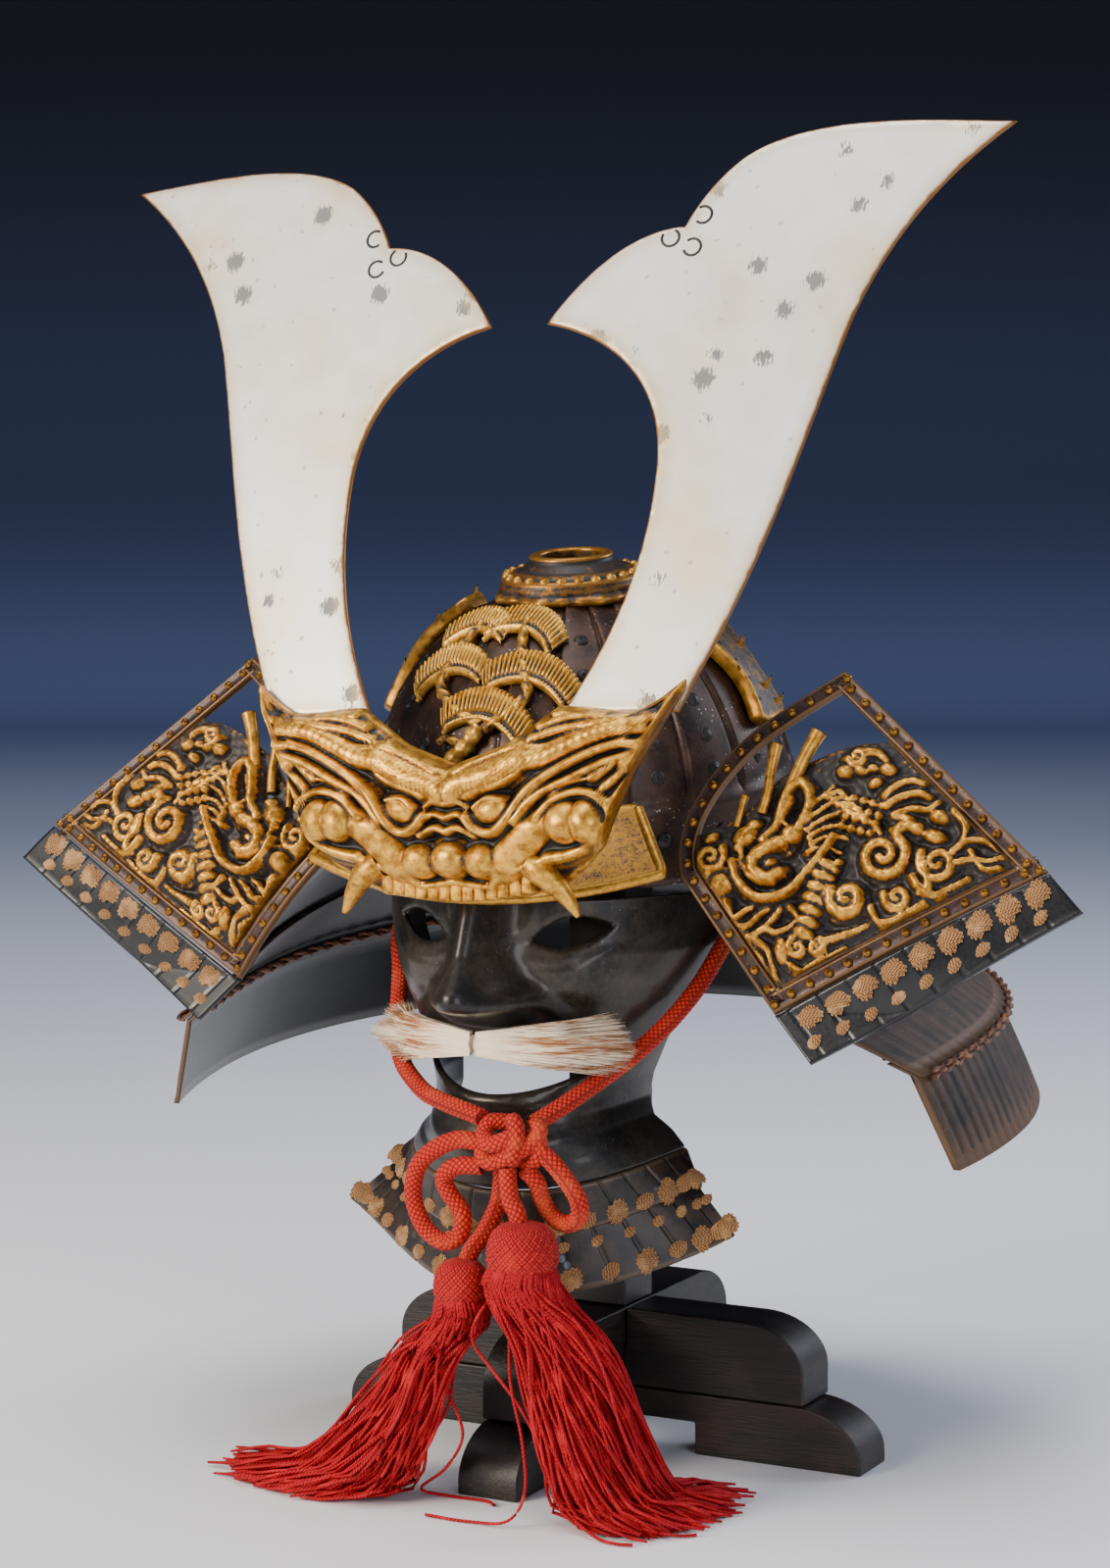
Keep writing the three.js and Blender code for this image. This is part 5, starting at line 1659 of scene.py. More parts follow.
@dataclass(frozen=True)
class Stand:
    """Crossed boards with rounded ends, a post and a pad."""

    board: float = 25.4
    foot_height: float = 24.0
    gap: float = 0.35
    foot_half: tuple[float, float] = (113.0, 103.0)  # sides, then front and back
    undercut_half: float = 43.0
    undercut_height: float = 12.7
    arm_top: float = 55.0
    arm_half: tuple[float, float] = (89.0, 84.0)
    foot_rounding: tuple[float, float] = (28.0, 19.0)
    arm_rounding: tuple[float, float] = (26.0, 19.0)
    post: float = 25.0
    pad_bottom: float = 290.0
    pad_radius: float = 24.0
    place: Place = Place(turned("z", -2.5), (5.0, 0.0, 0.0))

    def build(self) -> None:
        """Makes every board."""
        bottom = self.foot_height + self.gap
        middle = (bottom + self.arm_top) / 2
        half = self.board / 2 + self.gap
        foot = self.ends(-self.foot_half[0], self.foot_half[0], 0, self.foot_height, self.foot_rounding)
        under = [(-self.undercut_half, 0), (-self.undercut_half, self.undercut_height)]
        under += [(self.undercut_half, self.undercut_height), (self.undercut_half, 0)]
        self.plank("stand_foot_sides", [*under, *foot], 0)
        long = self.foot_half[1]
        block = self.rounded(self.undercut_half, long, 0, self.foot_height, self.foot_rounding)
        self.plank("stand_foot_front", block, -90)
        self.plank("stand_foot_back", block, 90)
        reach_x, reach_y = self.arm_half
        arm = self.ends(-reach_x, reach_x, bottom, self.arm_top, self.arm_rounding)
        cut = len(arm) // 2
        notch = [(half, self.arm_top), (half, middle), (-half, middle), (-half, self.arm_top)]
        self.plank("stand_arm_x", [*arm[:cut], *notch, *arm[cut:]], 0)
        arm = self.ends(-reach_y, reach_y, bottom, self.arm_top, self.arm_rounding)
        top = middle + self.gap
        notch = [(-half, bottom), (-half, top), (half, top), (half, bottom)]
        self.plank("stand_arm_y", [*notch, *arm], 90)
        side = self.post / 2
        square = [(-side, -side), (side, -side), (side, side), (-side, side)]
        self.upright("stand_post", square, self.arm_top + self.gap, self.pad_bottom)
        self.pad()

    def rounded(
        self, start: float, end: float, low: float, top: float, rounding: tuple[float, float]
    ) -> list:
        """Gives a block's outline, square at its start and rounded at the top of its end.

        Args:
            start: Where it starts along the board.
            end: Where it ends.
            low: Bottom height.
            top: Top height.
            rounding: Length and height of the rounding.

        Returns:
            Corners in order.
        """
        angle = np.linspace(0, np.pi / 2, 14)
        along, down = rounding
        arc = zip(end - along + along * np.cos(angle), top - down + down * np.sin(angle))
        return [(start, low), (end, low), *((float(x), float(z)) for x, z in arc), (start, top)]

    def ends(self, start: float, end: float, low: float, top: float, rounding: tuple[float, float]) -> list:
        """Gives a board's outline, rounded at the top of both ends.

        Args:
            start: Where it starts.
            end: Where it ends.
            low: Bottom height.
            top: Top height.
            rounding: Length and height of the rounding.

        Returns:
            Corners in order, from the bottom of the far end round to the bottom of the start.
        """
        right = self.rounded(0, end, low, top, rounding)[1:-1]
        left = [(start + end - x, z) for x, z in reversed(right)]
        return [*right, *left]

    def plank(self, name: str, outline: list, turn: float) -> None:
        """Makes a board from its side outline, with softened edges.

        Args:
            name: CAD node that it stands for.
            outline: Corners in order, along the board and up.
            turn: Direction of the board in degrees.
        """
        flat = np.array(outline)
        sides = [-self.board / 2, self.board / 2]
        layers = [np.stack([flat[:, 0], np.full(len(flat), y), flat[:, 1]], axis=1) for y in sides]
        finish = Finish.WOOD_X if turn == 0 else Finish.WOOD_Y
        self.prism(name, layers, finish, Place(turned("z", turn)))

    def upright(self, name: str, outline: list, low: float, top: float) -> None:
        """Makes a post from its section.

        Args:
            name: CAD node that it stands for.
            outline: Corners of the section.
            low: Bottom height.
            top: Top height.
        """
        flat = np.array(outline)
        layers = [np.stack([flat[:, 0], flat[:, 1], np.full(len(flat), z)], axis=1) for z in (low, top)]
        self.prism(name, layers, Finish.WOOD_Z, Place())

    def prism(self, name: str, layers: list[Array], finish: Finish, place: Place) -> None:
        """Joins two equal outlines into a body with bevelled edges.

        Args:
            name: CAD node that it stands for.
            layers: The two outlines.
            finish: Its material.
            place: Turn within the stand.
        """
        count = len(layers[0])
        number = np.arange(count)
        after = np.roll(number, -1)
        around = np.stack([number, after, after + count, number + count], axis=1)
        points = self.place(place(np.vstack(layers)))
        faces = [around, number[None, ::-1], number[None] + count]
        thing = piece(
            name + "_board", Skin(points, faces, np.zeros((2 * count, 2))), Look(
                finish.material(), "stand_wood", (name,)
            )
        )
        bevel = thing.modifiers.new("edges", "BEVEL")
        bevel.width, bevel.segments, bevel.angle_limit = 0.9 * MM, 2, np.radians(50)
        bevel.harden_normals = True

    def pad(self) -> None:
        """Makes the round pad under the bowl."""
        r, low = self.pad_radius, self.pad_bottom + self.gap
        heights = (
            (0.02, low), (r - 1.5, low), (r, low + 1.5), (r, low + 11), (r - 2, low + 16),
            (r - 8, low + 21), (0.02, low + 24)
        )
        profile = resampled(np.array(heights), 40)
        skin = lathe(profile, 64).placed(lambda points: points + (5.0, 0, 0))
        piece(
            "stand_head_pad_turned", skin, Look(Finish.WOOD_Z.material(), "stand_wood", ("stand_head_pad",))
        )


# ---------------------------------------------------------------------------- bowl and neck guard


HELMET = Place(turned("x", 8), (0.0, -11.0, 238.0))


@dataclass(frozen=True)
class Bowl:
    """The bowl of 20 overlapping riveted plates, and what is fixed on it."""

    radius: float = 80.5
    centre: float = 22.0  # height over the rim
    wall: float = 3.0
    plates: int = 20
    plate_step: float = 1.2
    band_height: float = 29.0

    def build(self) -> None:
        """Makes the bowl with its rivets, crown ring, pine branch, side ridges and brim."""
        self.plates_and_rivets()
        self.crown_ring()
        self.pine()
        for side in ("left", "right"):
            self.side_ridge(side)
        self.brim()

    def on(self, azimuth: Array, polar: Array, lift: Array) -> Array:
        """Finds points of the ball: azimuth from the front towards +X, polar angle from the crown.

        Args:
            azimuth: Degrees.
            polar: Degrees.
            lift: Millimetres off the surface.

        Returns:
            Points.
        """
        a, b, radius = np.radians(azimuth), np.radians(polar), self.radius + lift
        x, y = radius * np.sin(b) * np.sin(a), -radius * np.sin(b) * np.cos(a)
        return np.stack(np.broadcast_arrays(x, y, self.centre + radius * np.cos(b)), axis=-1)

    def beside(
        self, azimuth: float, polar: float, turn: float, across: Array, up: Array, lift: Array
    ) -> Array:
        """Finds points at distances from a place on the ball.

        Args:
            azimuth: Degrees to the place.
            polar: Degrees from the crown.
            turn: Degrees that the distances are turned by.
            across: Millimetres to the side.
            up: Millimetres up.
            lift: Millimetres off the ball.

        Returns:
            Points.
        """
        out = self.on(azimuth, polar, 0.0) - (0, 0, self.centre)
        out = out / np.linalg.norm(out)
        a, t = np.radians(azimuth), np.radians(turn)
        sideways = np.array([np.cos(a), np.sin(a), 0])
        upwards = np.cross(out, sideways)
        first = (across * np.cos(t) - up * np.sin(t))[..., None] * sideways
        second = (across * np.sin(t) + up * np.cos(t))[..., None] * upwards
        points = out * self.radius + first + second
        length = np.linalg.norm(points, axis=-1, keepdims=True)
        return points / length * (self.radius + np.asarray(lift))[..., None] + (0, 0, self.centre)

    def plates_and_rivets(self) -> None:
        """Makes the bowl.

        Each plate starts a step above its neighbour and sinks to the ball over its width. The bowl's lower
        band is a little wider, and the crown has a round hole.
        """
        stops = np.array([0, 0.025, 0.05, 0.1, 0.22, 0.36, 0.5, 0.64, 0.78, 0.88, 0.94, 0.97, 0.988])
        share = np.tile(stops, self.plates)[:, None]
        angle = (share + np.repeat(np.arange(self.plates), len(stops))[:, None]) * 2 * np.pi / self.plates
        rise = smooth(share, 0, 0.05) * (1 - smooth(share, 0.06, 0.95)) * self.plate_step
        groove = -0.5 * np.exp(-(((share - 0.985) / 0.02) ** 2))
        slope = np.radians(np.concatenate([np.linspace(8, 70, 36), np.linspace(71, 80.5, 6)]))[None, :]
        ball = self.radius + (rise + groove) * smooth(slope, np.radians(80), np.radians(74))
        upper_r, upper_z = ball * np.cos(slope), self.centre + ball * np.sin(slope) + 0 * angle
        heights = np.concatenate([np.linspace(0, self.band_height, 12), [self.band_height + 1.4]])[None, :]
        band = self.radius + 1.5 - 0.35 * np.cos(np.pi * share) ** 12 + 0 * heights
        band = np.where(heights > self.band_height, self.radius + 0.3, band)
        radius = np.concatenate([band, upper_r], axis=1)
        z = np.concatenate([heights + 0 * angle, upper_z], axis=1)
        front = np.stack([radius * np.sin(angle), -radius * np.cos(angle), z], axis=-1)
        inner = self.radius - self.wall
        in_slope = np.radians(np.linspace(0, 80, z.shape[1] - 6))[None, :]
        inner_r = np.concatenate([np.full((1, 6), inner), inner * np.cos(in_slope)], axis=1) + 0 * angle
        inner_z = np.concatenate(
            [np.linspace(0, 20, 6)[None], self.centre + inner * np.sin(in_slope)], axis=1
        ) + 0 * angle
        back = np.stack([inner_r * np.sin(angle), -inner_r * np.cos(angle), inner_z], axis=-1)
        skin = wall(front, back, wrap_rows=True).placed(HELMET)
        piece("bowl_plates", skin, Look(Finish.BOWL.material(), "bowl_bronze", ("bowl",)))
        rows = []
        for azimuth in (np.arange(self.plates) + 0.5) * 360 / self.plates:
            for polar in (35, 47, 58, 68, 77):
                if not self.covered(azimuth, polar):
                    rows.append((azimuth, polar, 0.35))
            rows.append((azimuth, 93.5, 1.5))
        at = np.array(rows)
        centres = self.on(at[:, 0], at[:, 1], at[:, 2])
        outs = self.on(at[:, 0], at[:, 1], 1.0) - self.on(at[:, 0], at[:, 1], 0.0)
        centres = centres + outs * np.where(at[:, 1] > 90, 0.2, 0.0)[:, None]
        skin = domes(centres, outs, 2.9, 1.3, 14).placed(HELMET)
        piece("bowl_rivets", skin, Look(Finish.RIVET_DARK.material(), "bowl_bronze"))

    def covered(self, azimuth: float, polar: float) -> bool:
        """Says whether the crown ring, pine branch or a side ridge covers a place on the bowl.

        Args:
            azimuth: Degrees.
            polar: Degrees.

        Returns:
            Whether it is covered.
        """
        away = (azimuth + 180) % 360 - 180
        on_ridge = abs(abs(away) - 90) < 14 and polar < 72
        on_pine = -45 < away < 26 and polar < 64
        return on_ridge or on_pine

    def crown_ring(self) -> None:
        """Makes the open ring round the crown's hole: a scalloped foot, a row of beads and a rolled lip."""
        seat = self.centre + self.radius + 0.35
        profile = np.array(
            [(13.4, -0.5), (30.3, -4.8), (31.6, -4.2), (32.0, -2.6), (30.8, -1.2), (29.2, -0.6),
             (28.6, 0.8), (27.6, 2.0),
             (27.6, 3.2), (26.6, 4.3), (24.6, 4.8), (23.0, 6.0), (20.0, 6.7), (18.2, 8.0), (16.6, 9.2),
             (16.0, 10.2),
             (16.3, 11.2), (15.4, 12.0), (13.6, 12.1), (12.2, 11.6), (12.3, 9.0), (13.3, 4.0)]
        ) + (0, seat)
        closed = np.vstack([profile, profile[:1] + (0, 0.01)])

        def scallop(angle: Array, reach: Array) -> Array:
            dip = np.abs(np.sin(4 * angle)) ** 1.5 * 0.07 + 0.02 * np.abs(np.sin(12 * angle))
            return 1 - dip * smooth(reach, 27.8, 30.5)

        body = lathe(resampled(closed, 80), 180, scallop)
        angle = np.arange(24) * 2 * np.pi / 24
        reach, height = 25.4, seat + 4.4
        centres = np.stack([reach * np.cos(angle), reach * np.sin(angle), np.full(24, height)], axis=1)
        outs = np.stack([0.45 * np.cos(angle), 0.45 * np.sin(angle), np.full(24, 0.893)], axis=1)
        skin = Skin.joined([body, domes(centres, outs, 2.0, 1.9, 14).toned(0.45)]).placed(HELMET)
        piece(
            "crown_ring_cast", skin,
            Look(Finish.BRONZE_CROWN.material(), "bowl_bronze", ("crown_ring",), wear_steps=7)
        )

    def pine(self) -> None:
        """Makes five fans of pine needles on one bent branch.

        A fan is a crescent: its needles spread from a rolled lower edge to rounded ends.
        """
        fans = (
            # azimuth, polar, turn, half width, needles
            (-1, 32, -12, 16, 21),
            (-29, 34, 22, 15, 19),
            (-27, 48, 24, 16.5, 21),
            (9, 49, -16, 18.5, 25),
            (-4, 60, -10, 19, 25),
        )
        skins = []
        for azimuth, polar, turn, half, needles in fans:
            side = np.linspace(-1, 1, needles * 6 + 1)[:, None]
            up = np.linspace(0, 1, 16)[None, :]
            stem = -0.42 * half * side**2
            needle = np.abs(np.cos(np.pi * needles * (side + 1) / 2))
            reach = 12.0 * (1 - 0.25 * side**2) * (0.76 + 0.24 * needle**0.7)
            across = side * half * (0.92 + 0.24 * up)
            height = stem - 1.5 + (reach + 1.5) * up
            roll = 1.5 * np.exp(-(((up - 0.1) / 0.07) ** 2)) - 0.7 * np.exp(-(((up - 0.24) / 0.06) ** 2))
            ridge = 1.25 * needle**0.8 * smooth(up, 0.16, 0.4)
            fall = (
                -2.2 * smooth(np.abs(side), 0.82, 1.0) - 1.6 * smooth(up, 0.93, 1.0)
                - 1.6 * smooth(up, 0.04, 0.0)
            )
            lift = 4.1 + 1.0 * up + roll + ridge + fall
            front = self.beside(azimuth, polar, turn, across, height, lift)
            back = self.beside(azimuth, polar, turn, across, height, 1.8 + 0 * lift)
            skins.append(wall(front, back).toned(0.12))
        routes = (
            # stops (azimuth, polar), radius, lift
            (((-15, 74), (-12, 71), (-8, 67), (-5, 62)), 2.9, 4.4),
            (((-4, 63), (6, 56), (8, 51), (2, 38), (-1, 28)), 2.0, 3.6),
            (((-5, 62), (-20, 56), (-27, 50), (-27, 29)), 2.0, 3.6),
            (((-8, 68), (-15, 66), (-19, 67)), 1.5, 3.0),
        )

        def knobs(along: Array, angle: Array) -> Array:
            return 1 + 0.13 * np.sin(along * 1.1 + np.cos(angle) * 2) + 0.08 * np.sin(3 * angle + along)

        for stops, radius, lift in routes:
            flat = curve_through(np.array(stops, float), 60)
            path = self.on(flat[:, 0], flat[:, 1], np.full(60, lift))
            skins.append(tube(path, radius, 14, knobs).toned(0.2 if radius > 2.5 else -0.35))
        skin = Skin.joined(skins).placed(HELMET)
        piece(
            "pine_branch_cast", skin,
            Look(Finish.GILT_PINE.material(), "gilt", ("pine_branch",), wear_steps=5)
        )

    def side_ridge(self, side: str) -> None:
        """Makes the raised spiny band down one side of the bowl.

        Its surface has scales in rows along it, between two rolled edges, and its spines curve outwards.

        Args:
            side: "left" or "right".
        """
        place = Place(HELMET.matrix, HELMET.offset, side == "right")
        along = np.linspace(0, 1, 120)[:, None]
        across = np.linspace(-1, 1, 44)[None, :]
        polar = 29 + 41 * along
        width = 12.5 * (0.82 + 0.18 * np.sin(along * 7)) * np.minimum(
            1, 3.2 * np.sqrt(np.minimum(along, 1 - along) + 0.03)
        )
        scale = (
            np.abs(np.sin(np.pi * (along * 7 + 0.25 * across**2)))
            * np.abs(np.cos(1.5 * np.pi * across)) ** 0.6
        )
        lift = 2.2 + 3.6 * np.sqrt(np.maximum(1 - across**2, 0)) + 1.5 * scale
        lift = lift + 1.6 * np.exp(-(((np.abs(across) - 0.86) / 0.09) ** 2))
        front, back = [], []
        for index in range(len(along)):
            row_lift = lift[index] * smooth(
                np.array([along[index, 0] * (1 - along[index, 0])]), 0, 0.02
            )[0] + 1.9
            offset = across[0] * width[index]
            front.append(self.beside(
                90, float(polar[index, 0]), 0, offset, 0 * offset, np.minimum(row_lift, 7.2)
            ))
            back.append(self.beside(90, float(polar[index, 0]), 0, offset, 0 * offset, 1.7 + 0 * offset))
        skins = [wall(np.array(front), np.array(back))]
        for index, polar in enumerate((32, 38, 44, 50, 56, 62, 67)):
            offset = (4.5, -5.5, 1.0)[index % 3]
            reach = (10.4, 7.5, 11.0)[index % 3]
            lifts = np.linspace(3.5, reach, 14)
            lean = np.linspace(0, 1, 14) ** 1.6
            path = self.beside(90, polar, 0, offset + lean * 2.5 * np.sign(offset), lean * 3, lifts)
            skins.append(tube(path, np.linspace(2.5, 0.35, 14) * 0.9, 12))
        look = Look(Finish.RIDGE.material(), "gilt", (f"side_ridge_{side}",), wear_steps=8)
        piece(f"side_ridge_{side}_cast", Skin.joined(skins).placed(place), look)

    def brim(self) -> None:
        """Makes the visor: a hollowed pan that slopes from the bowl out to a raised rim."""
        share = np.linspace(0, 1, 140)[:, None]
        down = np.linspace(0, 1, 30)[None, :]

        def place(share: Array, down: Array, lift: Array) -> Array:
            angle = np.radians(-38 + 76 * share)
            side = (share * 2 - 1) ** 2
            inner = self.radius + 1.85
            radius = inner + (107 + 9 * side - inner) * down + lift * 0.7
            height = 31 + (3.5 + 9 * side - 31) * down + lift * 0.7
            return np.stack(
                np.broadcast_arrays(radius * np.sin(angle), -radius * np.cos(angle), height), axis=-1
            )

        hollow = 1.1 * np.sin(np.pi * np.clip(down, 0, 1)) + 0.25 * np.sin(share * 40) * np.sin(down * 3)
        front, back = place(share, down, 2.4 - hollow), place(share, down, 0 * share * down)
        low = np.linspace(0.06, 0.92, 14)
        middle = np.linspace(0, 1, 200)
        path = np.vstack(
            [place(0 * low, low, 1.3 + 0 * low), place(middle, 1 + 0 * middle, 1.3 + 0 * middle)[1:-1],
             place(1 + 0 * low, low[::-1], 1.3 + 0 * low)]
        )
        rim = tube(resampled(path, 240), 2.0, 12)
        skin = Skin.joined([wall(front, back).toned(0.25), rim.toned(0.1)]).placed(HELMET)
        piece("brim_pan", skin, Look(Finish.GILT_PAN.material(), "gilt", ("brim",), wear_steps=6))


@dataclass(frozen=True)
class Lame:
    """One lame of the neck guard: its top, middle and bottom heights, and its offset outwards."""

    number: int
    rows: tuple[float, ...]
    outward: float


@dataclass(frozen=True)
class NeckGuard:
    """Three flared lames round the back, laced together."""

    levels: Array = field(
        default_factory=lambda: np.array(
            # height, half width, depth at the back, x and y of the front edge
            [
                (-103, 172, 147, 164, -53.5), (-66, 157, 137, 151, -60), (-34, 117, 109, 103, -84.8),
                (3, 75.6, 75.6, 79.2, -78)
            ],
            float,
        )
    )
    lames: tuple[Lame, ...] = (
        Lame(1, (3, -32), 6.9), Lame(2, (-28, -34, -66), 3.3), Lame(3, (-61, -66, -103), 0.0)
    )
    wall_thickness: float = 1.8
    rib: float = 1.1
    ribs: int = 72
    back_share: float = 0.76

    def build(self) -> None:
        """Makes the lames and their lacing."""
        for lame in self.lames:
            self.lame(lame)
        self.lacing()

    def at(self, height: Array, turn: Array, outward: Array) -> Array:
        """Finds points of the neck guard.

        Args:
            height: Millimetres over the rim.
            turn: From -1, the front edge at -X, round the back to 1 at +X.
            outward: Millimetres outwards.

        Returns:
            Points.
        """
        height, turn, outward = np.broadcast_arrays(height, turn, outward)
        table = [np.interp(height, self.levels[:, 0], self.levels[:, column]) for column in (1, 2, 3, 4)]
        half, depth, end_x, end_y = table
        reach, side = np.abs(turn), np.sign(turn)
        angle = np.minimum(reach / self.back_share, 1) * np.pi / 2
        share = np.clip((reach - self.back_share) / (1 - self.back_share), 0, 1)
        behind = reach <= self.back_share
        x = np.where(behind, (half + outward) * np.sin(angle), half + (end_x - half) * share**2 + outward)
        y = np.where(behind, (depth + outward) * np.cos(angle), end_y * share)
        return np.stack([side * x, y, height.astype(float)], axis=-1)

    def lame(self, lame: Lame) -> None:
        """Makes one lame: ribbed outside, smooth inside, with a thickened lower edge.

        Args:
            lame: Which one.
        """
        turn = np.linspace(-1, 1, self.ribs * 6 + 1)[:, None]
        rows = np.array(lame.rows, float)
        down = np.linspace(0, 1, 15)[None, :]
        height = np.interp(down, np.linspace(0, 1, len(rows)), rows)
        rib = np.abs(np.sin(np.pi * self.ribs * (turn + 1) / 2)) ** 0.5
        fade = smooth(down, 0.0, 0.08) * smooth(down, 1.0, 0.9) * smooth(1 - np.abs(turn), 0.0, 0.008)
        roll = 0.5 * smooth(down, 0.93, 0.97)
        lift = self.wall_thickness + self.rib * (0.15 + 0.85 * rib * fade) + roll
        front, back = self.at(height, turn, lame.outward + lift), self.at(
            height, turn, lame.outward + 0 * lift
        )
        name = f"neck_lame_{lame.number}"
        look = Look(Finish.LACQUER_RIBBED.material(), "black_lacquer", (name,), wear_steps=3)
        thing = piece(name + "_ribbed", wall(front, back).placed(HELMET), look)
        thing.data.materials.append(Finish.LACQUER.material())
        size = len(front.reshape(-1, 3))
        for polygon in thing.data.polygons:
            if all(vertex >= size for vertex in polygon.vertices):
                polygon.material_index = 1

    def lacing(self) -> None:
        """Makes the laces: a twisted cord inside at the joint of the lower lames, and outside bands."""
        skins = []
        turn = np.linspace(-0.985, 0.985, 1500)
        for height, outward, ply_radius, offset in (
            (-59.5, -1.4, 0.95, 0.9), (-66.2, 6.6, 1.0, 1.1), (-32.8, 10.3, 0.9, 0.9)
        ):
            line = self.at(height + 0 * turn, turn, outward + 0 * turn)
            line = resampled(line, 1500)
            along = np.linspace(0, 1, 1500) * np.linalg.norm(np.diff(line, axis=0), axis=1).sum()
            steps = np.gradient(line, axis=0)
            steps /= np.linalg.norm(steps, axis=1, keepdims=True)
            up = np.array([0, 0, 1.0])
            out = np.cross(up, steps)
            for phase in (0, np.pi):
                angle = along * 2 * np.pi / 19 + phase
                path = line + offset * (
                    np.sin(angle)[:, None] * up * 1.25 + np.cos(angle)[:, None] * out * 0.6
                )
                skins.append(tube(path[::4], ply_radius, 5))
        skin = Skin.joined(skins).placed(HELMET)
        piece("neck_guard_laces", skin, Look(Finish.LACE_BROWN.material(), "black_lacquer"))


# ---------------------------------------------------------------------------- relief drawn on a field


@dataclass(frozen=True)
class Swell:
    """A rounded boss: centre, half axes, turn in degrees and rise."""

    x: float
    y: float
    half_x: float
    half_y: float
    rise: float
    turn: float = 0.0

    def wider(self) -> "Swell":
        """Gives the soft mass under the boss."""
        return Swell(self.x, self.y, self.half_x * 1.35, self.half_y * 1.35, self.rise * 0.5, self.turn)

    def lift(self, x: Array, y: Array) -> Array:
        """Gives the height of half an ellipsoid at each place.

        Args:
            x: First coordinate.
            y: Second coordinate.

        Returns:
            Millimetres.
        """
        c, s = np.cos(np.radians(self.turn)), np.sin(np.radians(self.turn))
        u, v = (x - self.x) * c + (y - self.y) * s, -(x - self.x) * s + (y - self.y) * c
        return self.rise * np.sqrt(np.maximum(1 - (u / self.half_x) ** 2 - (v / self.half_y) ** 2, 0))


@dataclass(frozen=True)
class Stroke:
    """A ridge along a smooth line that narrows from its start to its end."""

    stops: Outline
    width: float  # half width at the start
    rise: float
    end: float = 0.5  # share of the width left at the end
    hair: float = 0.0  # depth of fine cross lines

    def wider(self) -> "Stroke":
        """Gives the soft mass under the ridge."""
        return Stroke(self.stops, self.width * 1.5 + 1.0, self.rise * 0.5, self.end)

    def lift(self, x: Array, y: Array) -> Array:
        """Gives the height of the ridge, with a round section, at each place.

        Args:
            x: First coordinate.
            y: Second coordinate.

        Returns:
            Millimetres.
        """
        line = curve_through(np.array(self.stops, float), 6 + 5 * len(self.stops))
        low, high = line.min(axis=0) - self.width, line.max(axis=0) + self.width
        near = (x > low[0]) & (x < high[0]) & (y > low[1]) & (y < high[1])
        height = np.zeros(x.shape)
        if near.any():
            gap, share = distance_to_line(x[near], y[near], line)
            width = self.width * (1 + (self.end - 1) * share)
            ridge = np.sqrt(np.maximum(1 - (gap / width) ** 2, 0)) * self.rise * (
                0.6 + 0.4 * width / self.width
            )
            if self.hair:
                ridge -= self.hair * (ridge > 0) * np.abs(np.sin(share * len(self.stops) * 9 + gap * 0.5))
            height[near] = ridge
        return height


def spiral(
    x: float, y: float, radius: float, turns: float, start: float, width: float, rise: float,
    tail: Outline = ()
) -> Stroke:
    """Draws a curl: a line that winds inwards, with a tail before it.

    Args:
        x: Middle.
        y: Middle.
        radius: Outer radius.
        turns: Windings, negative for clockwise.
        start: Angle in degrees where the winding starts.
        width: Half width of the ridge.
        rise: Its height.
        tail: Points before the winding.

    Returns:
        The ridge.
    """
    share = np.linspace(0, 1, max(int(abs(turns) * 9), 6))
    angle = np.radians(start) + share * turns * 2 * np.pi
    reach = radius * (1 - 0.85 * share)
    winding = zip(x + reach * np.cos(angle), y + reach * np.sin(angle))
    return Stroke((*tail, *((float(a), float(b)) for a, b in winding)), width, rise, 0.8)


def relief(x: Array, y: Array, parts: Sequence[Swell | Stroke]) -> Array:
    """Lays several shapes over each other, each on a soft mass: the highest shows at each place.

    Args:
        x: First coordinate.
        y: Second coordinate.
        parts: The shapes.

    Returns:
        Millimetres.
    """
    masses = np.max(np.stack([part.wider().lift(x, y) for part in parts]), axis=0)
    ridges = np.max(np.stack([part.lift(x, y) for part in parts]), axis=0)
    return masses + 0.55 * ridges


# ---------------------------------------------------------------------------- crest and horns


CREST_TURN = turned("y", -2.05)
CREST_PIVOT = np.array([0.0, 0.0, 280.0])


def on_crest(points: Array) -> Array:
    """Leans the crest and its horns sideways, as they sit on their hook.

    Args:
        points: Upright points.

    Returns:
        Leaning points.
    """
    return (points - CREST_PIVOT) @ CREST_TURN.T + CREST_PIVOT


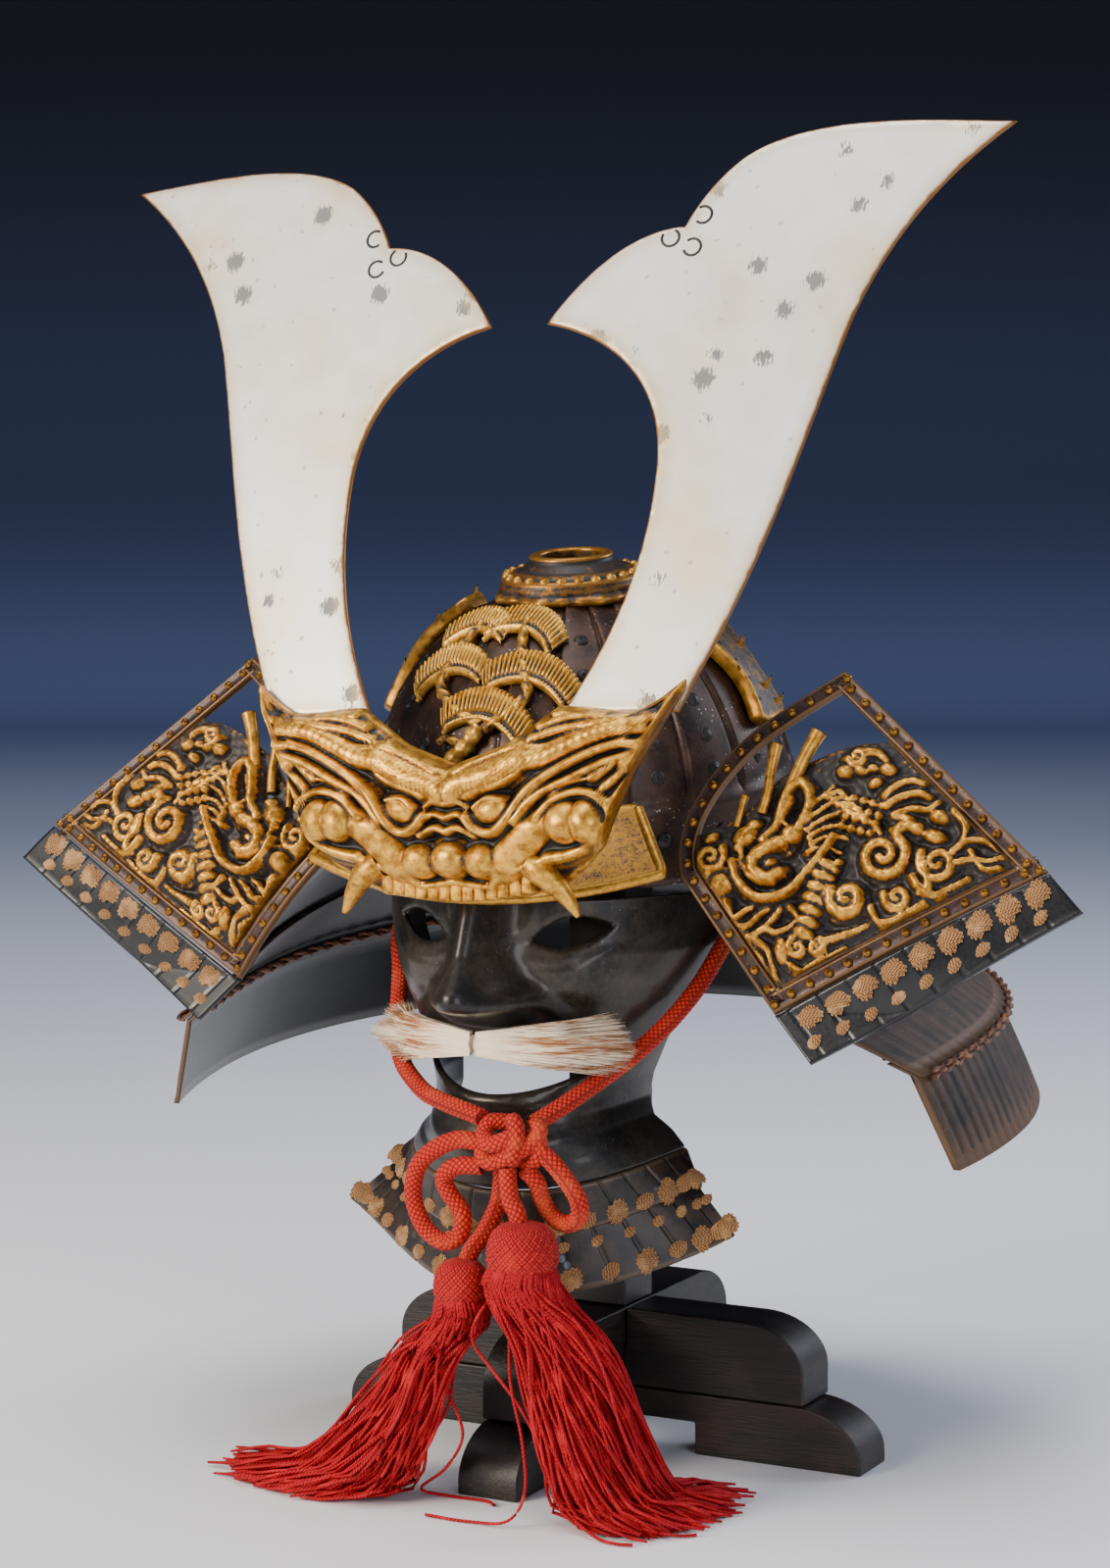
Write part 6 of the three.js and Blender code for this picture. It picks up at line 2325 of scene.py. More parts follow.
@dataclass(frozen=True)
class Crest:
    """The cast lion mask over the brim."""

    half_width: float = 86.0
    thickness: float = 3.2
    columns: int = 201
    rows: int = 99

    def build(self) -> None:
        """Makes the crest with its teeth and fangs."""
        outline = np.array(
            # x, bottom, top
            [(0, 228, 277), (20, 228, 284), (32, 229, 292), (40, 233, 297.5), (50, 240, 297),
             (58, 248, 296), (64, 262, 295.5),
             (70, 275, 295.5), (78, 290, 300), (86, 303, 306)]
        )
        x = np.linspace(-self.half_width, self.half_width, self.columns)[:, None]
        share = np.linspace(0, 1, self.rows)[None, :]
        low = np.interp(np.abs(x), outline[:, 0], outline[:, 1])
        high = np.interp(np.abs(x), outline[:, 0], outline[:, 2])
        z = low + (high - low) * share
        y = self.depth(x, z)
        lift = relief(np.abs(x) + 0 * z, z, self.parts()) * smooth(self.half_width - np.abs(x), -1, 6)
        edge = np.minimum(np.minimum(z - low, high - z) * 1.0, 3.0)
        lift = (
            np.minimum(lift, 11.4) * smooth(edge, -0.4, 2.2) + self.thickness
            - rounded_edge(edge + 0.4, 1.6)
        )
        comb = np.sin((z - 0.5 * np.abs(x)) * 3.3 + 1.1 * np.sin(np.abs(x) * 0.21))
        striae = 0.55 * np.abs(comb) ** 0.5 * smooth(lift, 4.0, 6.5) * smooth(z, 266, 274)
        front = np.stack([x + 0 * z, y - lift - striae, z], axis=-1)
        back = np.stack([x + 0 * z, y, z], axis=-1)
        body = wall(front, back)
        body = body.toned(np.concatenate([
            0.3 * smooth(lift.reshape(-1), 4.5, 8.0), np.full(lift.size, -1.0)
        ]))
        skins = [
            body, *(tooth.toned(1.6) for tooth in self.teeth()),
            *(self.fang(side).toned(0.3) for side in (-1, 1))
        ]
        skin = Skin.joined(skins).placed(on_crest)
        piece("lion_crest_cast", skin, Look(Finish.GILT.material(), "gilt", ("lion_crest",), wear_steps=7))

    def depth(self, x: Array, z: Array) -> Array:
        """Gives the bulging ground of the crest.

        Args:
            x: Across.
            z: Height.

        Returns:
            The place along Y of its back.
        """
        heights = (226, 233, 240, 256, 272, 286, 300, 308)
        places = (-120.2, -121.8, -126.5, -129, -127, -123, -120.5, -119.5)
        return np.interp(z, heights, places) + 6 * (x / self.half_width) ** 2

    def parts(self) -> list[Swell | Stroke]:
        """Lists the shapes of the lion's face on one side, at distances from its middle.

        Returns:
            Nose, eyes, cheeks, brows, mane and ear.
        """
        face: list[Swell | Stroke] = [
            # nose, muzzle and cheek
            Swell(0.5, 242.5, 7.2, 7.2, 9.0),
            Swell(12.6, 242, 8.0, 6.8, 8.0),
            Stroke(((19.5, 239.5), (25, 245), (31, 251.5), (37, 256)), 7.6, 6.6, 0.8),
            Swell(46, 257, 8.2, 8.0, 9.2, 20),
            Swell(54, 257, 7.2, 8.4, 9.6, 10),
            Stroke(
                ((36, 259), (43, 265.5), (53, 267.8), (61.5, 263.5), (63.5, 255.5), (61, 249)), 1.9, 7.6,
                0.7
            ),
            Stroke(((57, 247), (62, 252), (64.5, 260)), 3.2, 5.0, 0.6),
            # eye with its heavy lower lid, which runs on as a fold up to the ear
            Swell(17.8, 261.6, 7.6, 5.4, 8.0, 16),
            Stroke(((12.5, 262.4), (17, 265.6), (23.5, 265)), 1.3, 8.6, 0.8),
            Stroke(
                (
                    (8.5, 259), (12.5, 254.6), (18.5, 253.4), (24.5, 258), (31.5, 267.5), (41, 274.5),
                    (54, 281), (65.5, 284.4), (77, 284)
                ),
                2.1, 8.6, 0.85
            ),
            Stroke(((27, 257.5), (36, 266.7), (48, 272.4), (60, 278), (70, 281)), 1.9, 7.4, 0.8),
            Stroke(((30, 262), (36.8, 270.5), (47, 277.6), (58, 282.4), (68, 286.4)), 1.7, 7.0, 0.7),
            # brow
            Stroke(((2, 268), (7, 271), (13.8, 273), (22, 276.4), (29, 279.8)), 5.8, 9.2, 0.9, 1.0),
            Stroke(((28, 279.6), (36.8, 280.4), (48, 285), (59.8, 289.4), (72, 290.4)), 4.6, 8.2, 0.75, 0.55),
            Stroke(((9, 266.5), (15, 269), (22, 271), (28, 274.5)), 2.4, 7.4, 0.7, 0.8),
            Stroke(((4, 275), (11, 279), (20, 282.4), (30, 284.6)), 2.6, 6.6, 0.7, 0.4),
            Stroke(((8, 279), (16, 282.6), (25, 286)), 1.7, 5.4, 0.6),
            Swell(0, 271, 3.8, 6.5, 6.0),
            Swell(0, 277.4, 5.0, 3.6, 4.6),
            # wrinkles over the nose
            Stroke(((0, 263.6), (4.5, 264.6), (8.5, 262.4)), 1.6, 6.6, 0.7),
            Stroke(((0, 258.6), (5, 259.8), (9.5, 257)), 1.7, 6.8, 0.7),
            Stroke(((0, 253.6), (5, 254.8), (11, 251.8)), 1.7, 7.0, 0.7),
            # mane swept back over the upper edge
            Stroke(((32, 286.2), (42, 289.4), (53, 291.4), (64, 293.4)), 2.1, 6.4, 0.75, 0.3),
            Stroke(((35, 290.6), (46, 293.8), (58, 294.6)), 1.8, 5.6, 0.75, 0.3),
            Stroke(((40, 295), (49, 296.6), (58, 296.4)), 1.4, 4.4, 0.7),
            Stroke(((31, 284), (40, 284), (50, 287.4), (60, 292)), 1.5, 6.6, 0.7),
            # ear: a thick outer rim, a thin inner one and a hollow between them
            Stroke(((62, 291.6), (69, 297), (78, 302.4), (86, 306)), 2.2, 5.6, 0.7),
            Stroke(((68, 277), (76, 287), (82, 296.5), (86.5, 305)), 2.9, 6.4, 0.6),
            Stroke(((68, 290), (73, 292.4), (77.6, 293.6)), 2.2, 4.2, 0.7),
            # tufts behind the cheek
            Stroke(((56, 272.6), (62, 276.6), (70, 282.4)), 2.2, 5.6, 0.6, 0.5),
            Stroke(((60, 268.6), (65, 273), (71, 278.4)), 2.0, 5.2, 0.6, 0.4),
            Stroke(((62.6, 263.5), (66, 268), (69.6, 273)), 1.8, 4.8, 0.6, 0.4),
            # upper lip
            Stroke(((38, 243.6), (47, 245.2), (55, 248.6), (60.5, 253)), 2.6, 5.8, 0.7),
            Stroke(((13.8, 232.4), (18.4, 236), (26, 239.2), (37, 243), (42, 244.6)), 2.4, 6.0, 0.8),
            Stroke(((0, 234.6), (8, 233.2), (14, 232.6)), 1.9, 6.4, 0.9),
            Stroke(((41, 266), (46.5, 270.2), (54, 272.2)), 1.5, 5.6, 0.6),
        ]
        return face

    def teeth(self) -> list[Skin]:
        """Makes the row of upper teeth: blocks side by side with rounded corners.

        Returns:
            Their skins.
        """
        skins = []
        for index in range(13):
            middle = (index - 6) * 4.7
            x = middle + np.linspace(-2.2, 2.2, 9)[:, None]
            share = np.linspace(0, 1, 9)[None, :]
            z = 227.6 + 0.004 * middle**2 + 6.4 * share + 0 * x
            edge = np.minimum(2.3 - np.abs(x - middle), z - z.min() + 0.2)
            lift = self.thickness + 6.6 - rounded_edge(edge, 1.2)
            y = self.depth(np.array(middle), np.array(230.0))
            front = np.stack([x + 0 * z, y - lift, z], axis=-1)
            back = np.stack([x + 0 * z, y - 1 + 0 * lift, z], axis=-1)
            skins.append(wall(front, back))
        return skins

    def fang(self, side: int) -> Skin:
        """Makes one corner fang.

        Args:
            side: 1 or -1 along X.

        Returns:
            The skin.
        """
        stops = np.array([(31, 241, 1.6), (36.5, 237.5, 4.4), (42.5, 230.5, 5.8), (47.5, 222.4, 6)])
        line = curve_through(stops, 36)
        y = self.depth(line[:, 0], line[:, 1]) - self.thickness - line[:, 2]
        path = np.stack([side * line[:, 0], y, line[:, 1]], axis=1)
        share = np.linspace(0, 1, 36)
        return tube(path, 5.0 - 4.0 * share**1.9, 18)


@dataclass(frozen=True)
class Horns:
    """The two sheet metal horns."""

    foot: tuple[float, float, float] = (11.0, -61.0, 437.0)
    lean: float = 21.8
    toe: float = 3.0
    thickness: float = 2.4

    def build(self) -> None:
        """Makes both horns from one plate."""
        plate = Plate.inside(self.outline(), 2.6, rounding=1.1)
        drop = rounded_edge(plate.edge, 1.0)
        half = self.thickness / 2
        for side, sign in (("left", 1), ("right", -1)):
            matrix = turned("z", self.toe) @ turned("x", 90 - self.lean)
            place = Place(matrix, self.foot, sign < 0)
            skin = plate.solid(lambda points: place(points - (self.foot[0], 0, 0)), half - drop, -half + drop)
            skin = skin.placed(on_crest)
            name = f"horn_{side}"
            thing = piece(name + "_sheet", skin, Look(Finish.SILVER.material(), "horn_silver", (name,)))
            edge = thing.data.attributes.new("edge", "FLOAT", "POINT")
            edge.data.foreach_set("value", np.tile(np.minimum(plate.edge, 20), 2).astype(np.float32))
            curls = []
            for x, y, start, turns in (
                (57.5, 466.5, 150, 0.75), (66.5, 462.5, 200, 0.8), (69.5, 474.5, 120, -0.7)
            ):
                angle = np.radians(start) + np.linspace(0, turns, 26) * 2 * np.pi
                up = (y - self.foot[2]) / np.cos(np.radians(self.lean))
                ring = np.stack(
                    [x + 3.4 * np.cos(angle), up + 3.4 * np.sin(angle), 0 * angle + half - 0.25], axis=1
                )
                curls.append(tube(place(ring - (self.foot[0], 0, 0)), 0.62, 8))
            look = Look(Finish.RIVET_DARK.material(), "horn_silver")
            piece(name + "_curls", Skin.joined(curls).placed(on_crest), look)

    def outline(self) -> list[tuple[float, float]]:
        """Gives the outline of the +X horn: across from the middle, and up as it measures upright.

        Each curved stretch is a cubic Bezier with the two handles and the end given below.

        Returns:
            Corners in order.
        """
        stretches = (
            ((85, 305.5), (110, 355), (118, 395), (131, 433)),
            ((131, 433), (143, 464), (163, 486), (186, 501.5)),
            ((186, 501.5), (160, 503.5), (110, 511.5), (84, 496)),
            ((84, 496), (74, 489), (67, 480), (62.5, 470.7)),
            ((62.5, 470.7), (50, 471), (30, 464), (11.5, 437)),
            ((11.5, 437), (40, 431), (61, 412), (61.5, 382)),
            ((61.5, 382), (62, 345), (50, 318), (36, 294.5)),
        )
        corners = [np.array([(36.0, 294.5), (80, 294.5)])]
        t = np.linspace(0, 1, 24, endpoint=False)[:, None]
        for a, b, c, d in (np.array(stretch, float) for stretch in stretches):
            corners.append(a * (1 - t) ** 3 + 3 * b * t * (1 - t) ** 2 + 3 * c * t**2 * (1 - t) + d * t**3)
        flat = np.vstack(corners)
        flat[:, 1] = (flat[:, 1] - self.foot[2]) / np.cos(np.radians(self.lean))
        return [(float(x), float(y)) for x, y in flat]


# ---------------------------------------------------------------------------- wings


@dataclass(frozen=True)
class Wing:
    """One wing at the temple: a riveted frame, a dragon in relief and a laced strip."""

    side: str
    at: tuple[float, float, float] = (127.75, -76.25, 245.0)
    lean: float = 21.0
    yaw: float = 6.7
    rail: float = 6.5
    fold_depth: float = 12.3
    fold_width: float = 48.0
    top: tuple[float, float] = (-2, 68)
    outer: tuple[float, float] = (78, -5)
    bottom: tuple[float, float] = (-19, -58)
    inner: tuple[float, float] = (-56, -11)
    arch: Outline = ((-57.5, 0), (-54.5, 14.5), (-45.5, 31), (-31, 47))
    contour: Outline = ((-49, 5), (-39, 10), (-31, 16), (-21, 27), (-9, 34), (4, 39.5), (16, 41))

    def build(self) -> None:
        """Makes the frame, its rivets, the dragon and the strip."""
        self.frame()
        self.dragon()
        self.strip()

    def place(self, points: Array) -> Array:
        """Puts points (across, up, lift) of the wing in their place.

        Below the line from its inner to its outer corner the wing curves back.

        Args:
            points: Shape (n, 3).

        Returns:
            Points.
        """
        across, up, lift = points[..., 0], points[..., 1], points[..., 2]
        below = (across - self.inner[0]) * 0.0376 - (up - self.inner[1]) * 0.9993
        share = np.clip(below / self.fold_width, 0, 1)
        flat = np.stack([across, up, 3 - self.fold_depth * share**2 + lift], axis=-1)
        matrix = turned("z", self.yaw) @ turned("x", 90 - self.lean)
        return Place(matrix, self.at, self.side == "right")(flat)

    def outline(self) -> Array:
        """Gives the frame's outline.

        Returns:
            Points in order, clockwise from the top.
        """
        arch = resampled(curve_through(np.array([self.inner, *self.arch, self.top], float), 60), 60)
        return np.vstack([[self.top, self.outer, self.bottom], arch[:-1]])

    def frame(self) -> None:
        """Makes the riveted frame and its dark field."""
        outline = dense(self.outline(), 1.6)[::-1]
        shares = (0.0, 0.04, 0.12, 0.22, 0.5, 0.78, 0.88, 0.96, 1.0)
        lifts = (1.2, 2.5, 3.2, 2.75, 2.6, 2.75, 3.2, 2.5, 0.8)
        loops = [pulled_in(outline, share * self.rail) for share in shares]
        front = np.stack(
            [
                np.concatenate([loop, np.full((len(loop), 1), lift)], axis=1) for loop,
                lift in zip(loops, lifts)
            ], axis=1
        )
        back = front.copy()
        back[..., 2] = 0
        skins = [wall(self.place(front), self.place(back), wrap_rows=True)]
        look = Look(Finish.WING_FRAME.material(), "wing_bronze", (f"wing_{self.side}",), wear_steps=5)
        field = Plate.inside(self.field_outline(-1.5), 3.0)
        skins.append(field.solid(self.place, 1.6 + 0 * field.x, 0.1 + 0 * field.x))
        piece(f"wing_{self.side}_frame", Skin.joined(skins), look)
        middle = pulled_in(outline, self.rail / 2)
        closed = np.vstack([middle, middle[:1]])
        length = np.linalg.norm(np.diff(closed, axis=0), axis=1).sum()
        spots = resampled(closed, int(length / 7.7) + 1)[:-1]
        lifted = np.concatenate([spots, np.full((len(spots), 1), 2.6)], axis=1)
        centres, above = self.place(lifted), self.place(lifted + (0, 0, 1))
        skin = domes(centres, above - centres, 1.75, 1.65, 14)
        piece(f"wing_{self.side}_rivets", skin, Look(Finish.RIVET_GILT.material(), "wing_bronze"))

    def field_outline(self, margin: float) -> list[tuple[float, float]]:
        """Gives the outline of the field inside the rails and under the relief's upper edge.

        Args:
            margin: Millimetres in from the rails.

        Returns:
            Corners in order.
        """
        loop = pulled_in(dense(self.outline(), 1.6)[::-1], self.rail + margin)
        contour = curve_through(np.array(self.contour, float), 60)
        top_of = np.interp(loop[:, 0], contour[:, 0], contour[:, 1])
        below = (loop[:, 1] < top_of) | (loop[:, 0] > 16)
        start = int(np.argmax(below & ~np.roll(below, 1)))
        kept = np.roll(loop, -start, axis=0)[np.roll(below, -start)]
        last = kept[-1]
        joint = (
            contour if np.linalg.norm(contour[0] - last) < np.linalg.norm(contour[-1] - last)
            else contour[::-1]
        )
        return [(float(x), float(y)) for x, y in np.vstack([kept, joint])]

    def dragon(self) -> None:
        """Makes the dragon among clouds in relief on the field."""
        parts = self.parts()
        plate = Plate.inside(self.field_outline(0.95), 0.86)
        lift = relief(plate.x, plate.y, parts)
        wave = plate.x * 0.9 + plate.y * 1.25 + 1.6 * np.sin(plate.x * 0.31) + 1.3 * np.sin(plate.y * 0.37)
        carved = 0.62 * np.abs(np.sin(wave)) ** 0.6 * smooth(lift, 1.2, 3.0)
        pebbles = 0.45 * np.abs(np.sin(plate.x * 0.8 + 2 * np.sin(plate.y * 0.5)) * np.sin(plate.y * 0.9))
        lift = (2.8 + pebbles - carved + lift * 1.15) - rounded_edge(plate.edge, 0.8)
        cast = plate.solid(self.place, lift, 2.4 + 0 * lift)
        raised = smooth(lift, 4.2, 6.2) * 0.55 - 0.28
        skins = [cast.toned(np.concatenate([raised, raised * 0 - 1]))]
        horns = (
            (((-17, 22), (-15, 28), (-12.5, 35), (-8.5, 43.5)), 2.6, 5.6),
            (((-27, 12), (-25.5, 20), (-25, 29), (-24, 38.5)), 2.0, 5.4),
            (((-36, 7), (-35, 13), (-34, 19)), 1.4, 4.6),
        )
        for stops, radius, height in horns:
            line = curve_through(np.array(stops, float), 40)
            path = self.place(np.concatenate([line, np.full((40, 1), height)], axis=1))
            share = np.linspace(0, 1, 40)
            skins.append(tube(path, radius * (0.9 + 0.25 * share**4), 14).toned(0.15))
        look = Look(Finish.GILT_FIELD.material(), "gilt", (f"dragon_{self.side}",), wear_steps=6)
        piece(f"dragon_{self.side}_cast", Skin.joined(skins), look)

    def parts(self) -> list[Swell | Stroke]:
        """Lists the shapes of the relief.

        Returns:
            Dragon's head, mane, body, claws and clouds.
        """
        parts: list[Swell | Stroke] = [
            # head
            Swell(-14.5, 4.5, 4.6, 4.0, 7.2, 20),
            Stroke(
                ((-12, 7), (-9.2, 14), (-9.5, 20), (-13, 24), (-17, 21), (-19, 14), (-20.5, 7), (-25, 2)),
                2.2, 6.6, 0.9
            ),
            Stroke(((-16, 18), (-18.5, 10), (-16, 7)), 1.2, 6.0, 0.8),
            Stroke(((-18, 1), (-23, -1), (-27.5, -5), (-27, -9.5), (-22, -12), (-17.5, -10)), 3.2, 7.6, 0.8),
            Swell(-22, -6.5, 3.4, 2.2, 4.6, 30),
            Stroke(((-20, -13.5), (-26, -13), (-31, -9), (-32.5, -3)), 2.0, 6.2, 0.7),
            Swell(-31.5, 3, 5.2, 4.2, 6.6, 35),
            Swell(-29, 7.5, 3.2, 2.4, 5.6, 10),
            Swell(-33.5, -1.2, 2.4, 2.4, 6.4),
            Stroke(
                ((-35, -7), (-32, -14), (-24.5, -19.5), (-14, -17), (-7.5, -9.5), (-3, -3), (1, 4)), 1.9,
                8.4, 0.75
            ),
            # mane in tufts that fan out behind the head
            *(
                Stroke(
                    ((-9 + dx, 4 + dy), (-4 + dx * 1.2, 8 + dy * 1.3), (2 + dx * 1.6, 10 + dy * 1.9)), 1.5,
                    5.4, 0.35
                )
                for dx, dy in ((-2, 7), (-1, 4.5), (0, 2), (1, -0.5), (2, -3), (1, -6))
            ),
            *(
                Stroke(
                    ((-3 + k * 2.2, 19 - k * 1.4), (1 + k * 2.6, 21 - k * 2.2), (4 + k * 2.7, 19 - k * 2.6)),
                    1.6, 4.8, 0.6
                )
                for k in range(6)
            ),
            *(
                Swell(3 + 3.6 * i + 1.2 * j, 8.5 + 3.4 * j - 0.8 * i, 1.9, 1.7, 5.0)
                for i in range(4)
                for j in range(4)
            ),
            # belly scales
            *(
                Swell(-1.8 - 0.95 * k, -6 - 4.2 * k, 5.4 - 0.15 * k, 2.7, 6.2, -16)
                for k in range(7)
            ),
            *(Swell(3.2 - 1.0 * k, -5 - 3.1 * k, 1.7, 1.5, 5.2) for k in range(7)),
            # clouds
            spiral(19, -2, 9.2, -1.55, 60, 2.5, 6.0, ((31, 8.0), (27, 9.0))),
            spiral(39, -4, 7.0, 1.5, 150, 2.0, 5.0, ((30.5, -9.5), (33, -13), (36.5, -13.5))),
            spiral(7.5, -18, 6.4, 1.35, 160, 2.8, 6.0, ()),
            spiral(25.5, -17, 4.8, 1.3, 170, 2.0, 5.0, ()),
            Stroke(((44, 0), (48, 4), (54, 5), (60, 2.5)), 1.6, 4.8, 0.5),
            Stroke(((45, -3.5), (51, -2), (57, -2.5), (62, -0.5)), 1.3, 4.2, 0.5),
            Stroke(((18, 20), (22, 24), (27, 26), (31, 25)), 1.9, 4.8, 0.6),
            Stroke(((19, 16.5), (24, 20), (30, 21.5), (34, 20)), 1.9, 5.0, 0.6),
            Stroke(((22, 13), (28, 15.5), (34, 15.5), (37, 18)), 1.8, 4.8, 0.6),
            Swell(26, 11.5, 4.0, 2.6, 4.8, -12),
            Swell(38, 13, 4.0, 2.8, 4.6, -20),
            Swell(37, 5.6, 4.6, 2.8, 5.0, -14),
            Stroke(((43.5, 15), (46.5, 12), (48, 8), (47, 5)), 1.5, 4.6, 0.6),
            Swell(18, 30, 3.4, 2.6, 4.4, -20),
            Swell(2.5, 29, 3.2, 2.6, 4.4),
            Swell(8, 29.5, 3.0, 1.9, 4.2, -10),
            Swell(12.5, 30.6, 2.4, 1.8, 4.0),
            spiral(6.5, 34.6, 3.6, 1.2, 200, 1.7, 4.4, ()),
            Stroke(((9, 36), (13, 36.2), (17, 33.6)), 2.0, 4.6, 0.6),
            Swell(14, 25, 2.8, 2.0, 4.2, 20),
            Swell(22, 7.5, 2.2, 1.4, 3.4),
            # rosette and ball at the inner corner
            spiral(-44, -5, 5.6, -1.4, 40, 1.9, 5.6, ()),
            Swell(-38.5, -14.5, 4.6, 4.4, 6.6),
            Stroke(((-45, -11), (-41, -9.5), (-36, -9.5), (-33, -12)), 1.2, 4.8, 0.7),
            Swell(-44.5, 2.2, 3.0, 2.2, 4.6, 40),
            # flames and claws in the lower corner
            Stroke(((-37, -21), (-34, -27), (-30, -24), (-27, -22.5)), 1.8, 5.2, 0.5),
            Stroke(((-33, -30), (-28, -29), (-24, -25), (-21, -23)), 1.7, 5.4, 0.5),
            Stroke(((-30, -34), (-25, -32), (-20.5, -28), (-16.5, -22.5)), 1.7, 5.4, 0.5),
            Stroke(((-28, -38), (-24, -40), (-22, -45), (-20.5, -49)), 1.9, 5.2, 0.5),
            Stroke(((-25, -34), (-21, -37), (-19, -42), (-18, -46)), 1.6, 5.0, 0.5),
            Swell(-15.3, -37.5, 3.0, 5.0, 5.8, 8),
            Stroke(((-22, -30), (-17.5, -31), (-13, -29), (-10, -26)), 1.5, 5.2, 0.5),
            spiral(-9.5, -36, 3.6, 1.2, 120, 1.6, 5.2, ()),
            spiral(-3.0, -35.5, 3.2, -1.2, 60, 1.6, 5.0, ()),
            Stroke(((-12, -42), (-8, -44), (-4, -41.5), (2, -38.5), (7, -35.5)), 1.5, 4.6, 0.6),
            Stroke(((1, -33), (5, -31.5), (10, -29.5), (15, -27)), 1.6, 4.6, 0.5),
            Stroke(((16, -21), (19, -25.5), (24, -25), (30, -21.5), (35, -18)), 1.4, 4.4, 0.6),
            Stroke(((33, -15), (38, -15.5), (44, -12.5), (50, -9)), 1.3, 4.0, 0.5),
            Stroke(((50, 1), (55, -5), (61, -4.5)), 1.2, 3.6, 0.5),
            Stroke(((-13, -22), (-10, -25.5), (-9.5, -30)), 1.3, 5.0, 0.6),
        ]
        return parts

    def strip(self) -> None:
        """Makes the laced strip under the lower rail, with two rows of stitches."""
        share = np.linspace(0, 1, 140)[:, None]
        down = np.linspace(0, 1, 18)[None, :]

        def at(share: Array, down: Array, lift: Array) -> Array:
            ends = ((self.outer[0] + 0.4, self.outer[1] - 0.7), (self.bottom[0] + 0.4, self.bottom[1] - 0.7))
            low = ((91, -19), (-4, -75.5))
            across = (
                ends[0][0] + (ends[1][0] - ends[0][0]) * share
            ) * (1 - down) + (low[0][0] + (low[1][0] - low[0][0]) * share) * down
            up = (
                ends[0][1] + (ends[1][1] - ends[0][1]) * share
            ) * (1 - down) + (low[0][1] + (low[1][1] - low[0][1]) * share) * down
            return np.stack(np.broadcast_arrays(across, up, lift), axis=-1)

        scales = np.abs(np.sin(np.pi * share * 9.5))
        lift = 2.6 - 0.55 * (
            1 - smooth(scales, 0.0, 0.16)
        ) + 0.5 * smooth(down, 0.92, 0.97) + 0.15 * np.sin(np.pi * down)
        front, back = self.place(at(share, down, lift)), self.place(at(share, down, 0.6 + 0 * lift))
        name = f"wing_strip_{self.side}"
        look = Look(Finish.LACQUER.material(), "black_lacquer", (name,), wear_steps=6)
        piece(name + "_lame", wall(front, back), look)
        knots = []
        along = (self.place(at(
            np.array(0.6), np.array(0.5), np.array(2.6)
        )) - self.place(at(np.array(0.5), np.array(0.5), np.array(2.6))))
        along = along / np.linalg.norm(along)
        for index in range(9):
            for row, (down_at, offset, spread) in enumerate(((0.26, 0.075, 1.0), (0.7, 0.115, 0.72))):
                here = np.array(offset + index * 0.104)
                if here > 0.97:
                    continue
                middle = self.place(at(here, np.array(down_at), np.array(2.5)))
                out = self.place(at(here, np.array(down_at), np.array(3.5))) - middle
                knots.append(stitch(middle, along, out, spread, row == 0, index))
        look = Look(Finish.LACING.material(), "black_lacquer")
        piece(name + "_stitches", Skin.joined(knots), look)


def stitch(middle: Array, along: Array, out: Array, size: float, crossed: bool, turn: int) -> Skin:
    """Makes a lacing stitch: a bundle of cords side by side, bulging out of the surface.

    Args:
        middle: Its place on the surface.
        along: Unit direction along the row.
        out: Unit direction off the surface.
        size: Scale, 1 for 9 mm across.
        crossed: Whether a second bundle lies across the first.
        turn: Number of the stitch, which varies its lean a little.

    Returns:
        The skin.
    """
    across = np.cross(out, along)
    skins = []
    lean = 0.16 * np.sin(turn * 2.3)
    bundles = [(0.45 + lean, 4.7, 0.0, 0.75)]
    if crossed:
        bundles = [(0.95 + lean, 5.6, -0.1, 0.15), (-0.25 + lean, 5.0, 0.4, 0.2)]
    for angle, half_length, raise_by, taper in bundles:
        run = np.cos(angle) * along + np.sin(angle) * across
        beside = np.cross(out, run)
        t = np.linspace(-1, 1, 8)[:, None]
        for cord in range(7):
            offset = (cord - 3) * 0.86 * (1 - taper * np.abs(t) ** 3)
            rise = (1.7 + raise_by - 0.09 * (cord - 3) ** 2) * np.sqrt(np.maximum(1 - t**2, 0)) - 0.3
            reach = half_length * (1 - 0.02 * (cord - 3) ** 2) * (1 - 0.12 * (cord % 2))
            path = middle + size * (t * reach * run + offset * beside + rise * out)
            skins.append(tube(path, 0.55 * size, 5))
    return Skin.joined(skins)


# ---------------------------------------------------------------------------- mask and throat guard


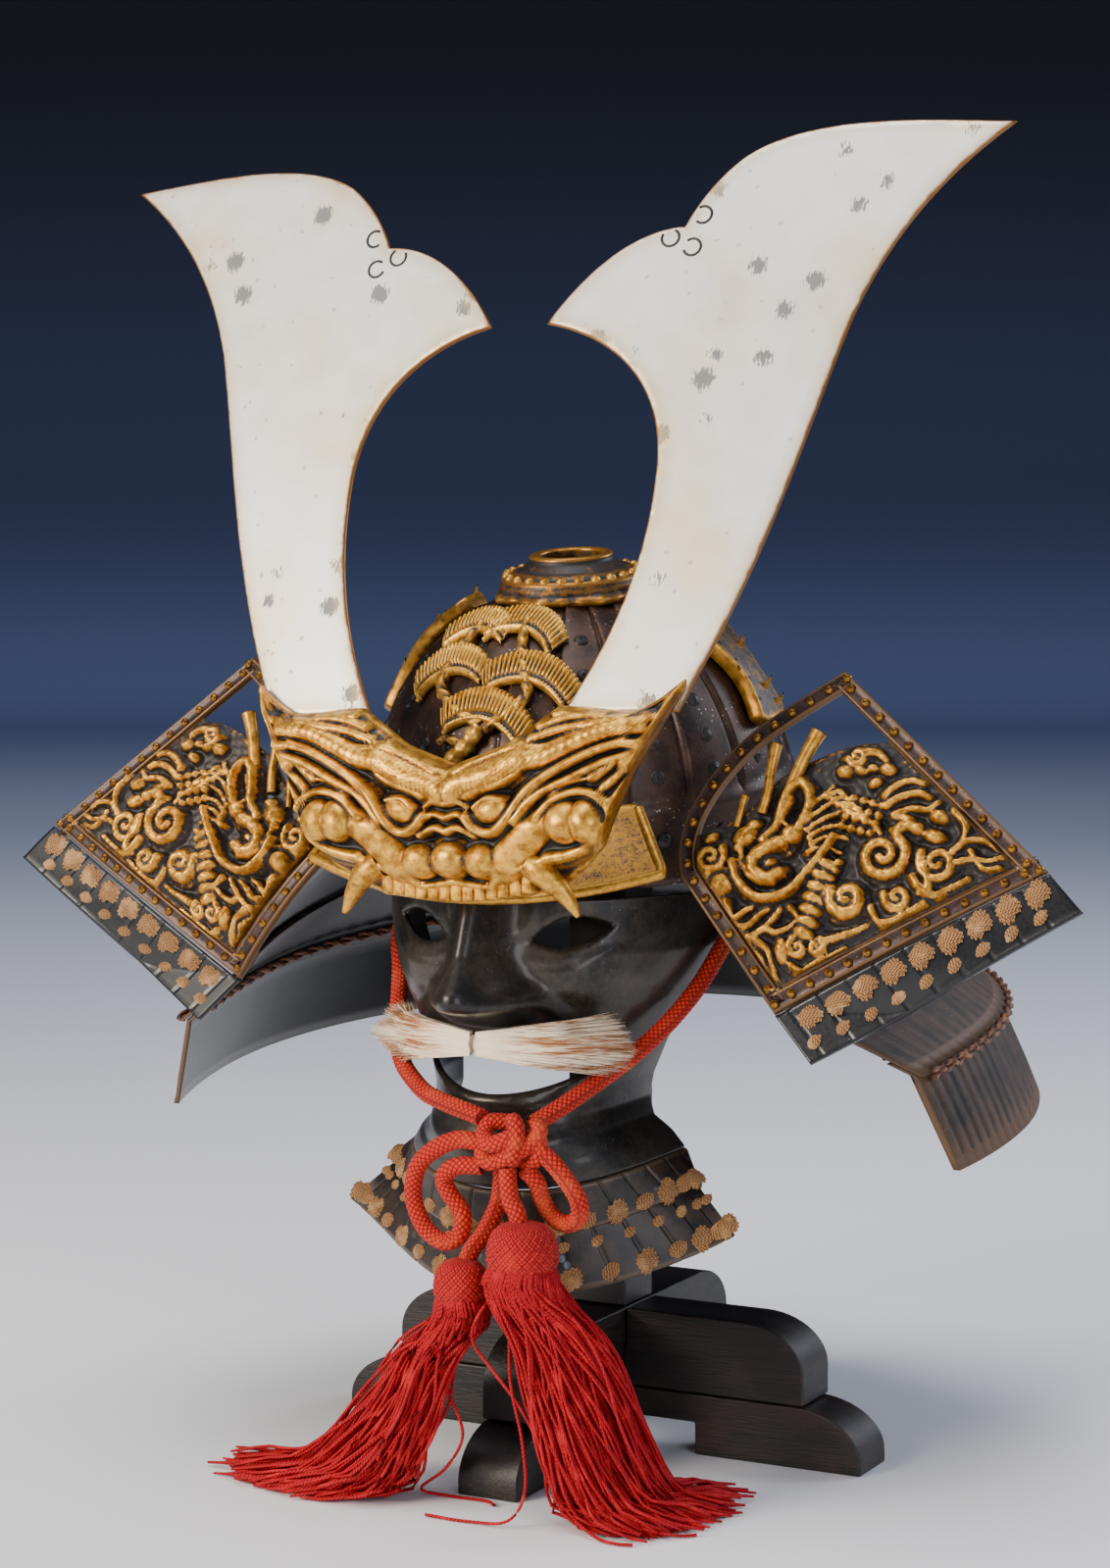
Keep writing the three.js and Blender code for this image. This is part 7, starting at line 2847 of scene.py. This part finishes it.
@dataclass(frozen=True)
class Mask:
    """The iron half mask, its moustache and its throat guard."""

    flange: float = 11.0
    thickness: float = 2.2
    reach: float = 88.0  # degrees from the front to the rear edge

    def build(self) -> None:
        """Makes the mask, the moustache and the throat guard."""
        self.iron()
        for side in ("left", "right"):
            self.moustache(side)
        self.throat()

    def raised(self, angle: Array) -> Array:
        """Gives the rise of the lower edge from the chin to the rear.

        Args:
            angle: Radians from the front.

        Returns:
            Millimetres.
        """
        return self.flange * np.abs(np.sin(angle)) ** 2.2

    def at(self, side: Array, level: Array, inset: float) -> Array:
        """Finds points of the mask.

        Args:
            side: From -1 to 1 round the face.
            level: From 0, the lower edge, to 1.
            inset: Millimetres in from the outer surface.

        Returns:
            Points.
        """
        levels = np.array(
            # height, half width, rear, front
            [(116, 55, -38, -95), (124, 50, -39, -99), (131, 43, -40, -104), (140, 41, -40, -101),
             (150, 42, -38, -99.5),
             (165, 46, -33, -101), (185, 57, -28, -103), (205, 65, -24, -104), (226, 68.5, -20, -102)],
            float,
        )
        nose_levels = np.array(
            # height, rise, half width
            [
                (178, 0, 14), (180.5, 5, 16), (183, 13, 17), (187, 29, 15.5), (190, 31.5, 14),
                (193, 31, 13), (206, 22, 9), (226, 16, 8)
            ],
            float,
        )
        nominal = levels[0, 0] + (levels[-1, 0] - levels[0, 0]) * level
        angle = side * np.radians(self.reach)
        z = nominal + self.raised(angle) * (1 - level) ** 2
        half, rear, front = (np.interp(nominal, levels[:, 0], levels[:, k]) for k in (1, 2, 3))
        x = (half - inset) * np.sin(angle)
        rise, width = (np.interp(z, nose_levels[:, 0], nose_levels[:, k]) for k in (1, 2))
        nose = rise * np.exp(-(np.abs(x / width) ** 2.4))
        swells = 7 * np.exp(-(((np.abs(x) - 17) / 7) ** 2) - ((z - 190) / 4.5) ** 2)
        swells += 4 * np.exp(-(((np.abs(x) - 38) / 13) ** 2) - ((z - 197) / 9) ** 2)
        swells += 3 * np.exp(-(((z - 150) / 4) ** 2) - (x / 24) ** 4)
        swells += self.wrinkles(np.abs(x), z)
        y = rear + (front + inset - rear) * np.maximum(np.cos(angle), 0) ** 0.9 - nose - swells
        return np.stack([x, y, z], axis=-1)

    def wrinkles(self, x: Array, z: Array) -> Array:
        """Gives the folds hammered into the iron beside the nose, under the eyes and on the chin.

        Args:
            x: Distance from the middle.
            z: Height.

        Returns:
            Millimetres.
        """
        folds = (
            # stops (distance from the middle, height), half width, rise
            (((20, 200), (27, 199), (35, 201), (45, 207)), 2.4, 0.9),
            (((17, 196), (24, 191), (32, 186), (42, 183)), 3.2, -1.2),
            (((14, 207), (18, 204), (25, 203), (33, 204)), 1.8, 0.8),
            (((10, 212), (14, 214), (17, 219), (18, 226)), 2.6, 1.0),
            (((24, 184), (30, 179), (35, 172), (38, 165)), 3.0, 1.3),
            (((0, 143), (10, 143), (22, 145), (33, 150)), 3.0, -1.2),
            (((0, 133.5), (12, 133.5), (26, 136), (40, 141)), 2.4, 0.8),
            (((0, 126), (14, 126), (30, 129), (46, 134)), 2.2, -0.9),
            (((40, 206), (48, 209), (56, 214), (62, 220)), 3.0, 0.9),
            (((41, 192), (50, 189), (58, 190)), 3.4, -0.8),
        )
        height = np.zeros(np.broadcast(x, z).shape)
        flat_x, flat_z = np.broadcast_arrays(x, z)
        for stops, width, rise in folds:
            gap, share = distance_to_line(flat_x, flat_z, curve_through(np.array(stops, float), 24))
            height += rise * np.exp(-((gap / width) ** 2)) * np.sin(np.pi * (0.08 + 0.84 * share)) ** 0.5
        return height

    def on_face(self, outline: Array) -> Array:
        """Turns an outline of places (x, z) into places (side, level).

        Args:
            outline: Shape (n, 2).

        Returns:
            Shape (n, 2).
        """
        x, z = outline[:, 0], outline[:, 1]
        heights = (116, 124, 131, 140, 150, 165, 185, 205, 226)
        halves = (55, 50, 43, 41, 42, 46, 57, 65, 68.5)
        nominal = z.copy()
        for _ in range(6):
            angle = np.arcsin(np.clip(x / np.interp(nominal, heights, halves), -0.999, 0.999))
            level = (nominal - 116) / 110
            nominal = z - self.raised(angle) * (1 - level) ** 2
        return np.stack([angle / np.radians(self.reach), (nominal - 116) / 110], axis=1)

    def iron(self) -> None:
        """Makes the iron shell with its mouth and eye openings."""
        width, height = 150.0, 110.0  # the flat field that the shell is cut from
        t = np.linspace(0, 1, 30, endpoint=False)[:, None]

        def arc(start: tuple, handle: tuple, end: tuple) -> Array:
            a, b, c = (np.array(p, float) for p in (start, handle, end))
            return a * (1 - t) ** 2 + 2 * b * t * (1 - t) + c * t**2

        mouth = np.vstack([
            arc((-37, 164), (0, 172), (37, 164)), arc((37, 164), (24, 153), (0, 152.5)),
            arc((0, 152.5), (-24, 153), (-37, 164))
        ])
        eyes = [np.vstack([
            arc((s * 18, 211), (s * 30, 203), (s * 44, 216)),
            arc((s * 44, 216), (s * 30, 225), (s * 18, 211))
        ]) for s in (1, -1)]
        holes = [self.on_face(loop) * (width / 2, height) for loop in (mouth, *eyes)]
        corners = [(-width / 2, 0), (width / 2, 0), (width / 2, height), (-width / 2, height)]
        plate = Plate.inside(corners, 1.25, holes, rounding=0.9)
        drop = rounded_edge(plate.edge, 0.9)
        side, level = plate.x / (width / 2), plate.y / height
        layers = [self.at(side, level, 0.0), self.at(side, level, self.thickness)]
        toward = layers[1] - layers[0]
        toward = toward / (np.linalg.norm(toward, axis=1, keepdims=True) + 1e-9)
        layers[0] = layers[0] + toward * drop[:, None]
        faces = plate.solid(lambda points: points, 0 * drop, 0 * drop).faces
        skin = Skin(np.vstack(layers), faces, np.tile(np.stack([plate.x, plate.y], axis=1), (2, 1)))
        piece("mask_iron", skin, Look(Finish.MASK.material(), "mask_bronze", ("mask",), wear_steps=10))

    def moustache(self, side: str) -> None:
        """Makes one half of the moustache of loose hairs, tied at the middle.

        Args:
            side: "left" or "right".
        """
        chance = np.random.default_rng(5 if side == "left" else 6)
        count = 1300
        spread = np.clip(chance.normal(0, 0.52, count), -1.1, 1.1)
        depth = chance.random(count)
        root = np.stack([1.2 + 0 * spread, -113.4 + 2.6 * depth, 173.2 + 3.9 * spread], axis=1)
        middle = np.stack([25 + 3 * chance.random(count), -109.4 + 3.6 * depth, 173.4 + 7.2 * spread], axis=1)
        length = 0.4 + 0.62 * chance.random(count) ** 0.75 * (1 - 0.5 * np.abs(spread) ** 1.3)
        stray = np.where(chance.random(count) > 0.95, 3.4, 1.0)
        tip = np.stack(
            [middle[:, 0] + (55 - middle[:, 0]) * length, -91.5 + 4.5 * depth + 0.05 * np.abs(spread) * 60,
             173.2 - 2.2 * length + (
                 4 + 10.5 * length * (1.25 - 0.5 * length)
             ) * spread + chance.normal(0, 0.6, count) * stray],
            axis=1,
        )
        paths = np.stack([curve_through(np.stack(stops), 6) for stops in zip(root, middle, tip)])
        radii = np.broadcast_to(np.array([0.3, 0.31, 0.29, 0.24, 0.15, 0.03]), (count, 6))
        hairs = tubes(paths, radii, 3)
        core = tube(curve_through(
            np.array([(0.6, -111.6, 173.2), (10, -110.6, 173.2), (27, -106.6, 173.4), (40, -98.5, 172.8)]),
            24
        ),
                    np.linspace(3.2, 1.2, 24), 12, squash=1.0)
        skin = Skin.joined([hairs, core])
        if side == "right":
            skin = skin.placed(lambda points: points * (-1, 1, 1))
        name = f"moustache_{side}"
        piece(name + "_hair", skin, Look(Finish.HAIR.material(), "moustache_hair", (name,)))

    def throat(self) -> None:
        """Makes the two lames of the throat guard, each of narrow scales, with their stitches."""
        lames = (
            # name, upper edge and lower edge: y and z in the middle, x, y and z at the ends, bend
            ("throat_lame_1", (-95, 115.6, 55, -38, 126.6, 0.9), (-94.5, 97, 66, -54, 116, 2.2)),
            ("throat_lame_2", (-91.4, 99.5, 62.6, -50, 115.5, 2.0), (-94, 75.5, 82, -57, 98, 3.6)),
        )
        for name, top, bottom in lames:
            self.throat_lame(name, top, bottom)

    def throat_lame(self, name: str, top: tuple, bottom: tuple) -> None:
        """Makes one lame.

        Args:
            name: CAD node that it stands for.
            top: Numbers of its upper edge.
            bottom: Numbers of its lower edge.
        """
        share = np.linspace(-1, 1, 273)[:, None]
        down = np.linspace(0, 1, 20)[None, :]

        def edge(row: tuple, side: Array, inset: float) -> Array:
            middle_y, middle_z, end_x, end_y, end_z, bend = row
            angle = side * np.radians(self.reach)
            x = (end_x - inset) * np.sin(angle)
            y = end_y + (middle_y + inset - end_y) * np.maximum(np.cos(angle), 0) ** bend
            z = middle_z + (end_z - middle_z) / self.flange * self.raised(angle)
            return np.stack([x, y, z], axis=-1)

        def at(side: Array, down: Array, inset: float) -> Array:
            high, low = edge(top, side, inset), edge(bottom, side, inset)
            return high + (low - high) * down[..., None]

        groove = np.abs(np.sin(np.pi * share * 8.5))
        drop = 0.75 * (1 - smooth(groove, 0.02, 0.17)) + 0.35 * (1 - groove) * 0.4
        drop = drop + rounded_edge(np.minimum(down, 1 - down) * 20, 0.8)
        front, back = at(share, down, 0.0), at(share, down, 2.0)
        toward = (back - front) / np.linalg.norm(back - front, axis=-1, keepdims=True)
        front = front + toward * np.minimum(drop, 1.3)[..., None]
        look = Look(Finish.THROAT.material(), "black_lacquer", (name,), wear_steps=4)
        piece(name + "_scales", wall(front, back), look)
        knots = []
        for index in range(-8, 9):
            for row, (level, size) in enumerate(((0.3, 0.62), (0.8, 0.92))):
                here = np.array(index / 8.5)
                if abs(here) > 0.97 or (name.endswith("1") and row == 0):
                    continue
                middle = at(here, np.array(level), 0.0)
                beside = at(here + 0.02, np.array(level), 0.0) - middle
                beside = beside / np.linalg.norm(beside)
                under = at(here, np.array(level + 0.05), 0.0) - middle
                out = np.cross(under, beside)
                out = out / np.linalg.norm(out)
                knots.append(stitch(
                    middle - 0.4 * out, beside, out, size, row == 1 and index % 2 == 0, index
                ))
        piece(name + "_stitches", Skin.joined(knots), Look(Finish.LACING.material(), "black_lacquer"))


# ---------------------------------------------------------------------------- everything


def main() -> None:
    """Builds the helmet in order and logs each part."""
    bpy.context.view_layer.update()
    steps: tuple[tuple[str, object], ...] = (
        ("studio", Studio()),
        ("cords and tassels", Cords()),
        ("stand", Stand()),
        ("bowl", Bowl()),
        ("neck guard", NeckGuard()),
        ("crest", Crest()),
        ("horns", Horns()),
        ("left wing", Wing("left")),
        ("right wing", Wing("right")),
        ("mask", Mask()),
    )
    for name, part in steps:
        part.build()
        LOG.info("built the %s", name)
    bpy.context.view_layer.update()


if __name__ == "__main__":
    main()
